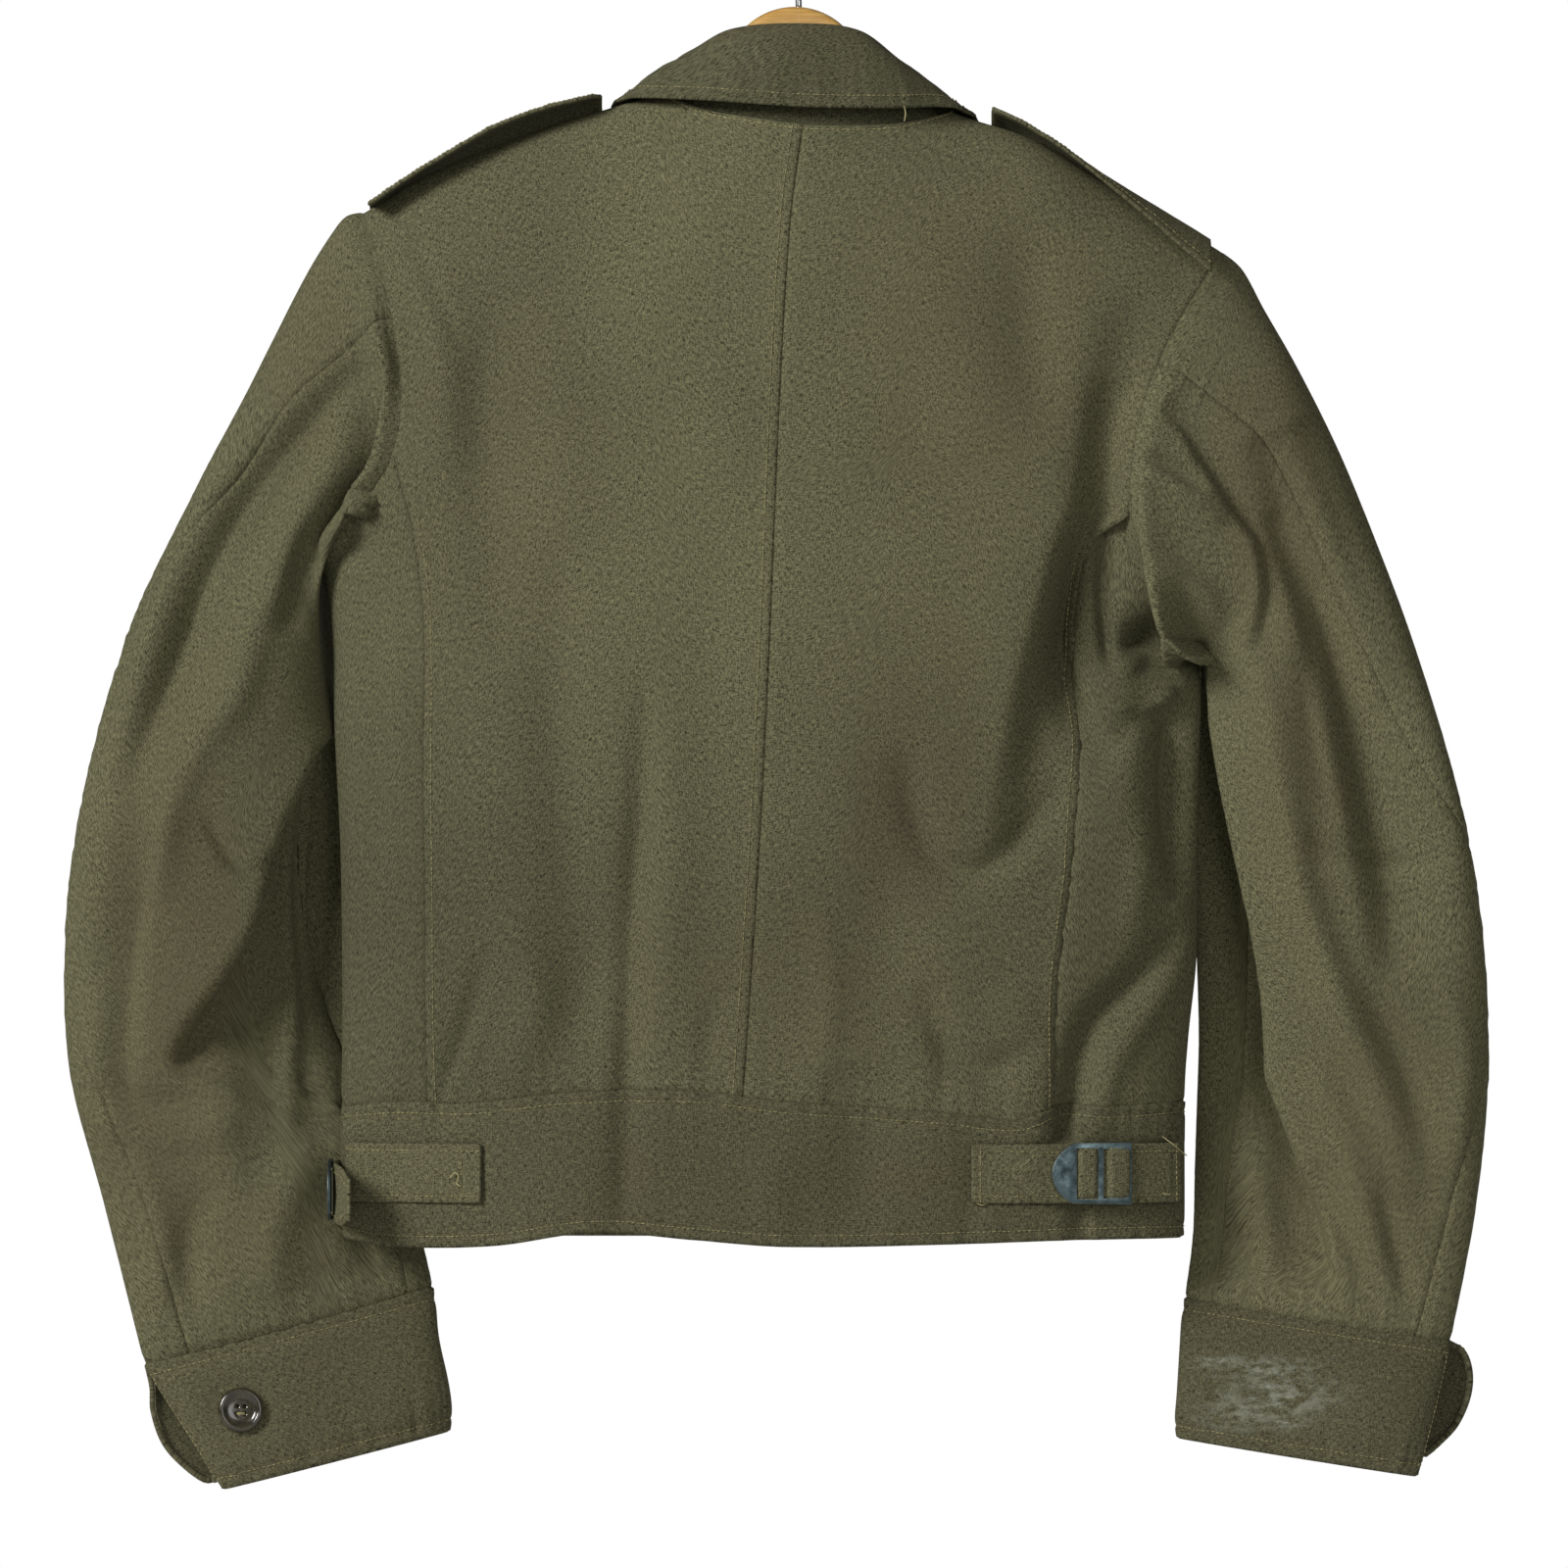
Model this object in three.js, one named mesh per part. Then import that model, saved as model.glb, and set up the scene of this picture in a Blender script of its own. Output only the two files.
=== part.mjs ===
// A waist-length wool service jacket hanging on a plain wooden hanger, seen from the back.
// Millimetres, +Z up. The origin is the inside of the hook's crown, where a rail carries the hanger.
// -Y is the wearer's back, +Y the front, -X the wearer's left, +X the wearer's right.
// The jacket is a set of thin cloth walls, cut and joined along the seams that the real one has.
import * as THREE from "three";

// Cloth and gaps.
const CLOTH = 2.0; // one layer of wool serge with its turned seam allowance
const DOUBLE = 3.0; // waistband and cuffs, two layers sewn together
const STRAP = 1.8; // waist tabs and shoulder loops
const SEAM_GAP = 0.3; // between pieces that are sewn edge to edge
const OVER_GAP = 0.7; // between a piece and the panel that it lies on
const HALF_GAP = SEAM_GAP / 2;

// How full the jacket hangs, from the plane of the hanger to the back and to the front.
const BOW = { rise: 14, reach: 220 }; // the shoulders come forward by rise at reach from the middle
const RIDGE_ROUND = 100; // length over which the cloth falls away from the shoulder ridge
const SIDE_ROUND = 58; // length over which it turns in to the side edges
const NEAR = -1; // the back of the jacket
const FAR = 1; // the front
const RIM = { from: 4, over: 14 }; // folds grow over this distance from the hanger's plane
const FOLD_END = { inset: 0.03, power: 0.6 }; // how a fold fades towards its two ends
const NORMAL_STEP = 0.5; // half the distance over which a slope is measured

// Tables of measured places. Each row is [x, z] unless its heading says otherwise.
const RIDGE = [
  [-320, -232], [-262, -190], [-222, -167.5], [-190, -148.5], [-133, -126], [-70, -106.5], [-30, -91],
  [5, -86], [40, -96], [78, -116.5], [119, -130.5], [157, -153.5], [189, -172], [215, -187],
  [260, -216], [320, -262],
];
const SIDE_LEFT = [
  [-278, -150], [-268, -220], [-256, -290], [-243.5, -347.5], [-237.5, -385], [-236.5, -430],
  [-233.5, -490], [-232.5, -560], [-232.5, -625], [-231.5, -700],
];
const SIDE_RIGHT = [
  [262, -170], [250, -250], [232, -320], [213, -366], [206.5, -386], [204.5, -426],
  [203, -470], [202.5, -545], [198, -590], [195, -640], [195.5, -700],
];
const BODY_DEPTH = [
  // z, back, front
  [-60, 42, 46], [-200, 42, 46], [-300, 44, 49], [-400, 44, 48], [-500, 39, 42], [-580, 33, 35],
  [-640, 29, 31], [-720, 28, 30],
];
const ARMHOLE = {
  left: {
    near: [
      [-222, -167.5], [-211.5, -199.5], [-205.5, -230], [-202, -262], [-206.5, -290],
      [-219.5, -312], [-234, -328.5], [-243.5, -347.5],
    ],
    far: [
      [-222, -167.5], [-208, -200], [-199, -235], [-197, -265], [-204, -293], [-217, -316],
      [-232, -333], [-243.5, -347.5],
    ],
    hindSeam: 0.29, // share of the near edge at which the hind-arm seam starts
    sideBack: 0.65, // share at which the side-back seam meets the armhole
  },
  right: {
    near: [
      [215, -187], [206, -202.5], [193.5, -223], [181, -249], [172.5, -276], [169, -300],
      [170, -322], [179, -347], [192, -367], [206.5, -386],
    ],
    far: [
      [215, -187], [203, -215], [191, -245], [185, -275], [186, -305], [191, -335], [198, -362],
      [206.5, -386],
    ],
    hindSeam: 0.3,
    sideBack: 0.61,
  },
};
const BACK_NECK = [
  [-70, -106.5], [-51, -114.5], [-28, -119.5], [1.5, -124], [32, -124], [55, -122], [78, -116.5],
];
const CENTRE_BACK = [[1.5, -124], [-4.5, -170], [-10, -258], [-15, -378], [-21, -498], [-29, -618.5]];
const SIDE_BACK_LEFT = [
  [-206.5, -290], [-197, -325], [-190.5, -372], [-190.5, -440], [-190, -530], [-189, -622],
];
const SIDE_BACK_RIGHT = [
  [170, -320], [155, -336], [149.5, -370], [146, -434], [139, -500], [131.5, -558], [129.5, -624],
];
const FRONT_EDGE = {
  left: [
    [-70, -106.5], [-63, -128], [-52, -160], [-38, -205], [-20, -260], [-2, -312], [7, -345],
    [5, -400], [1, -520], [-2, -621],
  ],
  right: [
    [78, -116.5], [71, -138], [59, -170], [42, -215], [20, -270], [-2, -322], [-12, -345],
    [-17, -400], [-28, -520], [-36, -621],
  ],
};
const BAND_TOP = [
  [-240, -625], [-207, -621], [-169, -621.5], [-118, -616], [-54, -615], [-7, -620.5],
  [72, -626], [111, -629.5], [132, -622.5], [163, -623], [205, -620],
];
const BAND_BOTTOM = [
  [-240, -688], [-209, -693], [-156, -692.5], [-105, -685.5], [-54, -689], [-7, -692.5],
  [72, -691.5], [141, -689.5], [205, -689],
];
const FRONT_BAND = { top: -621, bottom: -689 };
const ROW_SHARES = [0.07, 0.15, 0.24, 0.33, 0.43, 0.53, 0.63, 0.73, 0.83, 0.92, 1];

const SLEEVE = {
  // t, outer x, z, inner x, z, outer y, inner y, near depth, far depth
  left: [
    [0, -222, -167.5, -243.5, -347.5, 14, 17, 27, 29],
    [0.03, -230.5, -169, -245.5, -355, 14, 18, 29, 31],
    [0.06, -236.5, -175.5, -246.5, -363, 14, 20, 32, 33],
    [0.13, -250, -197, -246.5, -380, 14, 25, 36, 36],
    [0.22, -268, -232, -243.5, -401, 14, 32, 38, 38],
    [0.32, -293, -282, -238, -428, 13, 39, 38, 38],
    [0.42, -318, -329, -232, -460, 12, 43, 37, 36],
    [0.52, -340, -376, -228.5, -496, 12, 47, 36, 33],
    [0.62, -357, -430, -225, -535, 12, 49, 34, 30],
    [0.71, -369, -486, -218, -576, 13, 53, 32, 27],
    [0.79, -374.5, -542, -211, -614, 15, 55, 29, 24],
    [0.86, -372, -605, -204, -650, 18, 55, 25, 20],
    [0.93, -354, -676, -196, -687, 22, 53, 20, 16],
    [1, -334, -756, -189, -717.5, 26, 50, 13, 11],
  ],
  right: [
    [0, 215, -187, 206.5, -386, 13, 12, 27, 29],
    [0.06, 226, -196, 209.5, -397, 14, 15, 32, 33],
    [0.13, 237, -216, 209.5, -411, 14, 22, 36, 36],
    [0.22, 254, -246, 207.5, -430, 14, 28, 38, 38],
    [0.32, 275, -288, 206.5, -455, 14, 33, 38, 37],
    [0.42, 294, -334, 206, -486, 14, 36, 37, 35],
    [0.52, 312, -382, 205.5, -520, 15, 38, 36, 32],
    [0.62, 328, -433, 206, -556, 17, 40, 34, 30],
    [0.71, 341, -486, 206.5, -590, 19, 40, 31, 27],
    [0.79, 350, -541, 205.5, -624, 22, 41, 28, 24],
    [0.86, 352.5, -606, 204.5, -656, 24, 42, 24, 20],
    [0.93, 346, -676, 203.5, -690, 27, 42, 19, 16],
    [1, 333, -744.5, 199.5, -722.5, 30, 42, 13, 11],
  ],
};
// Where the hind-arm seam and the forearm seam run round the sleeve, in degrees from its outer edge.
const SLEEVE_SEAM = {
  left: {
    hind: [[0, 65.2], [0.13, 62], [0.3, 45], [0.5, 12], [0.62, -8], [0.78, 2], [0.88, 38], [1, 46]],
    fore: [[0, 161], [0.5, 168], [1, 147]],
  },
  right: {
    hind: [[0, 66.4], [0.13, 62], [0.3, 55], [0.5, 45], [0.65, 30], [0.8, -4], [0.9, 30], [1, 42]],
    fore: [[0, 161], [0.5, 150], [1, 144]],
  },
};
const SLEEVE_ROWS = [
  0, 0.03, 0.07, 0.12, 0.18, 0.25, 0.32, 0.39, 0.46, 0.53, 0.6, 0.67, 0.74, 0.81, 0.87, 0.93, 1,
];
const RING = { hind: 4, sideBack: 3, armpit: 4, far: 11 };

const CUFF = {
  // outlines below the cuff seam: near layer's open end, inner fold, far layer's rounded end
  left: {
    nearEnd: [[-334, -756.3], [-313, -789], [-294, -818.5]],
    fold: [[-189, -718], [-187.5, -742], [-182, -769.5], [-180.5, -790.5]],
    farEnd: [
      [-334, -756.3], [-331.5, -768], [-331, -780], [-325, -797], [-313, -810], [-303.5, -815.5],
      [-296, -813.5],
    ],
    outerY: 28, foldY: 49, near: 11, far: 10,
  },
  right: {
    nearEnd: [[333, -744.8], [325, -779], [316, -812]],
    fold: [[199.5, -723], [197.5, -758], [195.5, -793.5]],
    farEnd: [
      [333, -744.8], [341, -750], [344.5, -760.5], [343.5, -773], [337.5, -787], [329.5, -796],
      [321.5, -803],
    ],
    outerY: 31, foldY: 42, near: 11, far: 10,
  },
};
const BUTTON = { x: -285.5, z: -779, radius: 11.5, thick: 3.2, hole: 1.1, holeRing: 2.6, seat: 0.5 };

// The largest folds: a path over the cloth, its half width and its height out of the cloth. A ledge also
// has the reach over which it rises again, on the path's left or, where other is set, on its right.
const FOLDS = {
  back: [
    { path: [[178, -205], [160, -260], [148, -330], [142, -430]], wide: 15, high: -6 },
    { path: [[196, -240], [160, -300], [120, -350]], wide: 14, high: 3 },
    { path: [[-196, -190], [-182, -230], [-176, -300]], wide: 12, high: 4 },
    { path: [[52, -420], [48, -500], [38, -600]], wide: 22, high: -4 },
    { path: [[-80, -470], [-98, -540], [-118, -606]], wide: 16, high: -4 },
    { path: [[-150, -520], [-134, -570], [-150, -612]], wide: 12, high: 4 },
    { path: [[28, -600], [34, -650], [30, -690]], wide: 20, high: -5 },
    { path: [[104, -560], [118, -600], [112, -660]], wide: 14, high: 4 },
    { path: [[172, -400], [188, -440], [182, -500]], wide: 11, high: -6 },
  ],
  front: [
    { path: [[-190, -220], [-160, -280], [-150, -330]], wide: 14, high: -5 },
    { path: [[186, -240], [160, -300], [150, -345]], wide: 14, high: -5 },
    { path: [[-110, -480], [-100, -560], [-104, -612]], wide: 16, high: 4 },
    { path: [[90, -480], [84, -560], [88, -612]], wide: 16, high: 4 },
    { path: [[-205, -400], [-196, -480], [-200, -560]], wide: 12, high: -4 },
    { path: [[170, -420], [164, -500], [168, -580]], wide: 12, high: -4 },
  ],
  leftNear: [
    { path: [
      [-232, -425], [-254, -452], [-270, -500], [-290, -546], [-316, -606],
    ], wide: 8, high: -26, reach: 62 },
    { path: [[-225, -290], [-248, -330], [-262, -380]], wide: 10, high: -8 },
    { path: [[-262, -305], [-280, -362], [-302, -408], [-328, -470]], wide: 16, high: 6 },
    { path: [[-296, -352], [-322, -403], [-350, -450]], wide: 11, high: -6 },
    { path: [[-322, -470], [-330, -526], [-342, -600]], wide: 9, high: -5 },
    { path: [[-250, -640], [-270, -690], [-262, -716]], wide: 14, high: 4 },
  ],
  leftFar: [
    { path: [[-232, -400], [-280, -440], [-340, -450]], wide: 13, high: -6 },
    { path: [[-240, -500], [-290, -530], [-350, -520]], wide: 14, high: -7 },
    { path: [[-250, -600], [-300, -600], [-350, -580]], wide: 14, high: -5 },
  ],
  rightNear: [
    { path: [
      [207, -408], [214.5, -456], [227, -500], [237, -544], [244, -606], [256, -643], [276, -706],
    ], wide: 7, high: -20, reach: 46, other: true },
    { path: [[231, -390], [248, -470], [266, -538], [298, -612], [314, -648]], wide: 10, high: 7 },
    { path: [[222, -296], [238, -325], [252, -370], [262, -420]], wide: 9, high: -8 },
    { path: [[184, -272], [208, -300], [232, -335]], wide: 9, high: 6 },
    { path: [[280, -460], [296, -520], [310, -560]], wide: 16, high: -6 },
  ],
  rightFar: [
    { path: [[214, -430], [260, -460], [320, -450]], wide: 13, high: -6 },
    { path: [[212, -520], [260, -545], [330, -530]], wide: 14, high: -7 },
    { path: [[212, -620], [270, -620], [335, -600]], wide: 14, high: -5 },
  ],
};

const COLOUR = { wool: 0x5b593f, button: 0x2b2a20, buckle: 0x39464b, wood: 0xc39b52, steel: 0x9a9c9e };

// Curves and small vector helpers.
const lerp = (a, b, t) => a + (b - a) * t;
const clamp01 = (t) => Math.min(1, Math.max(0, t));
const ease = (t) => clamp01(t) ** 2 * (3 - 2 * clamp01(t));
const vec = (x, y, z) => new THREE.Vector3(x, y, z);

// A smooth function through a short table of arguments and values.
function smooth(args, values) {
  const last = args.length - 1;
  const slope = args.map((_, i) => {
    const a = Math.max(i - 1, 0);
    const b = Math.min(i + 1, last);
    return (values[b] - values[a]) / (args[b] - args[a]);
  });
  return (x) => {
    let i = 0;
    while (i < last - 1 && x > args[i + 1]) i += 1;
    const h = args[i + 1] - args[i];
    const t = (x - args[i]) / h;
    if (t <= 0) return values[i] + slope[i] * (x - args[i]);
    if (t >= 1) return values[i + 1] + slope[i + 1] * (x - args[i + 1]);
    const s = t * t * (3 - 2 * t);
    return lerp(values[i], values[i + 1], s) + h * t * (1 - t) * ((1 - t) * slope[i] - t * slope[i + 1]);
  };
}

// A column of a table as a function of another column.
function column(rows, key, value) {
  const sorted = [...rows].sort((a, b) => a[key] - b[key]);
  return smooth(sorted.map((r) => r[key]), sorted.map((r) => r[value]));
}

// A smooth curve through points of any number of coordinates, by its share of the length, 0 to 1.
function route(points) {
  const at = [0];
  for (let i = 1; i < points.length; i += 1) {
    at.push(at[i - 1] + Math.hypot(...points[i].map((c, k) => c - points[i - 1][k])));
  }
  const shares = at.map((a) => a / at[at.length - 1]);
  const axes = points[0].map((_, k) => smooth(shares, points.map((p) => p[k])));
  return (t) => axes.map((axis) => axis(t));
}

const ridgeZ = column(RIDGE, 0, 1);
const sideLeftX = column(SIDE_LEFT, 1, 0);
const sideRightX = column(SIDE_RIGHT, 1, 0);
const backDepth = column(BODY_DEPTH, 0, 1);
const frontDepth = column(BODY_DEPTH, 0, 2);
const midY = (x) => BOW.rise * (x / BOW.reach) ** 2;

// Height of a fold at a place on the cloth: its profile across, fading out towards both ends.
function foldHeight(fold, x, z) {
  let best = Infinity;
  let along = 0;
  let side = 1;
  const n = fold.path.length - 1;
  for (let i = 0; i < n; i += 1) {
    const [ax, az] = fold.path[i];
    const [bx, bz] = fold.path[i + 1];
    const dx = bx - ax;
    const dz = bz - az;
    const t = clamp01(((x - ax) * dx + (z - az) * dz) / (dx * dx + dz * dz));
    const d = Math.hypot(x - ax - dx * t, z - az - dz * t);
    if (d < best) {
      best = d;
      along = (i + t) / n;
      side = Math.sign(dx * (z - az) - dz * (x - ax)) || 1;
    }
  }
  const place = clamp01(along * (1 - 2 * FOLD_END.inset) + FOLD_END.inset);
  const fade = Math.sin(Math.PI * place) ** FOLD_END.power;
  if (!fold.reach) return fold.high * fade * Math.exp(-((best / fold.wide) ** 2));
  const across = best * side * (fold.other ? -1 : 1);
  const rise = ease((across + fold.wide) / (2 * fold.wide));
  return fold.high * fade * rise * (1 - ease((across - fold.wide) / fold.reach));
}
const foldsAt = (folds, x, z) => folds.reduce((sum, fold) => sum + foldHeight(fold, x, z), 0);

// How far the cloth stands from the hanger's plane, squared, so that it closes smoothly at ridge and sides.
function fullness(side, x, z) {
  const depth = side === NEAR ? backDepth(z) : frontDepth(z);
  const part = (d, round) => 1 - Math.exp(-d / round);
  const sides = part(x - sideLeftX(z), SIDE_ROUND) * part(sideRightX(z) - x, SIDE_ROUND);
  return depth ** 2 * part(ridgeZ(x) - z, RIDGE_ROUND) * sides;
}

// A point of the body's cloth and its outward direction. lift moves it out of the cloth.
function body(side, x, z, lift = 0) {
  const y = side * Math.sqrt(Math.max(fullness(side, x, z), HALF_GAP ** 2));
  const step = NORMAL_STEP;
  const qx = (fullness(side, x + step, z) - fullness(side, x - step, z)) / (2 * step);
  const qz = (fullness(side, x, z + step) - fullness(side, x, z - step)) / (2 * step);
  const bowSlope = (2 * BOW.rise * x) / BOW.reach ** 2;
  const normal = vec(-2 * y * bowSlope - qx, 2 * y, -qz).normalize();
  const folds = side === NEAR ? FOLDS.back : FOLDS.front;
  const fold = foldsAt(folds, x, z) * ease((Math.abs(y) - RIM.from) / RIM.over);
  const point = vec(x, midY(x) + y, z).addScaledVector(normal, lift + fold);
  return { point, normal };
}

// A grid in the x, z plane inside four edges that are lists of [x, z].
function between(top, right, bottom, left) {
  const shares = (edge) => {
    const run = [0];
    for (let i = 1; i < edge.length; i += 1) {
      run.push(run[i - 1] + Math.hypot(edge[i][0] - edge[i - 1][0], edge[i][1] - edge[i - 1][1]));
    }
    return run.map((r) => r / run[run.length - 1]);
  };
  const mean = (a, b) => a.map((s, i) => (s + b[i]) / 2);
  const us = mean(shares(top), shares(bottom));
  const vs = mean(shares(left), shares(right));
  const last = us.length - 1;
  const corner = (u, v, k) =>
    lerp(lerp(top[0][k], top[last][k], u), lerp(bottom[0][k], bottom[last][k], u), v);
  const place = (u, v, i, j, k) =>
    lerp(left[j][k], right[j][k], u) + lerp(top[i][k], bottom[i][k], v) - corner(u, v, k);
  return vs.map((v, j) => us.map((u, i) => [0, 1].map((k) => place(u, v, i, j, k))));
}
const along = (curve, shares) => shares.map((t) => curve(t));
const evenly = (n) => Array.from({ length: n + 1 }, (_, i) => i / n);

// A closed wall of cloth round a grid of points that each have an outward direction.
function wall(grid, thick) {
  const rows = grid.length;
  const cols = grid[0].length;
  const offset = ({ point, normal }, out) => point.clone().addScaledVector(normal, (out * thick) / 2);
  const skin = (out) => grid.flat().map((place) => offset(place, out));
  const points = [...skin(1), ...skin(-1)];
  const outer = (j, i) => j * cols + i;
  const inner = (j, i) => rows * cols + outer(j, i);
  const index = [];
  const quad = (a, b, c, d) => index.push(a, b, c, a, c, d);
  const spans = cols - 1;
  for (let j = 0; j < rows - 1; j += 1) {
    for (let i = 0; i < spans; i += 1) {
      quad(outer(j, i), outer(j, i + 1), outer(j + 1, i + 1), outer(j + 1, i));
      quad(inner(j, i), inner(j + 1, i), inner(j + 1, i + 1), inner(j, i + 1));
    }
  }
  for (let i = 0; i < spans; i += 1) {
    quad(outer(0, i), inner(0, i), inner(0, i + 1), outer(0, i + 1));
    quad(outer(rows - 1, i), outer(rows - 1, i + 1), inner(rows - 1, i + 1), inner(rows - 1, i));
  }
  for (let j = 0; j < rows - 1; j += 1) {
    quad(outer(j, 0), outer(j + 1, 0), inner(j + 1, 0), inner(j, 0));
    quad(outer(j, cols - 1), inner(j, cols - 1), inner(j + 1, cols - 1), outer(j + 1, cols - 1));
  }
  return facingOut(points, index);
}

// A geometry from points and triangles, turned round where its faces point inwards.
function facingOut(points, index) {
  let volume = 0;
  for (let i = 0; i < index.length; i += 3) {
    const [a, b, c] = [points[index[i]], points[index[i + 1]], points[index[i + 2]]];
    volume += a.dot(b.clone().cross(c));
  }
  const order = volume < 0 ? index.map((_, i) => index[i - (i % 3) + [0, 2, 1][i % 3]]) : index;
  return new THREE.BufferGeometry().setFromPoints(points).setIndex(order);
}

// Outward directions for a grid that has only points.
function withNormals(points, outward) {
  const rows = points.length;
  const cols = points[0].length;
  return points.map((row, j) =>
    row.map((point, i) => {
      const across = points[j][Math.min(i + 1, cols - 1)].clone().sub(points[j][Math.max(i - 1, 0)]);
      const down = points[Math.min(j + 1, rows - 1)][i].clone().sub(points[Math.max(j - 1, 0)][i]);
      return { point, normal: across.cross(down).normalize().multiplyScalar(outward) };
    }),
  );
}

const jacket = new THREE.Group();
function add(name, geometry, colour = COLOUR.wool, roughness = 0.95, metalness = 0) {
  const material = new THREE.MeshStandardMaterial({ color: colour, roughness, metalness });
  const mesh = new THREE.Mesh(geometry, material);
  mesh.name = name;
  jacket.add(mesh);
  return mesh;
}

// The cloth at an armhole faces away from a place in the arm's middle, mostly forwards and back.
const ARM_MIDDLE = { x: 205, towardsY: 1.6, towardsZ: 0.75 };

// Armholes. Each is one closed edge: from the shoulder point down the back to the armpit and up the front.
function armhole(key) {
  const shape = ARMHOLE[key];
  const out = key === "left" ? -1 : 1;
  const nearEdge = route(shape.near);
  const farEdge = route(shape.far);
  const [topZ, armpitZ] = [shape.near[0][1], shape.near[shape.near.length - 1][1]];
  const middle = vec(out * ARM_MIDDLE.x, midY(ARM_MIDDLE.x), (topZ + armpitZ) / 2);
  const share = (degrees) => (1 - Math.cos((degrees * Math.PI) / 180)) / 2;
  const plane = (degrees) => (degrees <= 180 ? nearEdge(share(degrees)) : farEdge(share(degrees)));
  const at = (degrees) => {
    const [x, z] = plane(degrees);
    const side = degrees <= 180 ? NEAR : FAR;
    const onRim = degrees % 180 < 1e-6;
    return onRim ? vec(x, midY(x), z) : body(side, x, z).point;
  };
  const radial = (degrees) => {
    const from = at(degrees).sub(middle);
    return vec(0, from.y * ARM_MIDDLE.towardsY, from.z * ARM_MIDDLE.towardsZ).normalize();
  };
  const angleOf = (s) => (Math.acos(1 - 2 * s) * 180) / Math.PI;
  const steps = (a, b, n) => evenly(n).map((t) => lerp(a, b, t));
  const hind = angleOf(shape.hindSeam);
  const sideBack = angleOf(shape.sideBack);
  return {
    at, radial, plane, out, hind, sideBack,
    backAngles: [...steps(0, hind, RING.hind), ...steps(hind, sideBack, RING.sideBack).slice(1)],
    sideAngles: steps(sideBack, 180, RING.armpit),
    frontAngles: steps(360, 180, RING.far),
  };
}
const hole = { left: armhole("left"), right: armhole("right") };

// The cloth at an armhole's edge: on the seam's line, drawn back from the sleeve by half the gap.
function atArmhole(arm, degrees) {
  const normal = arm.radial(degrees);
  return { point: arm.at(degrees).addScaledVector(vec(arm.out, 0, 0), -HALF_GAP), normal };
}

// A row of [x, z] whose first and last places are moved along x to leave the seam gaps.
function trimEnds(row, first, last) {
  return row.map(([x, z], i) => {
    if (i === 0) return [x + first, z];
    return [i === row.length - 1 ? x + last : x, z];
  });
}

// A body panel: every point on the body's form, and its armhole edge on the seam.
function bodyPanel(side, plan, armEdge) {
  return plan.map((row, j) => row.map(([x, z], i) => armEdge(j, i) ?? body(side, x, z)));
}

const seam = {
  sideBackLeft: route(SIDE_BACK_LEFT),
  sideBackRight: route(SIDE_BACK_RIGHT),
  centreBack: route(CENTRE_BACK),
};
const lowerRows = [0, ...ROW_SHARES];
const bandTop = column(BAND_TOP, 0, 1);
const bandBottom = column(BAND_BOTTOM, 0, 1);
// The lower edge of a panel, just above the waistband.
const hemAt = (xs, front = false) => xs.map((x) => [x, (front ? FRONT_BAND.top : bandTop(x)) + HALF_GAP]);

const RIDGE_STEPS = 5;
const NECK_STEPS = 4;
const SIDE_STEPS = RING.armpit;
const NECK_MIDDLE = 0.54; // share of the neck edge at the centre-back seam
// How much of a panel's middle edge lies beside its armhole, and the power by which its rows spread.
const ARM_SHARE = { back: 0.34, front: 0.48, bend: 1.7 };
const SIDE_TURN = 2.2; // columns crowd towards the side edges by this power

// Columns of the back, from the left side edge to the right one, where the panels meet the waistband.
const hem = (() => {
  const left = sideLeftX(BAND_TOP[0][1]);
  const right = sideRightX(BAND_TOP[BAND_TOP.length - 1][1]);
  const sbl = SIDE_BACK_LEFT[SIDE_BACK_LEFT.length - 1][0];
  const sbr = SIDE_BACK_RIGHT[SIDE_BACK_RIGHT.length - 1][0];
  const cb = CENTRE_BACK[CENTRE_BACK.length - 1][0];
  const turn = (a, b, n) => evenly(n).map((t) => lerp(a, b, t ** SIDE_TURN));
  const span = (a, b, n) => evenly(n).map((t) => lerp(a, b, t));
  return {
    sideLeft: turn(left, sbl, SIDE_STEPS),
    backLeft: span(sbl, cb, RIDGE_STEPS + NECK_STEPS),
    backRight: span(cb, sbr, RIDGE_STEPS + NECK_STEPS),
    sideRight: turn(right, sbr, SIDE_STEPS).reverse(),
  };
})();

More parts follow.
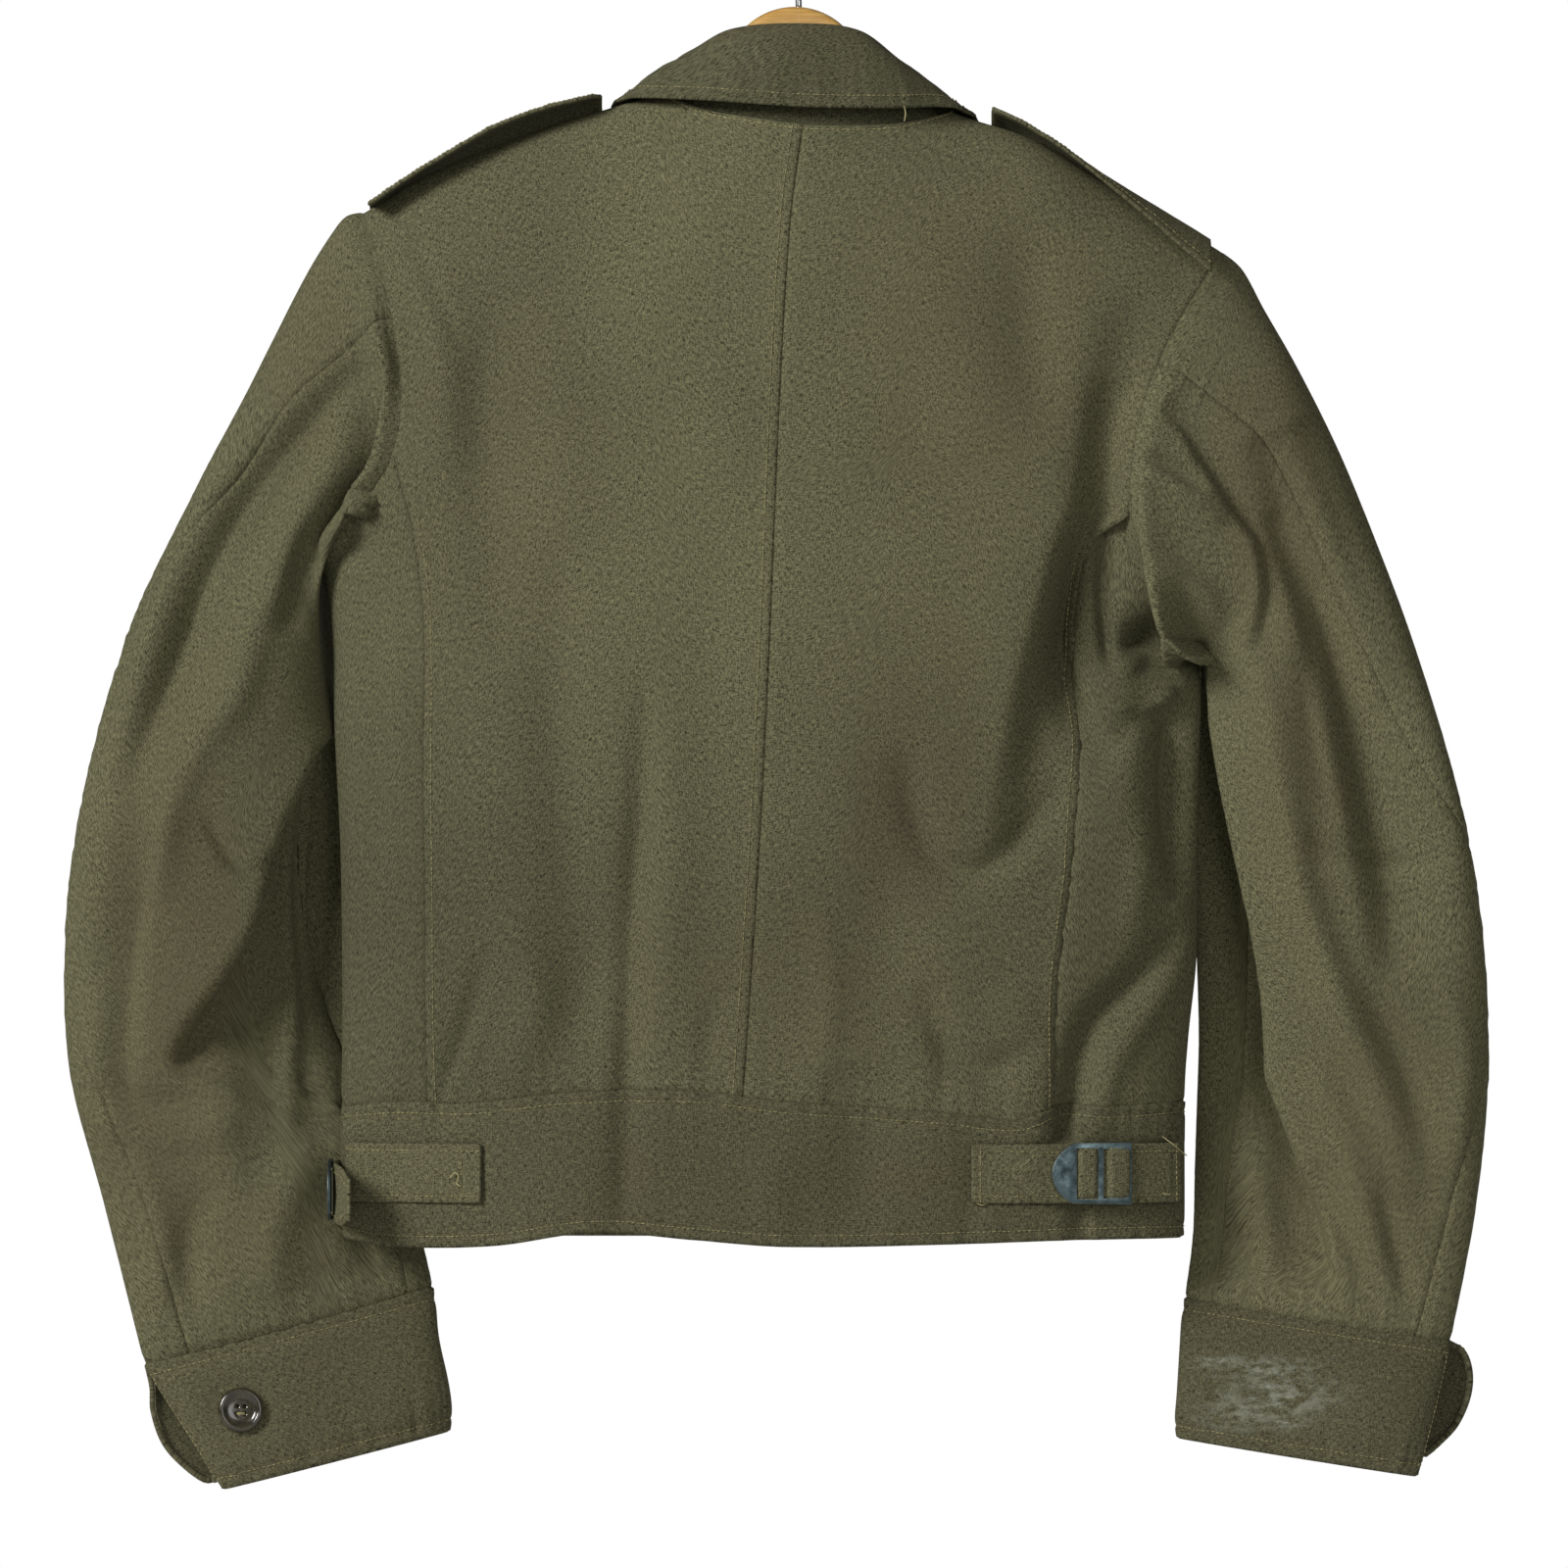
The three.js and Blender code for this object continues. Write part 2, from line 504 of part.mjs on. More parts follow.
// Back panels: shoulder and neck above, armhole and side-back seam at one side, centre-back seam at the
// other.
function backPanel(key) {
  const left = key === "left";
  const arm = hole[key];
  const sideBack = left ? seam.sideBackLeft : seam.sideBackRight;
  const armRows = arm.backAngles.length;
  const neck = route(BACK_NECK);
  const point = left ? BACK_NECK[0] : BACK_NECK[BACK_NECK.length - 1];
  const shoulder = arm.plane(0);
  const ridge = evenly(RIDGE_STEPS).map((t) => {
    const x = lerp(shoulder[0], point[0], t);
    return [x, ridgeZ(x)];
  });
  const neckShares = evenly(NECK_STEPS).map((t) => lerp(left ? 0 : 1, NECK_MIDDLE, t));
  const top = [...ridge, ...along(neck, neckShares).slice(1)];
  top[top.length - 1] = CENTRE_BACK[0];
  const outer = [...arm.backAngles.map((a) => arm.plane(a)), ...along(sideBack, ROW_SHARES)];
  const cbShares = outer.map((_, j) => {
    if (j < armRows) return ARM_SHARE.back * (arm.backAngles[j] / arm.sideBack) ** ARM_SHARE.bend;
    return lerp(ARM_SHARE.back, 1, ROW_SHARES[j - armRows]);
  });
  const centre = along(seam.centreBack, cbShares);
  const xs = left ? hem.backLeft : [...hem.backRight].reverse();
  const bottom = hemAt(xs);
  const inward = left ? 1 : -1;
  outer[outer.length - 1] = bottom[0];
  centre[centre.length - 1] = bottom[bottom.length - 1];
  const plan = between(top, centre, bottom, outer);
  const trimmed = plan.map((row) => trimEnds(row, inward * HALF_GAP, -inward * HALF_GAP));
  const armEdge = (j, i) => (i === 0 && j < armRows ? atArmhole(arm, arm.backAngles[j]) : null);
  return wall(bodyPanel(NEAR, trimmed, armEdge), CLOTH);
}

// Side panels: from the side-back seam round to the side edge, under the armhole.
function sidePanel(key) {
  const left = key === "left";
  const arm = hole[key];
  const sideBack = left ? seam.sideBackLeft : seam.sideBackRight;
  const sideX = left ? sideLeftX : sideRightX;
  const inward = left ? 1 : -1;
  const armpitZ = arm.plane(180)[1];
  const top = [...arm.sideAngles].reverse().map((a) => arm.plane(a));
  const xs = left ? hem.sideLeft : [...hem.sideRight].reverse();
  const bottom = hemAt(xs);
  const edge = lowerRows.map((t) => {
    const z = lerp(armpitZ, bottom[0][1], t);
    return [sideX(z), z];
  });
  const inner = along(sideBack, lowerRows);
  inner[inner.length - 1] = bottom[bottom.length - 1];
  inner[0] = top[top.length - 1];
  const plan = between(top, inner, bottom, edge);
  const angles = [...arm.sideAngles].reverse();
  const trimmed = plan.map((row) => trimEnds(row, 0, -inward * HALF_GAP));
  const armEdge = (j, i) => {
    if (j !== 0) return null;
    const rim = atArmhole(arm, angles[i]);
    if (i === 0) rim.point.y -= HALF_GAP;
    return rim;
  };
  return wall(bodyPanel(NEAR, trimmed, armEdge), CLOTH);
}

const FRONT_COLUMNS = [0, 0.012, 0.045, 0.11, 0.26, 0.44, 0.62, 0.81, 1];
// The wearer's left front closes over the right one. It rises over ramp, at lead from its edge, in widths,
// and from z = top down over a distance of over.
const FLY = { width: 42, lift: CLOTH + OVER_GAP, lead: 1.8, ramp: 0.5, top: -275, over: 28 };

// Front panels: shoulder above, armhole and side edge at one side, neck, lapel roll line and front edge at
// the other.
function frontPanel(key) {
  const left = key === "left";
  const arm = hole[key];
  const sideX = left ? sideLeftX : sideRightX;
  const armRows = arm.frontAngles.length;
  const shoulder = arm.plane(0);
  const neckPoint = FRONT_EDGE[key][0];
  const top = FRONT_COLUMNS.map((t) => {
    const x = lerp(shoulder[0], neckPoint[0], t);
    return [x, ridgeZ(x)];
  });
  const armpitZ = arm.plane(180)[1];
  const bottomZ = FRONT_BAND.top + HALF_GAP;
  const outer = [
    ...arm.frontAngles.map((a) => arm.plane(a)),
    ...ROW_SHARES.map((t) => {
      const z = lerp(armpitZ, bottomZ, t);
      return [sideX(z), z];
    }),
  ];
  const edge = route(FRONT_EDGE[key]);
  const centre = along(edge, outer.map((_, j) => {
    if (j < armRows) return ARM_SHARE.front * ((360 - arm.frontAngles[j]) / 180) ** ARM_SHARE.bend;
    return lerp(ARM_SHARE.front, 1, ROW_SHARES[j - armRows]);
  }));
  const cols = top.length;
  const [hemFrom, hemTo] = [outer[outer.length - 1][0], centre[centre.length - 1][0]];
  const bottom = FRONT_COLUMNS.map((t) => [lerp(hemFrom, hemTo, t), bottomZ]);
  centre[centre.length - 1] = bottom[cols - 1];
  outer[outer.length - 1] = bottom[0];
  const plan = between(top, centre, bottom, outer);
  const grid = plan.map((row, j) =>
    row.map(([x, z], i) => {
      if (i === 0 && j < armRows) {
        const rim = atArmhole(arm, arm.frontAngles[j]);
        if (j === 0 || j === armRows - 1) rim.point.y += HALF_GAP;
        return rim;
      }
      return body(FAR, x, z, frontLift(key, x, z));
    }),
  );
  return wall(grid, CLOTH);
}

// Where the left front lies over the right one, it is moved out by the right one's thickness.
function frontLift(key, x, z) {
  if (key !== "left") return 0;
  const edgeX = column(FRONT_EDGE.left, 1, 0)(Math.max(z, FRONT_BAND.bottom));
  return FLY.lift * lapShare(x, edgeX) * ease((FLY.top - z) / FLY.over);
}
// 1 on the lap of the fronts beside its edge at edgeX, 0 on the rest of the left front.
function lapShare(x, edgeX) {
  return ease((x - (edgeX - FLY.width * FLY.lead)) / (FLY.width * FLY.ramp));
}

// Waistband: one piece across the back and one across each front, two layers thick.
function backBand() {
  const { sideLeft, backLeft, backRight, sideRight } = hem;
  const xs = [...sideLeft.slice(0, -1), ...backLeft.slice(0, -1), ...backRight.slice(0, -1), ...sideRight];
  const levels = evenly(3);
  const last = xs.length - 1;
  const grid = levels.map((t) =>
    xs.map((x, i) => {
      const z = lerp(bandTop(x) - HALF_GAP, bandBottom(x), t);
      const onEdge = i === 0 ? sideLeftX(z) : i === last ? sideRightX(z) : x;
      return body(NEAR, onEdge, z);
    }),
  );
  return wall(grid, DOUBLE);
}
function frontBand(key) {
  const left = key === "left";
  const sideX = left ? sideLeftX : sideRightX;
  const end = FRONT_EDGE[key][FRONT_EDGE[key].length - 1][0];
  const grid = evenly(3).map((t) => {
    const z = lerp(FRONT_BAND.top - HALF_GAP, FRONT_BAND.bottom, t);
    return FRONT_COLUMNS.map((u) => {
      const x = lerp(sideX(z), end, u);
      return body(FAR, x, z, (DOUBLE + OVER_GAP) * (left ? lapShare(x, end) : 0));
    });
  });
  return wall(grid, DOUBLE);
}

// Sleeves. The form is a round tube whose flat outline is the picture's; it starts on the armhole's edge.
// cap is the share of the length over which it leaves the armhole's shape, facing that over which its
// facing does. Folds fade in and out over top and bottom, and towards its two edges over edge.
const SLEEVE_FORM = { cap: 0.24, facing: 0.1, top: 0.08, bottom: 0.05, edge: 0.35 };
const TURN_STEP = { degrees: 0.8, t: 0.004 };
const sleeveForm = (key) => {
  const table = SLEEVE[key];
  const names = ["ox", "oz", "ix", "iz", "oy", "iy", "near", "far"];
  const col = Object.fromEntries(names.map((name, k) => [name, column(table, 0, k + 1)]));
  const arm = hole[key];
  const tube = (degrees, t) => {
    const angle = (degrees * Math.PI) / 180;
    const s = (1 - Math.cos(angle)) / 2;
    const depth = Math.sin(angle) * (Math.sin(angle) > 0 ? col.near(t) : col.far(t));
    const acrossAt = (outer, inner) => lerp(outer(t), inner(t), s);
    return vec(acrossAt(col.ox, col.ix), acrossAt(col.oy, col.iy) - depth, acrossAt(col.oz, col.iz));
  };
  const rest = (degrees, t) => {
    const wrapped = ((degrees % 360) + 360) % 360;
    const off = arm.at(wrapped).sub(tube(wrapped, 0)).multiplyScalar(1 - ease(t / SLEEVE_FORM.cap));
    return tube(wrapped, t).add(off);
  };
  const outward = (degrees, t) => {
    const round = rest(degrees + TURN_STEP.degrees, t).sub(rest(degrees - TURN_STEP.degrees, t));
    const [above, below] = [Math.max(t - TURN_STEP.t, 0), Math.min(t + TURN_STEP.t, 1)];
    const down = rest(degrees, below).sub(rest(degrees, above));
    return round.cross(down).normalize().multiplyScalar(arm.out);
  };
  return (degrees, t) => {
    const wrapped = ((degrees % 360) + 360) % 360;
    const point = rest(degrees, t);
    const radial = arm.radial(wrapped);
    const normal = outward(degrees, t).lerp(radial, 1 - ease(t / SLEEVE_FORM.facing)).normalize();
    const near = Math.sin((wrapped * Math.PI) / 180);
    const folds = FOLDS[key + (near > 0 ? "Near" : "Far")];
    const { top, bottom, edge } = SLEEVE_FORM;
    const fade = ease(Math.abs(near) / edge) * ease(t / top) * ease((1 - t) / bottom);
    point.addScaledVector(outward(degrees, t), foldsAt(folds, point.x, point.z) * fade);
    if (t === 0) point.x += arm.out * HALF_GAP;
    return { point, normal };
  };
};
const sleeve = { left: sleeveForm("left"), right: sleeveForm("right") };

// Angles round a sleeve at t for the piece that spans from one seam to the other.
function sleeveAngles(key, t, piece) {
  const hindAt = column(SLEEVE_SEAM[key].hind, 0, 1)(t);
  const foreAt = column(SLEEVE_SEAM[key].fore, 0, 1)(t);
  const start = startAngles(key, piece);
  const [from, to] = piece === "under" ? [hindAt, foreAt] : [foreAt, hindAt + 360];
  const [first, last] = [start[0], start[start.length - 1]];
  return start.map((a) => lerp(from, to, (a - first) / (last - first)));
}
const SEAM_TURN = 0.22; // degrees that half a seam gap takes up round the sleeve
function sleevePiece(key, piece) {
  const grid = SLEEVE_ROWS.map((t) => {
    const angles = t === 0 ? startAngles(key, piece) : sleeveAngles(key, t, piece);
    return angles.map((a, i) => {
      if (i === 0) return sleeve[key](a + SEAM_TURN, t);
      return sleeve[key](i === angles.length - 1 ? a - SEAM_TURN : a, t);
    });
  });
  return wall(grid, CLOTH);
}
// The angles of a piece's upper edge, which are the armhole's own.
function startAngles(key, piece) {
  const { backAngles, sideAngles, frontAngles } = hole[key];
  if (piece === "under") return [...backAngles.slice(RING.hind), ...sideAngles.slice(1, -1)];
  const pastShoulder = backAngles.slice(1, RING.hind + 1).map((a) => a + 360);
  return [...sideAngles.slice(-2), ...[...frontAngles].reverse().slice(1), ...pastShoulder];
}

const CUFF_FLARE = 1.15; // how much deeper a cuff is at its lower edge
const CUFF_OPEN = 7; // how far its two ends stand apart there, each way
const CUFF_LEVELS = [0, 0.2, 0.45, 0.72, 1];
const CUFF_ANGLES = [0, 22, 45, 70, 95, 120, 145, 165, 180, 195, 215, 240, 265, 290, 315, 338, 360];

// Cuffs: one open strip, from the button end over the near side, round the inner fold, to the rounded far
// end.
function cuffForm(key) {
  const shape = CUFF[key];
  const edges = { near: route(shape.nearEnd), fold: route(shape.fold), far: route(shape.farEnd) };
  return (degrees, v) => {
    const a = (degrees * Math.PI) / 180;
    const s = (1 - Math.cos(a)) / 2;
    const end = degrees <= 180 ? edges.near(v) : edges.far(v);
    const fold = edges.fold(v);
    const depth = Math.sin(a) * (degrees <= 180 ? shape.near : shape.far) * lerp(1, CUFF_FLARE, v);
    const open = (degrees <= 180 ? -1 : 1) * (1 - s) ** 2 * lerp(DOUBLE / 2 + SEAM_GAP, CUFF_OPEN, v);
    const y = lerp(shape.outerY, shape.foldY, s) - depth + open;
    return vec(lerp(end[0], fold[0], s), y, lerp(end[1], fold[1], s));
  };
}
function cuff(key) {
  const place = cuffForm(key);
  const points = CUFF_LEVELS.map((v) => CUFF_ANGLES.map((a) => place(a, v)));
  return wall(withNormals(points, key === "left" ? -1 : 1), DOUBLE);
}

// A sewn button with four holes, facing the way that the cloth faces.
function button(name, seat, facing) {
  const disc = new THREE.Shape().absarc(0, 0, BUTTON.radius, 0, Math.PI * 2);
  const offset = BUTTON.holeRing / Math.SQRT2;
  for (const [x, y] of [[-1, -1], [1, -1], [1, 1], [-1, 1]]) {
    disc.holes.push(new THREE.Path().absarc(x * offset, y * offset, BUTTON.hole, 0, Math.PI * 2, true));
  }
  const options = { depth: BUTTON.thick, bevelEnabled: false, curveSegments: 4 };
  const geometry = new THREE.ExtrudeGeometry(disc, options);
  const mesh = add(name, geometry, COLOUR.button, 0.35);
  mesh.quaternion.setFromUnitVectors(vec(0, 0, 1), facing);
  mesh.position.copy(seat);
}

// The place on a cuff's near layer that shows at x, z in the picture, and the way that it faces.
function buttonSeat(key, x, z) {
  const place = cuffForm(key);
  let best = { far: Infinity };
  for (let degrees = 5; degrees < 175; degrees += 1) {
    for (let v = 0.1; v < 0.95; v += 0.01) {
      const p = place(degrees, v);
      const far = Math.hypot(p.x - x, p.z - z);
      if (far < best.far) best = { far, p, degrees, v };
    }
  }
  const round = place(best.degrees + 4, best.v).sub(place(best.degrees - 4, best.v));
  const down = place(best.degrees, best.v + 0.1).sub(place(best.degrees, best.v - 0.1));
  const facing = round.cross(down).normalize();
  if (facing.y > 0) facing.negate();
  return { facing, seat: best.p.clone().addScaledVector(facing, DOUBLE / 2 + BUTTON.seat) };
}

// Collar: a band that rises inside the neck edge, turns over at the roll line and falls outside.
const COLLAR = [
  // base x, z, depth side, roll x, y, z, edge x, y, z
  { base: [-50, -162], side: FAR, roll: [-47, 35.5, -158], edge: [-92, 47, -172] },
  { base: [-60, -133], side: FAR, roll: [-57, 26, -124], edge: [-101, 35, -146] },
  { base: [-67, -116], side: FAR, roll: [-60.5, 9, -97], edge: [-95, 12, -112.5] },
  { base: [-65, 0], side: 0, roll: [-60, 2, -89.5], edge: [-91, -1, -109.5] },
  { base: [-58, -117], side: NEAR, roll: [-51, -5, -84], edge: [-83, -12, -108.5] },
  { base: [-32, -121.5], side: NEAR, roll: [-33, -14, -75], edge: [-48, -27, -110.5] },
  { base: [2, -126.5], side: NEAR, roll: [0, -17, -72.5], edge: [2, -31, -114] },
  { base: [36, -126.5], side: NEAR, roll: [29, -14, -75.5], edge: [46, -28, -114.5] },
  { base: [66, -123], side: NEAR, roll: [47, -5, -88], edge: [78, -13, -113.5] },
  { base: [72, 0], side: 0, roll: [56, 2, -96], edge: [88.5, -1, -117] },
  { base: [75, -126], side: FAR, roll: [60, 9, -104], edge: [91, 12, -119.5] },
  { base: [68, -143], side: FAR, roll: [63, 26, -133], edge: [107, 36, -156] },
  { base: [57, -172], side: FAR, roll: [54, 36, -167], edge: [99, 48, -182] },
];
const COLLAR_INSET = 5.6; // its base edge lies this far inside the neck edge
const COLLAR_COLUMNS = 30;
// Across the collar: half the distance between stand and fall under the roll line, how far each part bulges
// out, and how far the roll's two sides lie below its top.
const ROLL = {
  half: 3.2, stand: -0.8, top: 1, fall: 3, edge: 1.4, standDrop: 3.4, fallOut: 2, fallDrop: 2.6,
};
function collar() {
  const bases = COLLAR.map(({ base: [x, z], side }) =>
    side ? body(side, x, z, -COLLAR_INSET).point.toArray() : [x, midY(x), ridgeZ(x) - COLLAR_INSET],
  );
  const lines = [bases, COLLAR.map((r) => r.roll), COLLAR.map((r) => r.edge)].map(route);
  const columns = evenly(COLLAR_COLUMNS).map((t) => {
    const [base, roll, edge] = lines.map((line) => vec(...line(t)));
    const out = edge.clone().sub(roll).setZ(0).normalize();
    const drop = (share, from, to, bulge) => from.clone().lerp(to, share).addScaledVector(out, bulge);
    return [
      base,
      drop(0.5, base, roll, ROLL.stand),
      roll.clone().addScaledVector(out, -ROLL.half / 2).setZ(roll.z - ROLL.standDrop),
      roll.clone().addScaledVector(out, ROLL.top),
      roll.clone().addScaledVector(out, ROLL.half + ROLL.fallOut).setZ(roll.z - ROLL.fallDrop),
      drop(0.45, roll, edge, ROLL.fall),
      drop(0.75, roll, edge, ROLL.edge),
      edge,
    ];
  });
  return wall(withNormals(columns, 1), CLOTH);
}

// Lapels: the tops of the fronts, turned back along the roll line and lying on the panel.
const LAPEL = {
  left: {
    top: [[-53, -164], [-80, -176], [-107, -190]],
    outer: [[-107, -190], [-92, -232], [-62, -285], [-24, -330], [0, -347]],
  },
  right: {
    top: [[60, -174], [86, -187], [113, -201]],
    outer: [[113, -201], [97, -240], [68, -280], [36, -299], [8, -305]],
  },
};
const EDGE_INSET = 1.2; // the turned edge lies this far back from the front's own edge
const LAPEL_LIFT = CLOTH + OVER_GAP + 0.5; // a little more than touching, for the thick fold
const LAPEL_STEPS = { across: 4, down: 7 };
function lapel(key) {
  const shape = LAPEL[key];
  const out = key === "left" ? -1 : 1;
  const { across, down } = LAPEL_STEPS;
  const rollX = column(FRONT_EDGE[key], 1, 0);
  const top = along(route(shape.top), evenly(across));
  const outer = along(route(shape.outer), evenly(down));
  const endZ = outer[down][1];
  const roll = evenly(down).map((t) => {
    const z = lerp(top[0][1], endZ, t);
    return [rollX(z) + out * EDGE_INSET, z];
  });
  roll[0] = top[0];
  const bottom = evenly(across).map((t) => [0, 1].map((k) => lerp(roll[down][k], outer[down][k], t)));
  const plan = between(top, outer, bottom, roll);
  const lift = (x, z) => LAPEL_LIFT + frontLift(key, x, z);
  return wall(plan.map((row) => row.map(([x, z]) => body(FAR, x, z, lift(x, z)))), CLOTH);
}

// Breast pockets: a patch on each front and a flap over its mouth. gap is how far the patch stands off the
// front.
const POCKET = {
  left: { x: -116, width: 118, top: -322, height: 138, gap: 2 },
  right: { x: 92, width: 118, top: -326, height: 138, gap: 0.9 },
};
const FLAP = { overhang: 3, height: 48, point: 9 };
const POCKET_STEPS = 6;
const FLAP_STEPS = 3;
function pocket(key) {
  const { x, width, top, height, gap } = POCKET[key];
  const grid = evenly(POCKET_STEPS).map((v) =>
    evenly(POCKET_STEPS).map((u) => {
      const across = x + (u - 0.5) * width;
      const z = top - v * height;
      return body(FAR, across, z, CLOTH + gap + frontLift(key, across, z));
    }),
  );
  return wall(grid, CLOTH);
}
function flap(key) {
  const { x, width, top, gap } = POCKET[key];
  const grid = evenly(FLAP_STEPS).map((v) =>
    evenly(POCKET_STEPS).map((u) => {
      const across = x + (u - 0.5) * (width + 2 * FLAP.overhang);
      const drop = FLAP.height + FLAP.point * (1 - Math.abs(2 * u - 1));
      const z = top + FLAP.overhang - v * drop;
      return body(FAR, across, z, 2 * CLOTH + gap + OVER_GAP + frontLift(key, across, z));
    }),
  );
  return wall(grid, CLOTH);
}

// Shoulder loops: straps from the armhole seam to the collar, standing a little off the shoulder ridge.
const LOOP = {
  // x, lift over the ridge, rise of the near edge, half width
  left: [
    [-219, 2.8, 0, 25], [-200, 3.6, 0, 24.5], [-180, 5.8, 0, 24], [-160, 9.4, 0, 23],
    [-140, 10.6, 0, 22], [-120, 9.8, 0, 21], [-108, 9, 0, 18], [-101, 8, 0, 10],
  ],
  right: [
    [210, 2.8, -16, 25], [196, 3.4, -13, 24.5], [178, 3.8, -8, 24], [160, 4.2, -4, 23],
    [142, 4.6, -1, 22], [124, 5.2, 0, 21], [108, 6.6, 1, 18], [99, 7.4, 2, 10],
  ],
};
const LOOP_FAR_DROP = 9; // how far its front edge lies below the shoulder ridge
const LOOP_STEPS = 9;
function shoulderLoop(key) {
  const rows = LOOP[key];
  const line = route(rows.map(([x]) => [x, 0]));
  const [lift, rise, half] = [1, 2, 3].map((k) => column(rows, 0, k));
  const points = evenly(LOOP_STEPS).map((t) => {
    const x = line(t)[0];
    return [-1, -0.5, 0, 0.5, 1].map((side) => {
      const y = side * half(x);
      const bend = side < 0 ? rise(x) * side ** 2 : -LOOP_FAR_DROP * side ** 2;
      return vec(x, midY(x) + y, ridgeZ(x) + lift(x) + bend);
    });
  });
  return wall(withNormals(points, key === "left" ? 1 : -1), STRAP);
}

// Waist tabs: a strap sewn to the back of the waistband, a tongue from the side, and a steel buckle.
const TAB_LIFT = (DOUBLE + STRAP) / 2 + OVER_GAP;
const TAB = { width: 29, top: -642, tip: 0.35 };
const TAB_STEPS = 8;
const TAB_MIDDLE = TAB.top - TAB.width / 2;
// A strap on the band from one x to the other. point is the length over which it narrows to its tip.
function strapOnBand(fromX, toX, lift, point = 0, steps = TAB_STEPS) {
  const rows = evenly(steps).map((t) => {
    const x = lerp(fromX, toX, t);
    const half = (TAB.width / 2) * (point ? lerp(TAB.tip, 1, ease(Math.abs(x - toX) / point)) : 1);
    return [1, 0, -1].map((v) => body(NEAR, x, TAB_MIDDLE + v * half, lift));
  });
  return wall(rows, STRAP);
}
// The left tab is let out: its buckle has gone round the side edge and its tongue stands out to the back.
const SIDE_BUCKLE = { x: -238.2, y: 0, z: TAB_MIDDLE - 9, ahead: 22 };
const SIDE_TONGUE = {
  // x and y from the buckle's middle
  line: [[3.7, 19.5], [1.7, 10], [1.3, -4], [4.5, -21], [10, -34]],
  sag: 4, // how far its free end drops
  tip: 0.72, // how wide it is there, against its full width
  tipRows: 2,
};
function leftTongue() {
  const { line, sag, tip, tipRows } = SIDE_TONGUE;
  const places = along(route(line), evenly(TAB_STEPS));
  const points = places.map(([dx, dy], j) => {
    const half = (TAB.width / 2) * (j > TAB_STEPS - tipRows ? tip : 1);
    const middle = SIDE_BUCKLE.z - sag * (j / TAB_STEPS) ** 2;
    return [-1, 0, 1].map((v) => vec(SIDE_BUCKLE.x + dx, SIDE_BUCKLE.y + dy, middle - v * half));
  });
  return wall(withNormals(points, -1), STRAP);
}

// A steel slide buckle: a half-round lever plate and a frame with two slots.
const BUCKLE = {
  plate: 12.5, length: 42, height: 31.5, bar: 3, thick: 1.5,
  noseX: 1.5, noseShare: 0.72, // the curve of the plate's round end
  slotStart: 0.7, slotStep: 0.4, // the second slot is a little less tall than the first
};
function buckleShape() {
  const { plate, length, height, bar, noseX, noseShare, slotStart, slotStep } = BUCKLE;
  const h = height / 2;
  const outline = new THREE.Shape();
  outline.moveTo(length, -h).lineTo(length, h).lineTo(plate, h);
  outline.quadraticCurveTo(noseX, h * noseShare, 0, 0);
  outline.quadraticCurveTo(noseX, -h * noseShare, plate, -h);
  const slot = (from, to, tall) => {
    const opening = new THREE.Path();
    opening.moveTo(from, -tall).lineTo(from, tall).lineTo(to, tall).lineTo(to, -tall);
    outline.holes.push(opening);
  };
  const half = (length - plate - 2 * bar) / 2;
  slot(plate + slotStart, plate + half, h - bar);
  slot(plate + half + bar, length - bar, h - bar - slotStep);
  return new THREE.ExtrudeGeometry(outline, { depth: BUCKLE.thick, bevelEnabled: false, curveSegments: 8 });
}

// Hanger: two wooden halves that meet under the hook, with the shoulders following the jacket's ridge.
const HANGER = {
  half: 6, depth: 34, tipDepth: 20, left: -204, right: 198,
  crown: -62, crownX: -2, crownHalf: 26, crownRound: 36, // the round top between the collar's ends
  crownFoot: 11.1, crownSlope: 0.72, crownBlend: 34, // how its flanks run down into the shoulders
  under: 3.4, // clear of the cloth over it
  neckDip: 9, neckAt: 68, neckWide: 24, // lower still where the collar's base passes over it
};
const HANGER_TIP = { from: 0.9, depth: 0.55, half: 0.6, drop: 4 }; // the last of its length is rounded off
const HANGER_SHARES = [0, 0.06, 0.12, 0.2, 0.29, 0.4, 0.52, 0.64, 0.76, 0.88, 0.96, 1];
const HANGER_SECTION = [
  // share of the half width, depth below the top
  [0, 0], [0.62, -0.5], [0.95, -2], [1, -5],
];
const HANGER_FOOT = { rise: 3, half: 0.6 }; // the rounding of its lower edge
function hangerTop(x) {
  const { crown, crownX, crownHalf, crownRound, crownFoot, crownSlope, crownBlend, under } = HANGER;
  const dip = HANGER.neckDip * Math.exp(-(((Math.abs(x) - HANGER.neckAt) / HANGER.neckWide) ** 2));
  const shoulder = ridgeZ(x) - CLOTH / 2 - under - dip;
  const beyond = Math.abs(x - crownX) - crownHalf;
  if (beyond < 0) return crown - (1 - Math.sqrt(1 - ((x - crownX) / crownRound) ** 2)) * crownRound;
  return lerp(crown - crownFoot - beyond * crownSlope, shoulder, ease(beyond / crownBlend));
}
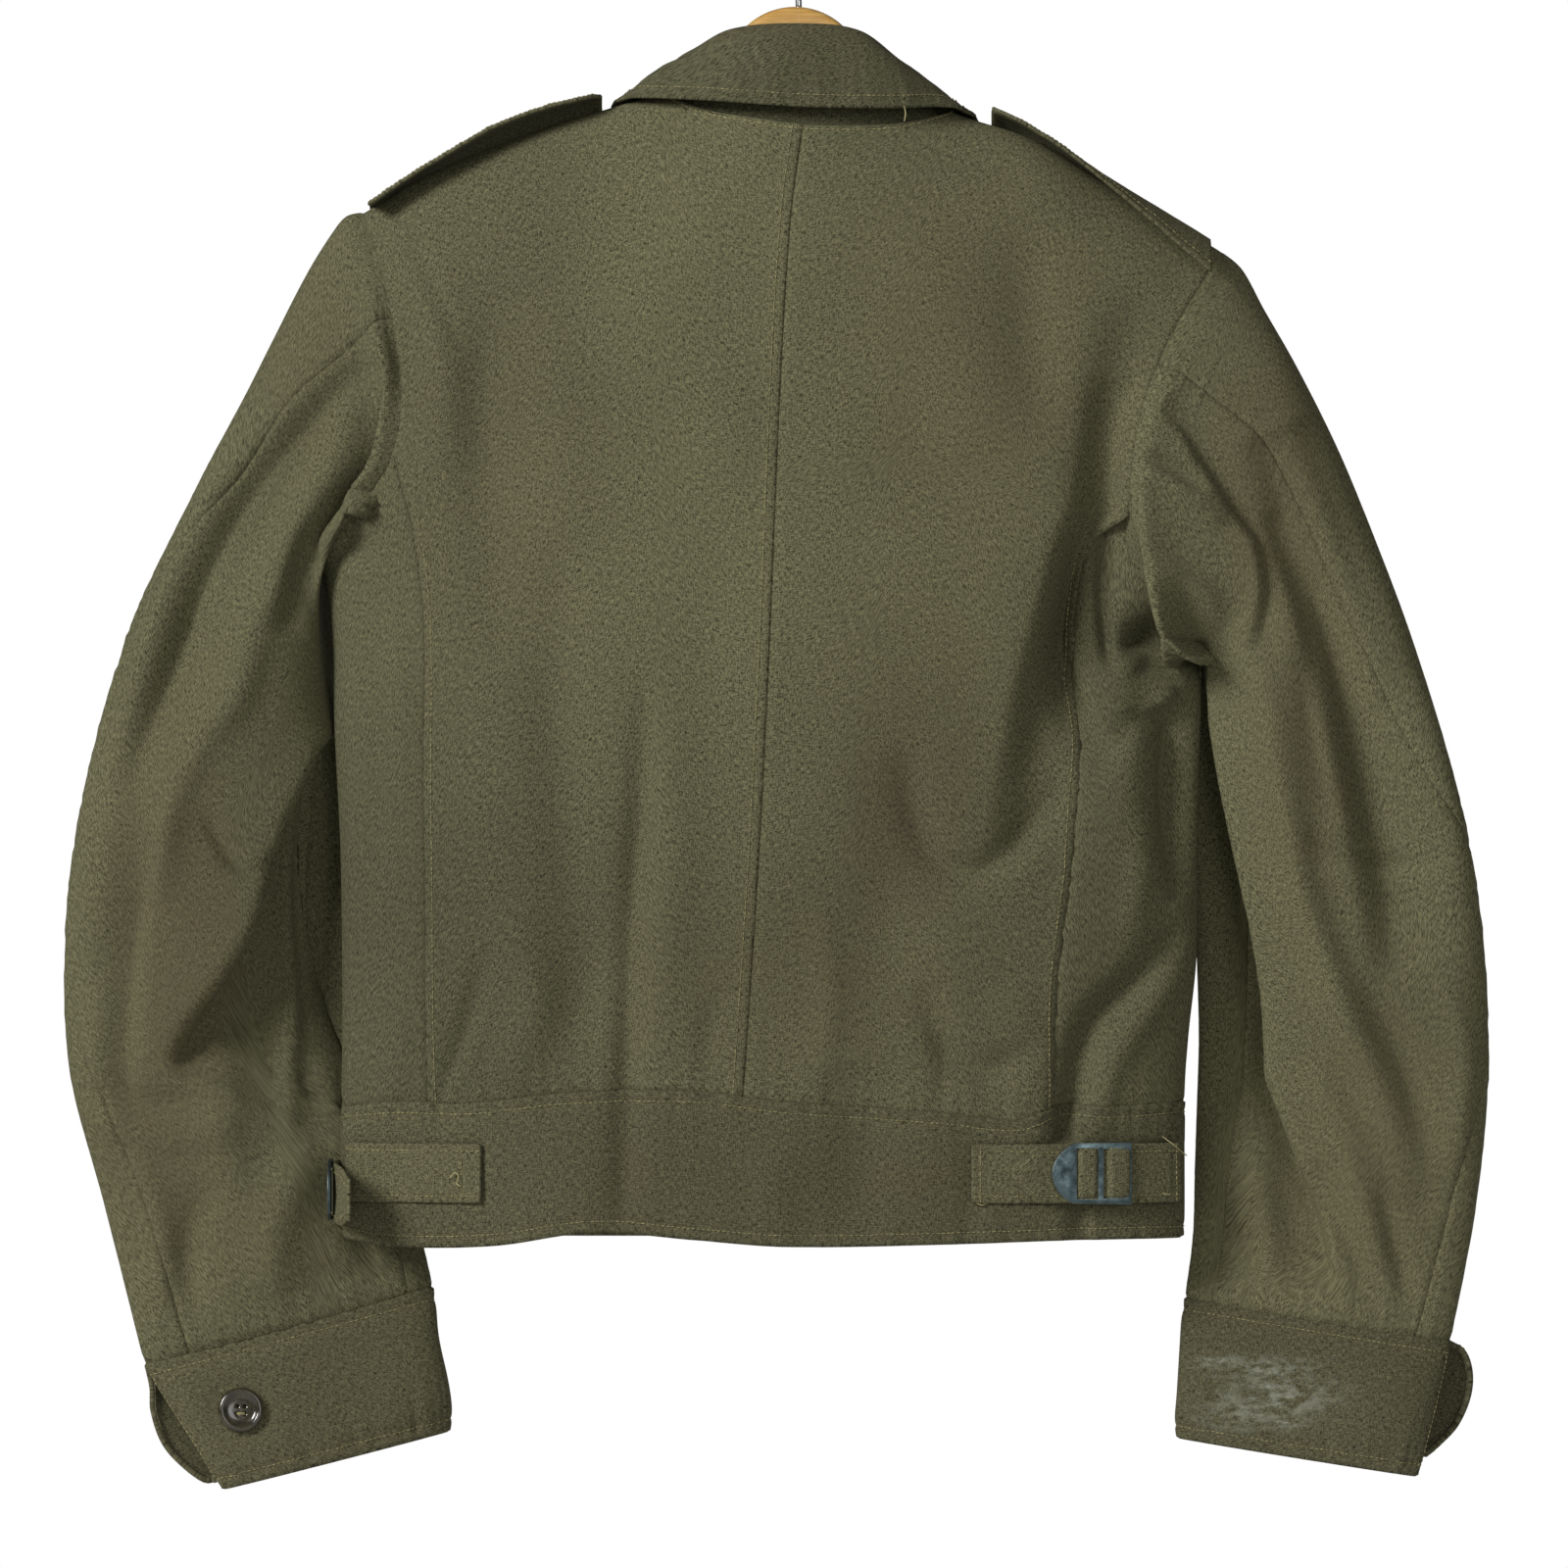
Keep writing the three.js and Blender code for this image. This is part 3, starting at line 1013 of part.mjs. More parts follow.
function hangerHalf(key) {
  const end = HANGER[key];
  const start = Math.sign(end) * HALF_GAP;
  const rings = HANGER_SHARES.map((t) => {
    const x = lerp(start, end, t);
    const tip = clamp01((t - HANGER_TIP.from) / (1 - HANGER_TIP.from));
    const top = hangerTop(x);
    const deep = lerp(HANGER.depth, HANGER.tipDepth, t) * lerp(1, HANGER_TIP.depth, tip);
    const half = HANGER.half * lerp(1, HANGER_TIP.half, tip);
    const down = HANGER_SECTION.map(([w, d]) => [w * half, top + d - tip * HANGER_TIP.drop]);
    const bottom = [[half, top - deep + HANGER_FOOT.rise], [half * HANGER_FOOT.half, top - deep]];
    const rightSide = [...down.slice(1), ...bottom];
    const leftSide = rightSide.map(([w, z]) => [-w, z]).reverse();
    return [[0, down[0][1]], ...rightSide, ...leftSide].map(([y, z]) => vec(x, midY(x) + y, z));
  });
  return tubeOf(rings);
}
// A closed solid from rings of points, with a flat fan at each end.
function tubeOf(rings) {
  const n = rings[0].length;
  const points = rings.flat();
  const index = [];
  for (let j = 0; j < rings.length - 1; j += 1) {
    for (let i = 0; i < n; i += 1) {
      const [a, b] = [j * n + i, j * n + ((i + 1) % n)];
      index.push(a, b, b + n, a, b + n, a + n);
    }
  }
  const last = (rings.length - 1) * n;
  for (let i = 1; i < n - 1; i += 1) {
    index.push(0, i + 1, i, last, last + i, last + i + 1);
  }
  return facingOut(points, index);
}

// Hook: steel wire, up from the wood and round over the rail, whose top it touches at the origin.
const HOOK = {
  wire: 1.6, radius: 21.6,
  shank: 7, neck: [[1.5, -48.5], [7.5, -43]], // straight up, then bent out to where the round part starts
  from: -52, to: 205, step: 16, // degrees of the round part
};
function hook() {
  const { wire, radius, shank, neck, from, to, step } = HOOK;
  const centre = wire - radius;
  const foot = HANGER.crown + SEAM_GAP;
  const points = [vec(0, 0, foot), vec(0, 0, foot + shank), ...neck.map(([x, z]) => vec(x, 0, z))];
  for (let degrees = from; degrees <= to; degrees += step) {
    const a = (degrees * Math.PI) / 180;
    points.push(vec(radius * Math.cos(a), 0, centre + radius * Math.sin(a)));
  }
  const path = new THREE.CatmullRomCurve3(points);
  const round = new THREE.Shape().absarc(0, 0, wire, 0, Math.PI * 2);
  const options = { extrudePath: path, steps: 40, curveSegments: 4, bevelEnabled: false };
  return new THREE.ExtrudeGeometry(round, options);
}

add("back_left", backPanel("left"));
add("back_right", backPanel("right"));
add("side_left", sidePanel("left"));
add("side_right", sidePanel("right"));
add("front_left", frontPanel("left"));
add("front_right", frontPanel("right"));
add("waistband_back", backBand());
add("waistband_front_left", frontBand("left"));
add("waistband_front_right", frontBand("right"));
for (const key of ["left", "right"]) {
  add("sleeve_top_" + key, sleevePiece(key, "top"));
  add("sleeve_under_" + key, sleevePiece(key, "under"));
  add("cuff_" + key, cuff(key));
  add("lapel_" + key, lapel(key));
  add("pocket_" + key, pocket(key));
  add("pocket_flap_" + key, flap(key));
  add("shoulder_loop_" + key, shoulderLoop(key));
}
const cuffButton = buttonSeat("left", BUTTON.x, BUTTON.z);
button("cuff_button_left", cuffButton.seat, cuffButton.facing);
add("collar", collar());

// Where the waist tabs start and end along x, and the right buckle's middle and clearance.
const TAB_PLACES = {
  rightStrap: [88, 160], rightTongue: [190, 108], leftStrap: [-161.5, -228], tipLength: 14,
};
const RIGHT_BUCKLE = { x: 147, clear: 0.2 };
add("tab_strap_right", strapOnBand(...TAB_PLACES.rightStrap, TAB_LIFT));
const tongueLift = TAB_LIFT + STRAP + OVER_GAP;
const { rightTongue, tipLength } = TAB_PLACES;
add("tab_tongue_right", strapOnBand(...rightTongue, tongueLift, tipLength, TAB_STEPS + 1));
add("tab_strap_left", strapOnBand(...TAB_PLACES.leftStrap, TAB_LIFT));
add("tab_tongue_left", leftTongue());

const rightBuckle = add("buckle_right", buckleShape(), COLOUR.buckle, 0.4, 0.8);
const buckleLift = TAB_LIFT + 1.5 * STRAP + 2 * OVER_GAP + RIGHT_BUCKLE.clear;
const rightSeat = body(NEAR, RIGHT_BUCKLE.x, TAB_MIDDLE, buckleLift);
const outOfBand = vec(rightSeat.normal.x, rightSeat.normal.y, 0).normalize();
const alongBand = vec(-outOfBand.y, outOfBand.x, 0);
const up = vec(0, 0, 1);
rightBuckle.quaternion.setFromRotationMatrix(new THREE.Matrix4().makeBasis(alongBand, up, outOfBand));
rightBuckle.position.copy(rightSeat.point).addScaledVector(alongBand, -BUCKLE.length / 2);

const leftBuckle = add("buckle_left", buckleShape(), COLOUR.buckle, 0.4, 0.8);
leftBuckle.quaternion.setFromRotationMatrix(new THREE.Matrix4().makeBasis(vec(0, 1, 0), up, vec(1, 0, 0)));
leftBuckle.position.set(SIDE_BUCKLE.x - BUCKLE.thick, SIDE_BUCKLE.y - SIDE_BUCKLE.ahead, SIDE_BUCKLE.z);

add("hanger_left", hangerHalf("left"), COLOUR.wood, 0.5);
add("hanger_right", hangerHalf("right"), COLOUR.wood, 0.5);
add("hook", hook(), COLOUR.steel, 0.3, 1);

export default jacket;
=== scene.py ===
# A waist-length olive wool service jacket on a plain wooden hanger, seen from the back.
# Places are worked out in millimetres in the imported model's frame and meshes are made in metres.
# -Y is the jacket's back, +Y its front, +X the wearer's right, and the hook bears on a rail at the origin.
import math

import bmesh
import bpy
import numpy as np
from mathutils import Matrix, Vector


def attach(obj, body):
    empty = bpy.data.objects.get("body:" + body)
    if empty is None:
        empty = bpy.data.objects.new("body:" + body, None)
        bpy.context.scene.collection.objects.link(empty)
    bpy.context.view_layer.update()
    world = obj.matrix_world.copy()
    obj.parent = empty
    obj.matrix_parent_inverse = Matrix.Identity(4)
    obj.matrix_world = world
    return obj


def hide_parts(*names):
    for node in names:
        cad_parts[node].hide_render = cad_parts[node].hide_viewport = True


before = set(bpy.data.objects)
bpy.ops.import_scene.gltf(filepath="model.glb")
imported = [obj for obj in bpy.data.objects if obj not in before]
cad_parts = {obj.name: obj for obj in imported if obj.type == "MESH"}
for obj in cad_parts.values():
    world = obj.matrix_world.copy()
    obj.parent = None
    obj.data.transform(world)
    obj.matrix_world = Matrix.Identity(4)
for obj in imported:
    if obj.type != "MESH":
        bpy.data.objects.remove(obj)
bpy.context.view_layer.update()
MM = 0.001

# Camera. The photograph is square to the back of the jacket and shows 800 mm from side to side.
# A long lens from far off keeps the near and far layers at the same scale, as in the photograph.
view_width = 0.8
view_centre = Vector((-0.0075, 0, -0.4585))
camera_distance = 6.0
camera_data = bpy.data.cameras.new("camera")
camera_data.sensor_width = 36
camera_data.lens = camera_data.sensor_width * camera_distance / view_width
camera_data.clip_end = 50
camera = bpy.data.objects.new("camera", camera_data)
camera.location = view_centre + Vector((0, -camera_distance, 0))
camera.rotation_euler = (math.radians(90), 0, 0)
bpy.context.scene.collection.objects.link(camera)
bpy.context.scene.camera = camera

# Hanger. Two halves of varnished beech that meet under the hook in a straight joint. Each is bent forward
# to the shoulders' bow, rounded along the top where the jacket lies on it, and slimmer towards its tip.
CLOTH, SEAM_GAP = 2.0, 0.3
HALF_GAP = SEAM_GAP / 2
BOW_RISE, BOW_REACH = 14, 220
RIDGE = (
    # x, z
    (-320, -232), (-262, -190), (-222, -167.5), (-190, -148.5), (-133, -126), (-70, -106.5), (-30, -91),
    (5, -86), (40, -96), (78, -116.5), (119, -130.5), (157, -153.5), (189, -172), (215, -187), (260, -216),
    (320, -262),
)
HANGER_ENDS = {"left": -204, "right": 198}
HANGER_HALF, HANGER_DEPTH, HANGER_TIP_DEPTH = 6, 34, 20
HANGER_CROWN = {"z": -62, "x": -2, "half": 26, "round": 36, "foot": 11.1, "slope": 0.72, "blend": 34}
HANGER_UNDER, NECK_DIP, NECK_AT, NECK_WIDE = 3.4, 9, 68, 24
HANGER_SECTION = (
    # share of the half width, depth below the top
    (0, 0), (0.34, -0.1), (0.62, -0.5), (0.86, -1.4), (0.97, -2.8), (1, -5),
)
TIP_FROM, TIP_DEPTH, TIP_HALF, TIP_DROP = 0.9, 0.55, 0.6, 4
HANGER_RINGS, JOINT_GAP = 110, 0.02
SHARP_ANGLE = math.radians(50)


def smooth(args, values):
    """A smooth function through a short table of arguments and values."""
    args = np.asarray(args, float)
    values = np.asarray(values, float)
    before = np.maximum(np.arange(len(args)) - 1, 0)
    after = np.minimum(np.arange(len(args)) + 1, len(args) - 1)
    slope = (values[after] - values[before]) / (args[after] - args[before])

    def at(x):
        x = np.asarray(x, float)
        i = np.clip(np.searchsorted(args, x, side="right") - 1, 0, len(args) - 2)
        h = args[i + 1] - args[i]
        t = (x - args[i]) / h
        s = t * t * (3 - 2 * t)
        bend = h * t * (1 - t) * ((1 - t) * slope[i] - t * slope[i + 1])
        inside = values[i] + (values[i + 1] - values[i]) * s + bend
        low = values[i] + slope[i] * (x - args[i])
        high = values[i + 1] + slope[i + 1] * (x - args[i + 1])
        return np.where(t <= 0, low, np.where(t >= 1, high, inside))

    return at


def column(rows, key, value):
    """A column of a table as a function of another column."""
    rows = sorted(rows, key=lambda row: row[key])
    return smooth([row[key] for row in rows], [row[value] for row in rows])


def route(points):
    """A smooth curve through points, by its share of the length from 0 to 1."""
    points = np.asarray(points, float)
    steps = np.linalg.norm(np.diff(points, axis=0), axis=1)
    shares = np.concatenate(([0], np.cumsum(steps))) / steps.sum()
    axes = [smooth(shares, points[:, k]) for k in range(points.shape[1])]
    return lambda t: np.stack([axis(t) for axis in axes], axis=-1)


def ease(t):
    t = np.clip(t, 0, 1)
    return t * t * (3 - 2 * t)


def lerp(a, b, t):
    return a + (b - a) * t


def mid_y(x):
    """The forward bow of the hanger's plane, which the jacket follows."""
    return BOW_RISE * (np.asarray(x, float) / BOW_REACH) ** 2


ridge_z = column(RIDGE, 0, 1)


def linear(r, g, b):
    """An sRGB colour of 0 to 255 as the shader's own linear numbers."""
    channels = [c / 255 for c in (r, g, b)]
    return tuple(c / 12.92 if c < 0.04 else ((c + 0.055) / 1.055) ** 2.4 for c in channels) + (1.0,)


def tree_of(name):
    """A new material, its node tree and its main shader."""
    material = bpy.data.materials.new(name)
    material.use_nodes = True
    tree = material.node_tree
    return material, tree, tree.nodes["Principled BSDF"]


def noise(tree, source, scale, detail=2.0, stretch=(1, 1, 1), roughness=0.5):
    """A noise texture on a vector, stretched by a mapping. Returns its factor socket."""
    mapping = tree.nodes.new("ShaderNodeMapping")
    mapping.inputs["Scale"].default_value = stretch
    tree.links.new(source, mapping.inputs["Vector"])
    texture = tree.nodes.new("ShaderNodeTexNoise")
    texture.inputs["Scale"].default_value = scale
    texture.inputs["Detail"].default_value = detail
    texture.inputs["Roughness"].default_value = roughness
    tree.links.new(mapping.outputs["Vector"], texture.inputs["Vector"])
    return texture.outputs["Fac"]


def ramp(tree, factor, *stops):
    """A colour ramp over a factor. Each stop is (place, colour)."""
    node = tree.nodes.new("ShaderNodeValToRGB")
    elements = node.color_ramp.elements
    while len(elements) < len(stops):
        elements.new(0.5)
    for element, (place, colour) in zip(elements, stops):
        element.position = place
        element.color = colour if hasattr(colour, "__len__") else (colour, colour, colour, 1)
    tree.links.new(factor, node.inputs["Fac"])
    return node.outputs["Color"]


def mixed(tree, kind, factor, a, b):
    """A colour mix. factor, a and b are sockets or plain values."""
    node = tree.nodes.new("ShaderNodeMix")
    node.data_type = "RGBA"
    node.blend_type = kind
    for socket, value in ((node.inputs[0], factor), (node.inputs[6], a), (node.inputs[7], b)):
        if isinstance(value, bpy.types.NodeSocket):
            tree.links.new(value, socket)
        else:
            socket.default_value = value
    return node.outputs[2]


def bumped(tree, shader, height, distance, strength=1.0):
    """Raises the surface by a height socket, to a distance in metres."""
    bump = tree.nodes.new("ShaderNodeBump")
    bump.inputs["Strength"].default_value = strength
    bump.inputs["Distance"].default_value = distance
    tree.links.new(height, bump.inputs["Height"])
    tree.links.new(bump.outputs["Normal"], shader.inputs["Normal"])


def object_place(tree):
    return tree.nodes.new("ShaderNodeTexCoord").outputs["Object"]


def beech():
    """Grain lines run along the hanger, with short darker flecks, under a thin honey varnish."""
    material, tree, shader = tree_of("beech")
    place = object_place(tree)
    grain = noise(tree, place, 1, 4, (14, 160, 420), 0.65)
    flecks = noise(tree, place, 1, 2, (90, 900, 1400), 0.5)
    wood = ramp(
        tree, grain, (0.32, linear(178, 128, 58)), (0.5, linear(205, 158, 82)), (0.68, linear(222, 180, 104)),
    )
    wood = mixed(tree, "MULTIPLY", 0.5, wood, ramp(tree, flecks, (0.36, 0.62), (0.5, 1.0)))
    tree.links.new(wood, shader.inputs["Base Color"])
    shader.inputs["Roughness"].default_value = 0.42
    shader.inputs["Coat Weight"].default_value = 0.35
    shader.inputs["Coat Roughness"].default_value = 0.25
    bumped(tree, shader, grain, 0.0003, 0.4)
    return material


def new_piece(name, points, faces, material, sharp=None):
    """An object from points in millimetres and faces. Its faces are turned outwards."""
    mesh = bpy.data.meshes.new(name)
    mesh.from_pydata((np.asarray(points, float) * MM).tolist(), [], faces)
    mesh.shade_smooth()
    if sharp:
        mesh.set_sharp_from_angle(angle=sharp)
    mesh.materials.append(material)
    face_outwards(mesh)
    piece = bpy.data.objects.new(name, mesh)
    bpy.context.scene.collection.objects.link(piece)
    return piece


def face_outwards(mesh):
    shell = bmesh.new()
    shell.from_mesh(mesh)
    bmesh.ops.recalc_face_normals(shell, faces=shell.faces[:])
    if shell.calc_volume(signed=True) < 0:
        bmesh.ops.reverse_faces(shell, faces=shell.faces[:])
    shell.to_mesh(mesh)
    shell.free()


def fastened(piece, slot, *nodes):
    """Fixes a piece to the jacket's one body in its nodes' place, and hides those nodes. slot is not used."""
    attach(piece, "root")
    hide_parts(*nodes)
    return piece


def ring_faces(rings, around):
    """The faces of a closed tube of rings, with a flat end at each end."""
    faces = []
    for j in range(rings - 1):
        for i in range(around):
            a = j * around + i
            b = j * around + (i + 1) % around
            faces.append((a, b, b + around, a + around))
    faces.append(tuple(reversed(range(around))))
    faces.append(tuple((rings - 1) * around + i for i in range(around)))
    return faces


def hanger_top(x):
    crown = HANGER_CROWN
    dip = NECK_DIP * math.exp(-(((abs(x) - NECK_AT) / NECK_WIDE) ** 2))
    shoulder = float(ridge_z(x)) - CLOTH / 2 - HANGER_UNDER - dip
    beyond = abs(x - crown["x"]) - crown["half"]
    if beyond < 0:
        return crown["z"] - (1 - math.sqrt(1 - ((x - crown["x"]) / crown["round"]) ** 2)) * crown["round"]
    neck = crown["z"] - crown["foot"] - beyond * crown["slope"]
    return lerp(neck, shoulder, float(ease(beyond / crown["blend"])))


def hanger_half(key, material):
    end = HANGER_ENDS[key]
    start = math.copysign(JOINT_GAP, end)
    points = []
    for t in np.linspace(0, 1, HANGER_RINGS):
        x = lerp(start, end, t)
        tip = float(ease((t - TIP_FROM) / (1 - TIP_FROM)))
        top = hanger_top(x)
        deep = lerp(HANGER_DEPTH, HANGER_TIP_DEPTH, t) * lerp(1, TIP_DEPTH, tip)
        half = HANGER_HALF * lerp(1, TIP_HALF, tip)
        down = [(w * half, top + d - tip * TIP_DROP) for w, d in HANGER_SECTION]
        foot = [(half, top - deep + 3), (half * 0.9, top - deep + 1), (half * 0.6, top - deep)]
        right_side = down[1:] + foot
        left_side = [(-w, z) for w, z in reversed(right_side)]
        ring = [down[0]] + right_side + left_side
        points += [(x, float(mid_y(x)) + y, z) for y, z in ring]
    faces = ring_faces(HANGER_RINGS, len(ring))
    piece = new_piece("hanger_wood_" + key, points, faces, material, SHARP_ANGLE)
    fastened(piece, "wood", "hanger_" + key)


wood = beech()
for key in HANGER_ENDS:
    hanger_half(key, wood)

# Hook. One length of bright drawn steel wire, screwed into the joint of the hanger and bent over the rail.
# Its end is rounded off.
WIRE, HOOK_RADIUS = 1.6, 21.6
HOOK_FOOT = HANGER_CROWN["z"] + SEAM_GAP
HOOK_SHANK = [(0, HOOK_FOOT), (0, HOOK_FOOT + 7), (1.5, -48.5), (7.5, -43)]
HOOK_FROM, HOOK_TO = -52, 205
HOOK_RINGS, HOOK_SIDES = 140, 16


def swept(path, radius, sides=12):
    """Points and faces of a round wire or thread along a path, with rounded ends."""
    path = np.asarray(path, float)
    run = np.gradient(path, axis=0)
    run /= np.linalg.norm(run, axis=1, keepdims=True)
    side = np.cross(run[0], [0.31, 0.87, 0.38])
    rings = []
    turns = np.linspace(0, 2 * math.pi, sides, endpoint=False)
    for place, along in zip(path, run):
        side -= along * side.dot(along)
        side /= np.linalg.norm(side)
        up = np.cross(along, side)
        circle = np.outer(np.cos(turns), side) + np.outer(np.sin(turns), up)
        rings.append((place, along, circle))
    shells = []
    for (place, along, circle), outward in ((rings[0], -1), (rings[-1], 1)):
        shells.append([
            place + along * outward * radius * 0.9 + circle * radius * 0.4,
            place + along * outward * radius * 0.55 + circle * radius * 0.83,
        ])
    layers = shells[0] + [place + circle * radius for place, _, circle in rings] + shells[1][::-1]
    return np.concatenate(layers), ring_faces(len(layers), sides)


def drawn_steel():
    """Bright wire with fine marks along it and faint dulling."""
    material, tree, shader = tree_of("drawn_steel")
    place = object_place(tree)
    dull = noise(tree, place, 260, 3)
    metal = ramp(tree, dull, (0.3, linear(150, 150, 148)), (0.7, linear(205, 205, 203)))
    tree.links.new(metal, shader.inputs["Base Color"])
    tree.links.new(ramp(tree, dull, (0.3, 0.34), (0.7, 0.2)), shader.inputs["Roughness"])
    shader.inputs["Metallic"].default_value = 1.0
    bumped(tree, shader, noise(tree, place, 1, 2, (1500, 1500, 90)), 0.0001, 0.3)
    return material


bend = np.radians(np.linspace(HOOK_FROM, HOOK_TO, 20))
hook_line = [(x, 0, z) for x, z in HOOK_SHANK]
hook_line += [(HOOK_RADIUS * math.cos(a), 0, WIRE - HOOK_RADIUS + HOOK_RADIUS * math.sin(a)) for a in bend]
hook_path = route(hook_line)(np.linspace(0, 1, HOOK_RINGS))
hook = new_piece("hook_wire", *swept(hook_path, WIRE, HOOK_SIDES), drawn_steel())
fastened(hook, "steel", "hook")

# Wool serge. An olive twill of mixed dark and khaki fibres, faded brown where the arms rub and bend,
# with chalky scuffs on the right cuff and a purplish stain on the back. Attributes on the cloth say where.
# Painted shade: the cloth times this multiplier is mixed in where the dull attribute is set. On the back,
# side
# panels and left sleeve that is shade alone; on the band, cuffs and collar partly shade, partly darker cloth.
SHADE_AND_DARK_CLOTH = (0.66, 0.66, 0.68, 1)


def attribute(tree, name):
    node = tree.nodes.new("ShaderNodeAttribute")
    node.attribute_name = name
    return node.outputs["Fac"]


def wool_serge(name, dark, light, fade):
    """Twill cloth read along the cloth's own UV map, in metres: u across the piece and v down it."""
    material, tree, shader = tree_of(name)
    uv_map = tree.nodes.new("ShaderNodeUVMap")
    uv_map.uv_map = "cloth"
    uv = uv_map.outputs["UV"]
    place = object_place(tree)
    along = noise(tree, uv, 1, 4, (1700, 420, 1), 0.74)
    across = noise(tree, uv, 1, 4, (380, 1600, 1), 0.74)
    streaks = mixed(tree, "MIX", 0.45, along, across)
    cloth = ramp(tree, streaks, (0.41, dark), (0.59, light))
    blotch = ramp(tree, noise(tree, place, 9, 3), (0.3, 0.93), (0.7, 1.07))
    cloth = mixed(tree, "MULTIPLY", 1.0, cloth, blotch)
    faded = mixed(tree, "MULTIPLY", 1.0, ramp(tree, streaks, (0.41, 0.66), (0.59, 1.32)), fade)
    patchy = ramp(tree, noise(tree, place, 45, 3), (0.35, 0.5), (0.65, 1.0))
    amount = mixed(tree, "MULTIPLY", 1.0, attribute(tree, "fade"), patchy)
    cloth = mixed(tree, "MIX", amount, cloth, faded)
    # Painted shade: where the dull attribute is set, a darker copy of the cloth is mixed in.
    dull = mixed(tree, "MULTIPLY", 1.0, cloth, SHADE_AND_DARK_CLOTH)
    cloth = mixed(tree, "MIX", attribute(tree, "dull"), cloth, dull)
    cloth = mixed(tree, "MIX", attribute(tree, "stain"), cloth, linear(62, 48, 40))
    chalk = ramp(tree, noise(tree, place, 120, 5, (1, 1, 2.2), 0.65), (0.42, 0.0), (0.66, 1.0))
    scuff = mixed(tree, "MULTIPLY", 1.0, attribute(tree, "scuff"), chalk)
    cloth = mixed(tree, "MIX", scuff, cloth, linear(158, 160, 146))
    tree.links.new(cloth, shader.inputs["Base Color"])
    twill = tree.nodes.new("ShaderNodeTexWave")
    twill.bands_direction = "DIAGONAL"
    twill.inputs["Scale"].default_value = 210
    twill.inputs["Distortion"].default_value = 2.5
    twill.inputs["Detail"].default_value = 1
    tree.links.new(uv, twill.inputs["Vector"])
    relief = mixed(tree, "MIX", 0.6, twill.outputs["Fac"], streaks)
    bumped(tree, shader, relief, 0.00013, 0.5)
    shader.inputs["Roughness"].default_value = 0.95
    shader.inputs["Specular IOR Level"].default_value = 0.15
    shader.inputs["Sheen Weight"].default_value = 0.06
    shader.inputs["Sheen Roughness"].default_value = 0.6
    shader.inputs["Sheen Tint"].default_value = linear(170, 165, 130)
    return material


wool = wool_serge("wool_serge", linear(38, 37, 23), linear(132, 130, 97), linear(98, 86, 64))

# Hang of the jacket. The side edges, and how full back and front are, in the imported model's own sizes, so
# that each cloth piece lies on its own solid. The folds are soft troughs and ridges and sharper ledges.
DOUBLE, STRAP, OVER_GAP = 3.0, 1.8, 0.7
RIDGE_ROUND, SIDE_ROUND = 100, 58
NEAR, FAR = -1, 1
SIDE_LEFT = (
    # x, z
    (-278, -150), (-268, -220), (-256, -290), (-243.5, -347.5), (-237.5, -385), (-236.5, -430),
    (-233.5, -490), (-232.5, -560), (-232.5, -625), (-231.5, -700),
)
SIDE_RIGHT = (
    # x, z
    (262, -170), (250, -250), (232, -320), (213, -366), (206.5, -386), (204.5, -426), (203, -470),
    (202.5, -545), (198, -590), (195, -640), (195.5, -700),
)
BODY_DEPTH = (
    # z, back, front
    (-60, 42, 46), (-200, 42, 46), (-300, 44, 49), (-400, 44, 48), (-500, 39, 42), (-580, 33, 35),
    (-640, 29, 31), (-720, 28, 30),
)
side_left_x = column(SIDE_LEFT, 1, 0)
side_right_x = column(SIDE_RIGHT, 1, 0)
back_depth = column(BODY_DEPTH, 0, 1)
front_depth = column(BODY_DEPTH, 0, 2)

# Each fold is (path in x and z, half width, height out of the cloth). A ledge adds the reach over which the
# pressed side rises again, which side that is (1 on the path's left), and how far its lip hangs over.
# The first tables are the folds that the model has too; the creases are finer ones.
BACK_FOLDS = (
    ([(178, -205), (160, -260), (148, -330), (142, -430)], 15, -6),
    ([(196, -240), (160, -300), (120, -350)], 14, 3),
    ([(-196, -190), (-182, -230), (-176, -300)], 12, 4),
    ([(52, -420), (48, -500), (38, -600)], 22, -4),
    ([(-80, -470), (-98, -540), (-118, -606)], 16, -4),
    ([(-150, -520), (-134, -570), (-150, -612)], 12, 4),
    ([(28, -600), (34, -650), (30, -690)], 20, -5),
    ([(104, -560), (118, -600), (112, -660)], 14, 4),
    ([(172, -400), (188, -440), (182, -500)], 11, -6),
)
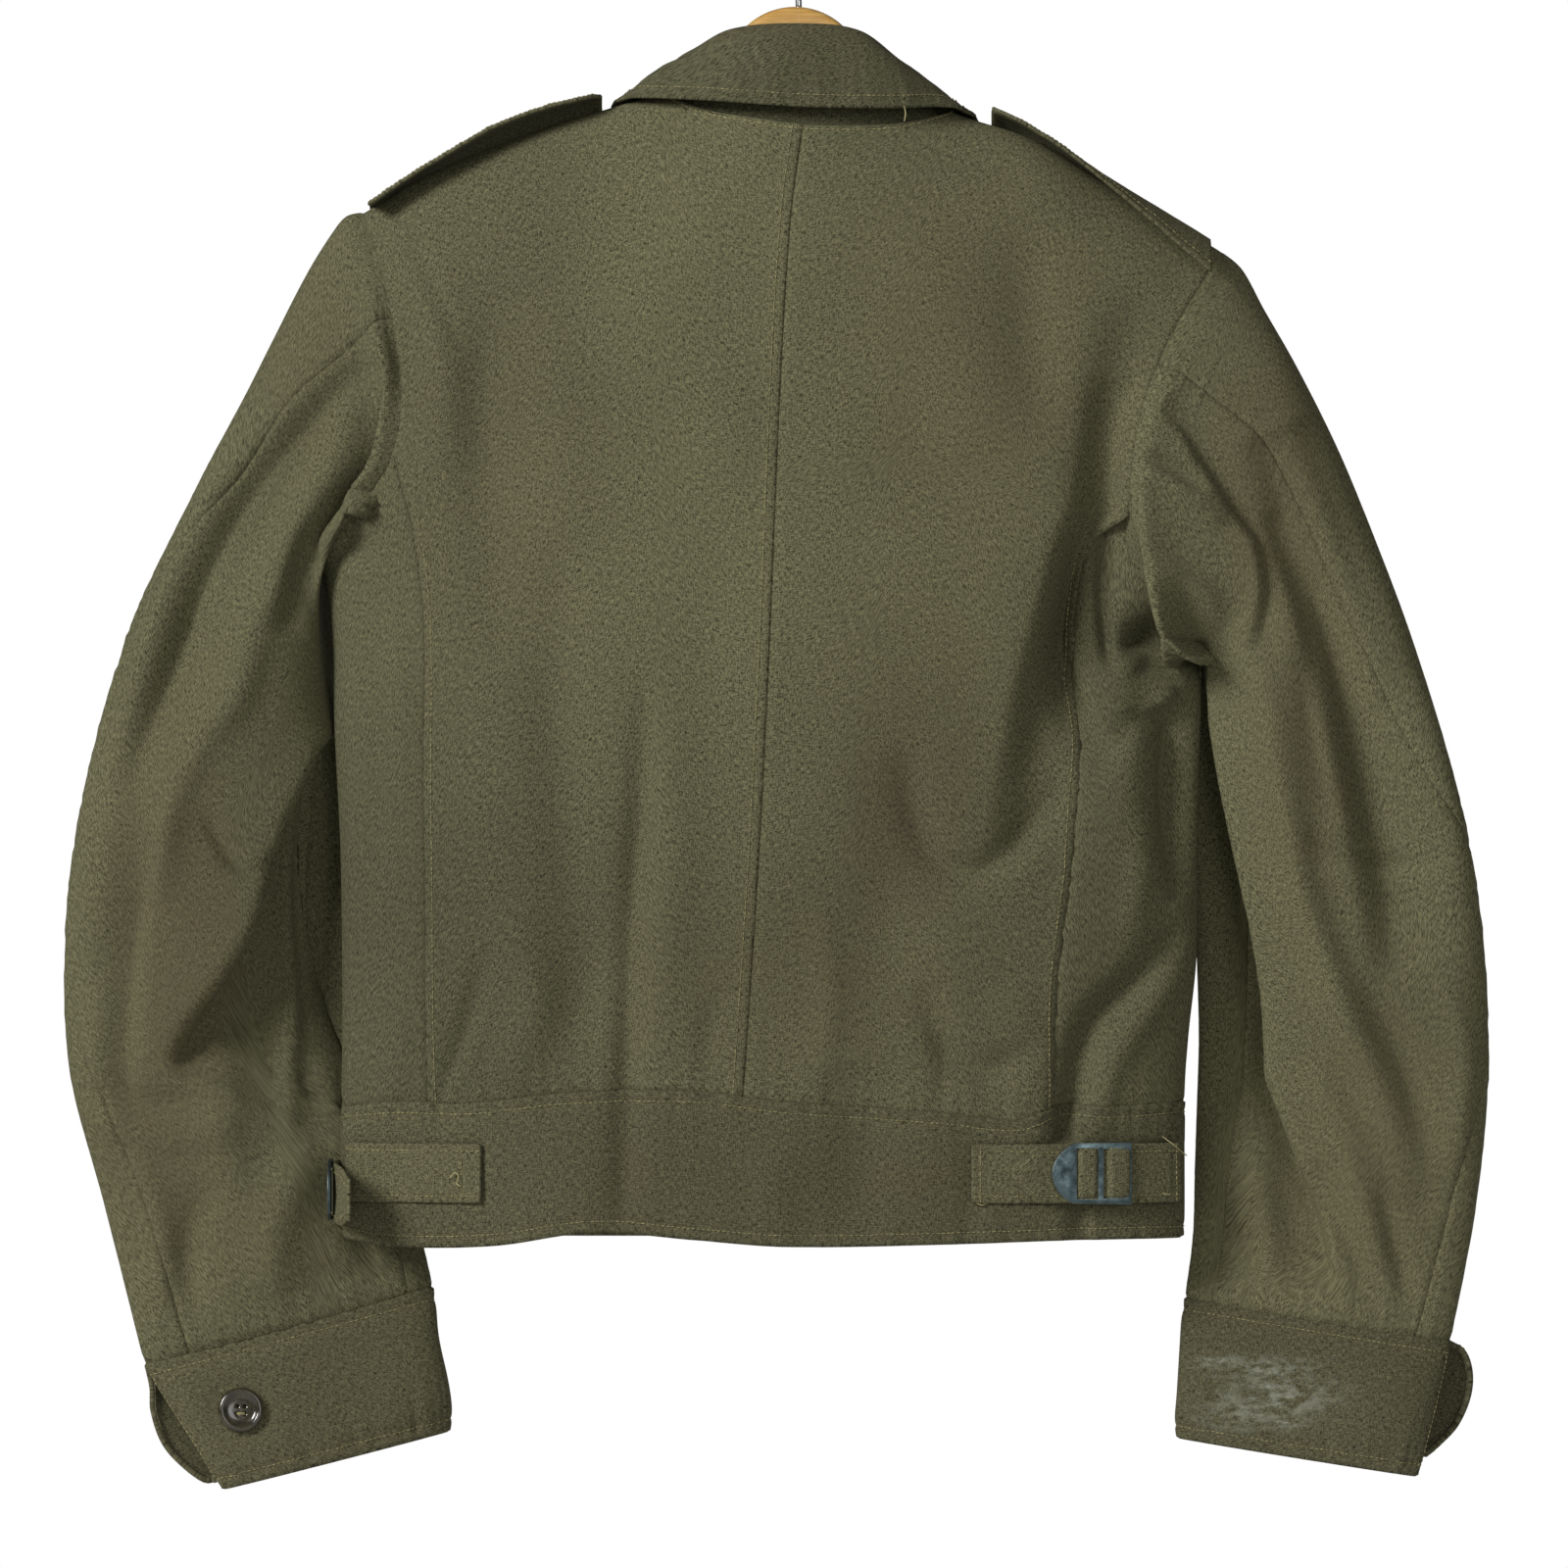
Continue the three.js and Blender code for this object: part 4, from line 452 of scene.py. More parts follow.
BACK_CREASES = (
    ([(152, -250), (150, -300), (135, -355), (119, -405), (110, -450), (102, -495)], 12, -15, 50, 1, 0),
    ([(114, -170), (119, -230), (130, -290)], 17, -4),
    ([(-196, -178), (-190, -196), (-178, -222), (-172, -240)], 5, -2.6),
    ([(-78, -400), (-80, -470), (-85, -540), (-88, -640), (-90, -700)], 7.5, -6),
    ([(-64, -430), (-66, -520), (-70, -600)], 14, 2.6),
    ([(-158, -540), (-168, -579), (-180, -619), (-186, -640)], 6, -3.6),
    ([(-160, -580), (-172, -606), (-184, -632)], 3.5, 2.4),
    ([(52, -440), (66, -492), (88, -503), (106, -494), (138, -456)], 8, -5),
    ([(62, -560), (76, -592), (96, -604), (122, -590)], 8, -5),
    ([(198, -530), (170, -560), (148, -584), (136, -640)], 8, -9),
    ([(196, -552), (174, -578), (158, -604), (152, -640)], 8, 3.4),
    ([(160, -326), (160, -353), (160.5, -367.5), (161.5, -384), (162.5, -402)], 3.2, -8),
    ([(153, -330), (150, -342), (147, -375), (146, -389.5), (149, -406), (153, -422), (159, -434),
      (168, -440)], 3.2, -9, 24, -1, 3.5),
    ([(165, -404), (175, -396.5), (186, -392), (197, -395), (205, -404)], 4.5, 4.5),
    ([(176, -424), (184, -417), (194, -411)], 4, 3.2),
    ([(160, -438), (172, -426), (186, -424), (200, -432)], 6, -3.6),
    ([(192, -408), (187, -450), (188, -520)], 6, -8, 30, 1, 0),
    ([(178, -470), (174, -500), (168, -540)], 8, 3),
    ([(-222, -380), (-214, -440), (-218, -520)], 7, -3),
    ([(-206, -360), (-204, -420), (-206, -480)], 7, 2.2),
    ([(-210, -560), (-204, -590), (-208, -625)], 6, 2),
    ([(-60, -180), (-90, -240), (-100, -330)], 26, 2),
    ([(-150, -200), (-160, -260), (-158, -330), (-150, -400)], 16, -5),
    ([(-128, -210), (-122, -280), (-120, -360)], 18, 3),
    ([(-120, -330), (-124, -420), (-116, -500), (-112, -590)], 15, -4.5),
    ([(60, -170), (76, -230), (84, -300)], 22, 2.2),
    ([(-30, -300), (-44, -380), (-40, -460)], 18, -1.6),
    ([(10, -520), (16, -570), (8, -618)], 8, 1.8),
    ([(-40, -560), (-46, -590), (-44, -625)], 7, -2),
    ([(70, -585), (74, -606), (70, -626)], 6, -1.8),
    ([(143, -606), (143, -626), (144, -650), (148, -676), (150, -692), (151, -706)], 2.2, -5.5, 15, -1, 1.2),
    ([(132, -618), (133, -640), (134, -662)], 5, -3),
    ([(-10, -640), (-14, -664), (-12, -700)], 10, 1.6),
    ([(84, -630), (88, -660), (84, -700)], 8, -1.6),
    ([(-196, -640), (-200, -664), (-198, -700)], 8, 1.6),
    ([(20, -130), (70, -136), (118, -150)], 7, -1.6),
    ([(-20, -132), (-70, -134), (-120, -146)], 8, -1.2),
)
FRONT_FOLDS = (
    ([(-190, -220), (-160, -280), (-150, -330)], 14, -5),
    ([(186, -240), (160, -300), (150, -345)], 14, -5),
    ([(-110, -480), (-100, -560), (-104, -612)], 16, 4),
    ([(90, -480), (84, -560), (88, -612)], 16, 4),
)
FRONT_CREASES = (
    ([(-205, -400), (-196, -480), (-200, -560)], 12, -4),
    ([(170, -420), (164, -500), (168, -580)], 12, -4),
    ([(-60, -500), (-52, -560), (-58, -640)], 10, -3),
    ([(40, -520), (44, -570), (38, -640)], 10, -3),
    ([(-160, -560), (-150, -590), (-156, -640)], 8, 3),
    ([(130, -560), (138, -590), (130, -640)], 8, 3),
    ([(-200, -360), (-180, -380), (-150, -384)], 8, 2.5),
    ([(180, -380), (160, -392), (130, -396)], 8, 2.5),
    ([(-150, -470), (-130, -500), (-96, -506)], 9, -2.4),
    ([(140, -470), (122, -500), (90, -508)], 9, -2.4),
)
FOLD_STEPS = 18
LIP_REACH = 9


def fold_moves(folds, x, z):
    """How far a set of folds moves the cloth at x, z: out of it, and in x and z where a lip hangs over."""
    height = np.zeros(np.shape(x))
    slide = np.zeros(np.shape(x) + (2,))
    for path, wide, high, *ledge in folds:
        points = route(path)(np.linspace(0, 1, FOLD_STEPS))
        best = np.full(np.shape(x), np.inf)
        share = np.zeros(np.shape(x))
        across = np.zeros(np.shape(x))
        aside = np.zeros(np.shape(x) + (2,))
        for i, ((ax, az), (bx, bz)) in enumerate(zip(points[:-1], points[1:])):
            dx, dz = bx - ax, bz - az
            t = np.clip(((x - ax) * dx + (z - az) * dz) / (dx * dx + dz * dz), 0, 1)
            d = np.hypot(x - ax - dx * t, z - az - dz * t)
            nearer = d < best
            best = np.where(nearer, d, best)
            share = np.where(nearer, (i + t) / (FOLD_STEPS - 1), share)
            across = np.where(nearer, d * np.sign(dx * (z - az) - dz * (x - ax)), across)
            aside[nearer] = np.array([-dz, dx]) / math.hypot(dx, dz)
        fade = np.sin(np.pi * np.clip(share, 0, 1)) ** 0.6
        if not ledge:
            height += high * fade * np.exp(-((best / wide) ** 2))
            continue
        reach, side, lean = ledge
        beyond = across * side
        height += high * fade * ease((beyond + wide) / (2 * wide)) * (1 - ease((beyond - wide) / reach))
        slide += (side * lean * fade * np.exp(-(((beyond + wide) / LIP_REACH) ** 2)))[..., None] * aside
    return height, slide


def ripples(x, z, seed, size=1.0):
    """A small uneven rise and fall, as of cloth that has hung for years. Its waves and seed are fixed."""
    rng = np.random.default_rng(seed)
    total = np.zeros(np.shape(x))
    for _ in range(14):
        length = rng.uniform(26, 120)
        lean = rng.normal(0, 0.7)
        phase = rng.uniform(0, 2 * math.pi)
        turn = 2 * math.pi / length
        total += length / 90 * np.sin(turn * (x * math.cos(lean) + z * math.sin(lean)) + phase)
    return total * 0.16 * size


def fullness(side, x, z):
    """How far the cloth stands from the hanger's plane, squared, so that it closes at ridge and sides."""
    depth = back_depth(z) if side == NEAR else front_depth(z)
    top = 1 - np.exp(-(ridge_z(x) - z) / RIDGE_ROUND)
    left = 1 - np.exp(-(x - side_left_x(z)) / SIDE_ROUND)
    right = 1 - np.exp(-(side_right_x(z) - x) / SIDE_ROUND)
    return depth**2 * top * left * right


def body(side, x, z, lift=0.0, creased=1.0):
    """Points of the body's cloth at x, z, moved out of it by lift. creased is how much the creases count."""
    x, z = np.broadcast_arrays(np.asarray(x, float), np.asarray(z, float))
    y = side * np.sqrt(np.maximum(fullness(side, x, z), HALF_GAP**2))
    qx = fullness(side, x + 0.5, z) - fullness(side, x - 0.5, z)
    qz = fullness(side, x, z + 0.5) - fullness(side, x, z - 0.5)
    normal = np.stack([-2 * y * 2 * BOW_RISE * x / BOW_REACH**2 - qx, 2 * y, -qz], axis=-1)
    normal /= np.linalg.norm(normal, axis=-1, keepdims=True)
    inside = ease((np.abs(y) - 4) / 14)
    height, _ = fold_moves(BACK_FOLDS if side == NEAR else FRONT_FOLDS, x, z)
    point = np.stack([x, mid_y(x) + y, z], axis=-1)
    if np.any(creased):
        creases, slide = fold_moves(BACK_CREASES if side == NEAR else FRONT_CREASES, x, z)
        height = height + (creases + ripples(x, z, 3 + side)) * creased
        point[..., [0, 2]] += slide * (inside * creased)[..., None]
    return point + normal * (np.asarray(lift) + height * inside)[..., None]


def between(top, right, bottom, left):
    """A grid of x, z inside four edges."""
    def shares(edge):
        run = np.concatenate(([0], np.cumsum(np.linalg.norm(np.diff(edge, axis=0), axis=1))))
        return run / run[-1]

    u = ((shares(top) + shares(bottom)) / 2)[None, :, None]
    v = ((shares(left) + shares(right)) / 2)[:, None, None]
    corners = (1 - v) * lerp(top[0], top[-1], u) + v * lerp(bottom[0], bottom[-1], u)
    return lerp(left[:, None], right[:, None], u) + lerp(top[None], bottom[None], v) - corners


BACKWARD, FORWARD, UPWARD, LEFTWARD = (0, -1, 0), (0, 1, 0), (0, 0, 1), (-1, 0, 0)
cloth = {}


def wall(name, grid, thick, marks=None, roll=0.45, outside=BACKWARD, seen=(0.5, 0.5)):
    """A closed shell of wool round a grid of points in millimetres, with turned edges and its own UV map.
    outside is roughly where its outer side faces at the place seen, in shares of its rows and columns."""
    rows, cols = grid.shape[:2]
    normal = np.cross(np.gradient(grid, axis=1), np.gradient(grid, axis=0))
    normal /= np.maximum(np.linalg.norm(normal, axis=-1, keepdims=True), 1e-9)
    if normal[int(seen[0] * (rows - 1)), int(seen[1] * (cols - 1))].dot(outside) < 0:
        normal = -normal
    outer = grid + normal * thick / 2
    inner = grid - normal * thick / 2
    ring = [(0, i) for i in range(cols)] + [(j, cols - 1) for j in range(1, rows)]
    ring += [(rows - 1, i) for i in range(cols - 2, -1, -1)] + [(j, 0) for j in range(rows - 2, 0, -1)]
    j, i = np.array(ring).T
    out = grid[j, i] - grid[np.clip(j, 1, rows - 2), np.clip(i, 1, cols - 2)]
    out /= np.maximum(np.linalg.norm(out, axis=-1, keepdims=True), 1e-9)
    edge = grid[j, i] + out * thick * roll
    flat = np.arange(rows * cols).reshape(rows, cols)
    quads = np.stack([flat[:-1, :-1], flat[:-1, 1:], flat[1:, 1:], flat[1:, :-1]], axis=-1).reshape(-1, 4)
    count = rows * cols
    rim = flat[j, i]
    rim_next = np.roll(rim, -1)
    turned = 2 * count + np.arange(len(ring))
    turned_next = np.roll(turned, -1)
    faces = np.concatenate([
        quads,
        quads[:, ::-1] + count,
        np.stack([rim_next, rim, turned, turned_next], axis=-1),
        np.stack([turned_next, turned, rim + count, rim_next + count], axis=-1),
    ])
    points = np.concatenate([outer.reshape(-1, 3), inner.reshape(-1, 3), edge])
    piece = new_piece(name, points, faces.tolist(), wool)
    step_u = np.linalg.norm(np.diff(grid, axis=1), axis=-1)
    step_v = np.linalg.norm(np.diff(grid, axis=0), axis=-1)
    u = np.concatenate([np.zeros((rows, 1)), np.cumsum(step_u, axis=1)], axis=1) * MM
    v = np.concatenate([np.zeros((1, cols)), np.cumsum(step_v, axis=0)], axis=0) * MM
    uv = np.stack([u, v], axis=-1)
    uv = np.concatenate([uv.reshape(-1, 2), uv.reshape(-1, 2), uv[j, i]])
    corners = np.zeros(len(piece.data.loops), np.int32)
    piece.data.loops.foreach_get("vertex_index", corners)
    layer = piece.data.uv_layers.new(name="cloth")
    layer.data.foreach_set("uv", uv[corners].astype(np.float32).ravel())
    # fade, stain and scuff are marks in the cloth; dull is painted shade, on the trims partly darker cloth.
    for key in ("fade", "dull", "stain", "scuff"):
        values = np.broadcast_to((marks or {}).get(key, 0.0), (rows, cols))
        values = np.concatenate([values.ravel(), values.ravel(), values[j, i]])
        piece.data.attributes.new(key, "FLOAT", "POINT").data.foreach_set("value", values.astype(np.float32))
    cloth[name] = (outer, normal)
    area = np.cross(grid[1:, 1:] - grid[:-1, :-1], grid[1:, :-1] - grid[:-1, 1:])
    piece["cut"] = [float(u.max()), float(v.max()), float(np.linalg.norm(area, axis=-1).sum() / 2 * MM * MM)]
    return piece


def sewn(piece, *nodes):
    """Fastens a cloth piece to the body in its nodes' place, and drops the note of the size it was cut from.
    """
    del piece["cut"]
    fastened(piece, "wool", *nodes)
    return piece


# Armholes. Each is one closed edge, from the shoulder point down the back to the armpit and up the front,
# counted in degrees: 0 at the shoulder, 180 at the armpit, and the back half comes first.
ARMHOLES = {
    "left": {
        "near": [
            (-222, -167.5), (-211.5, -199.5), (-205.5, -230), (-202, -262), (-206.5, -290), (-219.5, -312),
            (-234, -328.5), (-243.5, -347.5),
        ],
        "far": [
            (-222, -167.5), (-208, -200), (-199, -235), (-197, -265), (-204, -293), (-217, -316),
            (-232, -333), (-243.5, -347.5),
        ],
        "hind": 0.29,
        "side_back": 0.65,
    },
    "right": {
        "near": [
            (215, -187), (206, -202.5), (193.5, -223), (181, -249), (172.5, -276), (169, -300), (170, -322),
            (179, -347), (192, -367), (206.5, -386),
        ],
        "far": [
            (215, -187), (203, -215), (191, -245), (185, -275), (186, -305), (191, -335), (198, -362),
            (206.5, -386),
        ],
        "hind": 0.3,
        "side_back": 0.61,
    },
}


class Armhole:
    """One armhole's edge, with its seam places."""

    def __init__(self, key):
        shape = ARMHOLES[key]
        self.out = -1 if key == "left" else 1
        self.near = route(shape["near"])
        self.far = route(shape["far"])
        self.hind = math.degrees(math.acos(1 - 2 * shape["hind"]))
        self.side_back = math.degrees(math.acos(1 - 2 * shape["side_back"]))

    def plan(self, degrees):
        degrees = np.asarray(degrees, float)
        share = (1 - np.cos(np.radians(degrees))) / 2
        return np.where((degrees <= 180)[..., None], self.near(share), self.far(share))

    def at(self, degrees):
        degrees = np.asarray(degrees, float) % 360
        plan = self.plan(degrees)
        x, z = plan[..., 0], plan[..., 1]
        back, front = body(NEAR, x, z, 0, 0), body(FAR, x, z, 0, 0)
        point = np.where((degrees <= 180)[..., None], back, front)
        rim = np.abs((degrees + 90) % 180 - 90) < 1e-6
        point[..., 1] = np.where(rim, mid_y(x), point[..., 1])
        return point


armholes = {key: Armhole(key) for key in ARMHOLES}

# Back. Two panels of serge, cut with the grain down the spine and joined by the centre-back seam, where the
# left one laps slightly over the right. Their outer edges run from the armhole down the side-back seams, and
# the band takes their lower edge.
BACK_NECK = [(-70, -106.5), (-51, -114.5), (-28, -119.5), (1.5, -124), (32, -124), (55, -122), (78, -116.5)]
CENTRE_BACK = [(1.5, -124), (-4.5, -170), (-10, -258), (-15, -378), (-21, -498), (-29, -618.5)]
SIDE_BACK = {
    "left": [(-206.5, -290), (-197, -325), (-190.5, -372), (-190.5, -440), (-190, -530), (-189, -622)],
    "right": [
        (170, -320), (155, -336), (149.5, -370), (146, -434), (139, -500), (131.5, -558), (129.5, -624),
    ],
}
BAND_TOP = [
    (-240, -625), (-207, -621), (-169, -621.5), (-118, -616), (-54, -615), (-7, -620.5), (72, -626),
    (111, -629.5), (132, -622.5), (163, -623), (205, -620),
]
BAND_BOTTOM = [
    (-240, -688), (-209, -693), (-156, -692.5), (-105, -685.5), (-54, -689), (-7, -692.5), (72, -691.5),
    (141, -689.5), (205, -689),
]
band_top = column(BAND_TOP, 0, 1)
band_bottom = column(BAND_BOTTOM, 0, 1)
centre_back = route(CENTRE_BACK)
side_back = {key: route(path) for key, path in SIDE_BACK.items()}
neck_steps = np.linalg.norm(np.diff(BACK_NECK, axis=0), axis=1)
NECK_MIDDLE = neck_steps[:BACK_NECK.index(CENTRE_BACK[0])].sum() / neck_steps.sum()
HIND_ROWS, ARM_ROWS, LOWER_ROWS = 34, 26, 110
SHOULDER_COLS, NECK_COLS, SIDE_COLS = 58, 28, 34
CREASE_START = 8
CENTRE_LAP, CENTRE_LAP_WIDE = 0.5, 4


def blob(x, z, cx, cz, rx, rz):
    """1 in the middle of a soft-edged oval patch, 0 outside it."""
    return np.exp(-(((x - cx) / rx) ** 2) - ((z - cz) / rz) ** 2)


def seam_dip(distance, deep=0.9, wide=2.2):
    """Cloth is pulled down beside a seam."""
    return -deep * np.exp(-((distance / wide) ** 2))


def seam_swell(distance, high=0.3):
    """A little way off a pressed seam the cloth rises again."""
    return high * np.exp(-(((distance - 4.6) / 2.6) ** 2))


def seam_puckers(distance_along, distance_off, seed, high=0.35, reach=9):
    """Short creases that run out of a seam where the thread draws it up."""
    rng = np.random.default_rng(seed)
    waves = 0
    for length in (7.5, 11, 17, 26):
        strength = rng.uniform(0.4, 1)
        waves = waves + strength * np.sin(2 * math.pi * distance_along / length + rng.uniform(0, 6))
    return high * waves * np.exp(-distance_off / reach)


def back_marks_and_painted_shade(x, z):
    # dull is painted shade on the left side, in the right armpit's hollow and on the shadowed strip beside
    # the right side-back seam, and it also darkens the cloth towards the bottom.
    dull = 0.5 * ease((-70 - x) / 90) + 0.3 * blob(x, z, 180, -330, 40, 120)
    dull = dull + 0.5 * blob(x, z, 182, -392, 26, 30)
    dull += 0.5 * ease((-330 - z) / 220) + 0.45 * blob(x, z, 140, -400, 22, 60)
    fade = 0.35 * blob(x, z, 100, -240, 70, 90) + 0.2 * blob(x, z, -150, -300, 50, 120)
    stain = 0.2 * blob(x, z, 57, -488, 22, 26) + 0.15 * blob(x, z, 52, -456, 16, 22)
    return {
        "dull": np.clip(dull, 0, 1),
        "fade": fade + 0.3 * blob(x, z, 20, -560, 120, 60) + 0.3 * blob(x, z, 60, -430, 50, 60),
        "stain": stain + 0.1 * blob(x, z, 66, -512, 14, 14) + 0.16 * blob(x, z, 50, -476, 34, 52),
    }


def from_armhole(x, z, rows, side=0):
    """1 on the cloth, easing to 0 beside the armhole that edges its first rows, where the sleeve is sewn."""
    edge_x, edge_z = (x[:, :1], z[:, :1]) if side == 0 else (x[:1], z[:1])
    off = ease(np.hypot(x - edge_x, z - edge_z) / CREASE_START)
    if side == 0:
        off[rows:] = lerp(off[rows:], 1, ease((np.arange(len(x) - rows) + 1) / 8)[:, None])
    return off


def back_panel(key):
    left = key == "left"
    arm = armholes[key]
    angles = np.concatenate([
        np.linspace(0, arm.hind, HIND_ROWS),
        np.linspace(arm.hind, arm.side_back, ARM_ROWS)[1:],
    ])
    lower = np.linspace(0, 1, LOWER_ROWS + 1)[1:]
    outer = np.concatenate([arm.plan(angles), side_back[key](lower)])
    centre_shares = np.concatenate([0.34 * (angles / arm.side_back) ** 1.7, lerp(0.34, 1, lower)])
    centre = centre_back(centre_shares)
    neck_point = BACK_NECK[0 if left else -1]
    ridge_x = np.linspace(outer[0, 0], neck_point[0], SHOULDER_COLS)
    ridge = np.stack([ridge_x, ridge_z(ridge_x)], axis=-1)
    neck = route(BACK_NECK)(np.linspace(0 if left else 1, NECK_MIDDLE, NECK_COLS))
    top = np.concatenate([ridge, neck[1:]])
    top[-1] = CENTRE_BACK[0]
    xs = np.linspace(SIDE_BACK[key][-1][0], CENTRE_BACK[-1][0], len(top))
    bottom = np.stack([xs, band_top(xs) + HALF_GAP], axis=-1)
    outer[-1], centre[-1] = bottom[0], bottom[-1]
    plan = between(top, centre, bottom, outer)
    x, z = plan[..., 0], plan[..., 1]
    inward = 1 if left else -1
    x[:, 0] += inward * HALF_GAP
    x[:, -1] -= inward * HALF_GAP
    from_centre = np.abs(x - column(CENTRE_BACK, 1, 0)(z))
    seam_start = SIDE_BACK[key][0][1]
    from_side = np.abs(x - column(SIDE_BACK[key], 1, 0)(np.minimum(z, seam_start)))
    from_band = z - band_top(x)
    lap = CENTRE_LAP if left else -CENTRE_LAP
    lift = lap * np.exp(-((from_centre / CENTRE_LAP_WIDE) ** 2)) + seam_swell(from_centre)
    lift += np.where(z < seam_start, seam_dip(from_side, 0.7, 1.4) + seam_swell(from_side, 0.45), 0)
    lift += seam_dip(from_band, 0.8)
    lift += seam_puckers(z, from_centre, 11, 0.16) + seam_puckers(z, from_side, 12, 0.2)
    lift += seam_puckers(x, from_band, 13, 0.28, 14)
    rows = len(angles)
    grid = body(NEAR, x, z, lift, from_armhole(x, z, rows))
    grid[:rows, 0] = arm.at(angles) - [arm.out * HALF_GAP, 0, 0]
    return sewn(wall("back_panel_" + key, grid, CLOTH, back_marks_and_painted_shade(x, z)), "back_" + key)


for key in ARMHOLES:
    back_panel(key)

# Side panels. A narrow panel each side, from the side-back seam round to the side edge under the armhole.
# The right one has dropped into a soft pouch below the armpit, where the sleeve drags on it.
ARMPIT_HOLE = {
    # x, z, half width, half height, depth
    "left": (-226, -338, 12, 8, -4),
    "right": (184, -388, 17, 14, -21),
}


def side_panel(key):
    left = key == "left"
    arm = armholes[key]
    side_x = side_left_x if left else side_right_x
    angles = np.linspace(180, arm.side_back, SIDE_COLS)
    top = arm.plan(angles)
    hem_edge = float(side_x(BAND_TOP[0][1] if left else BAND_TOP[-1][1]))
    xs = lerp(hem_edge, SIDE_BACK[key][-1][0], np.linspace(0, 1, SIDE_COLS) ** 1.7)
    bottom = np.stack([xs, band_top(xs) + HALF_GAP], axis=-1)
    lower = np.concatenate([np.linspace(0, 0.25, 48)[:-1], np.linspace(0.25, 1, LOWER_ROWS - 20)])
    edge_z = lerp(top[0, 1], bottom[0, 1], lower)
    edge = np.stack([side_x(edge_z), edge_z], axis=-1)
    inner = side_back[key](lower)
    inner[0], inner[-1] = top[-1], bottom[-1]
    plan = between(top, inner, bottom, edge)
    x, z = plan[..., 0], plan[..., 1]
    inward = 1 if left else -1
    x[:, -1] -= inward * HALF_GAP
    from_side = np.abs(x - column(SIDE_BACK[key], 1, 0)(z))
    from_band = z - band_top(x)
    cx, cz, rx, rz, deep = ARMPIT_HOLE[key]
    free = from_armhole(x, z, 0, 1)
    lift = seam_dip(from_side) + seam_dip(from_band, 0.8) + deep * blob(x, z, cx, cz, rx, rz) * free
    lift += seam_puckers(z, from_side, 14, 0.2) + seam_puckers(x, from_band, 15, 0.28, 14)
    grid = body(NEAR, x, z, lift, free)
    grid[0] = arm.at(angles) - [arm.out * HALF_GAP, 0, 0]
    return sewn(wall("side_panel_" + key, grid, CLOTH, back_marks_and_painted_shade(x, z)), "side_" + key)


for key in ARMHOLES:
    side_panel(key)

# Fronts. The left one laps over the right with a hidden fly. Above it both open in a V along the roll line
# of the lapels. None of this shows in the photograph, so it is kept plain.
FRONT_EDGE = {
    "left": [
        (-70, -106.5), (-63, -128), (-52, -160), (-38, -205), (-20, -260), (-2, -312), (7, -345), (5, -400),
        (1, -520), (-2, -621),
    ],
    "right": [
        (78, -116.5), (71, -138), (59, -170), (42, -215), (20, -270), (-2, -322), (-12, -345), (-17, -400),
        (-28, -520), (-36, -621),
    ],
}
FRONT_BAND_TOP, FRONT_BAND_BOTTOM = -621, -689
FLY_WIDTH = 42
FLY_LEAD, FLY_RAMP, FLY_TOP, FLY_OVER = 1.8, 0.5, -275, 28
FRONT_COLS, FRONT_ROWS = 70, 76
front_shares = lerp(np.linspace(0, 1, FRONT_COLS), np.linspace(0, 1, FRONT_COLS) ** 2, 0.7)


def front_lift(key, x, z):
    """The left front is moved out where it lies over the right one."""
    if key != "left":
        return np.zeros(np.shape(x))
    edge_x = column(FRONT_EDGE["left"], 1, 0)(np.maximum(z, FRONT_BAND_BOTTOM))
    lapped = ease((x - (edge_x - FLY_WIDTH * FLY_LEAD)) / (FLY_WIDTH * FLY_RAMP))
    return (CLOTH + OVER_GAP) * lapped * ease((FLY_TOP - z) / FLY_OVER)


def front_panel(key):
    arm = armholes[key]
    side_x = side_left_x if key == "left" else side_right_x
    angles = np.linspace(360, 180, FRONT_ROWS)
    lower = np.linspace(0, 1, FRONT_ROWS)[1:]
    arm_edge = arm.plan(np.where(angles == 360, 0, angles))
    bottom_z = FRONT_BAND_TOP + HALF_GAP
    edge_z = lerp(arm_edge[-1, 1], bottom_z, lower)
    outer = np.concatenate([arm_edge, np.stack([side_x(edge_z), edge_z], axis=-1)])
    shares = np.concatenate([0.48 * ((360 - angles) / 180) ** 1.7, lerp(0.48, 1, lower)])
    centre = route(FRONT_EDGE[key])(shares)
    xs = lerp(outer[0, 0], FRONT_EDGE[key][0][0], front_shares)
    top = np.stack([xs, ridge_z(xs)], axis=-1)
    hem_x = lerp(outer[-1, 0], centre[-1, 0], front_shares)
    bottom = np.stack([hem_x, np.full(FRONT_COLS, bottom_z)], axis=-1)
    centre[-1], outer[-1] = bottom[-1], bottom[0]
    plan = between(top, centre, bottom, outer)
    x, z = plan[..., 0], plan[..., 1]
    from_band = z - FRONT_BAND_TOP
    lift = front_lift(key, x, z) + seam_dip(from_band, 0.8) + seam_puckers(x, from_band, 16, 0.6, 16)
    grid = body(FAR, x, z, lift, from_armhole(x, z, FRONT_ROWS))
    grid[:FRONT_ROWS, 0] = arm.at(angles) - [arm.out * HALF_GAP, 0, 0]
    marks = {"fade": 0.3 * blob(x, z, 0, -400, 120, 150)}
    return sewn(wall("front_panel_" + key, grid, CLOTH, marks, outside=FORWARD), "front_" + key)


for key in ARMHOLES:
    front_panel(key)

# Waistband. A straight band of two layers, topstitched along both edges, which draws the blouse in.
# It bulges and puckers between the tabs, and has slipped in a step behind the right buckle.
BAND_ROWS, BACK_BAND_COLS, FRONT_BAND_COLS = 46, 250, 90
BAND_WIDTH = 70
TAB_MIDDLE = -656.5
TAB_SPANS = ((88, 190), (-228, -161.5))
STITCH_SHARE, STITCH_WIDE = 0.07, 0.03


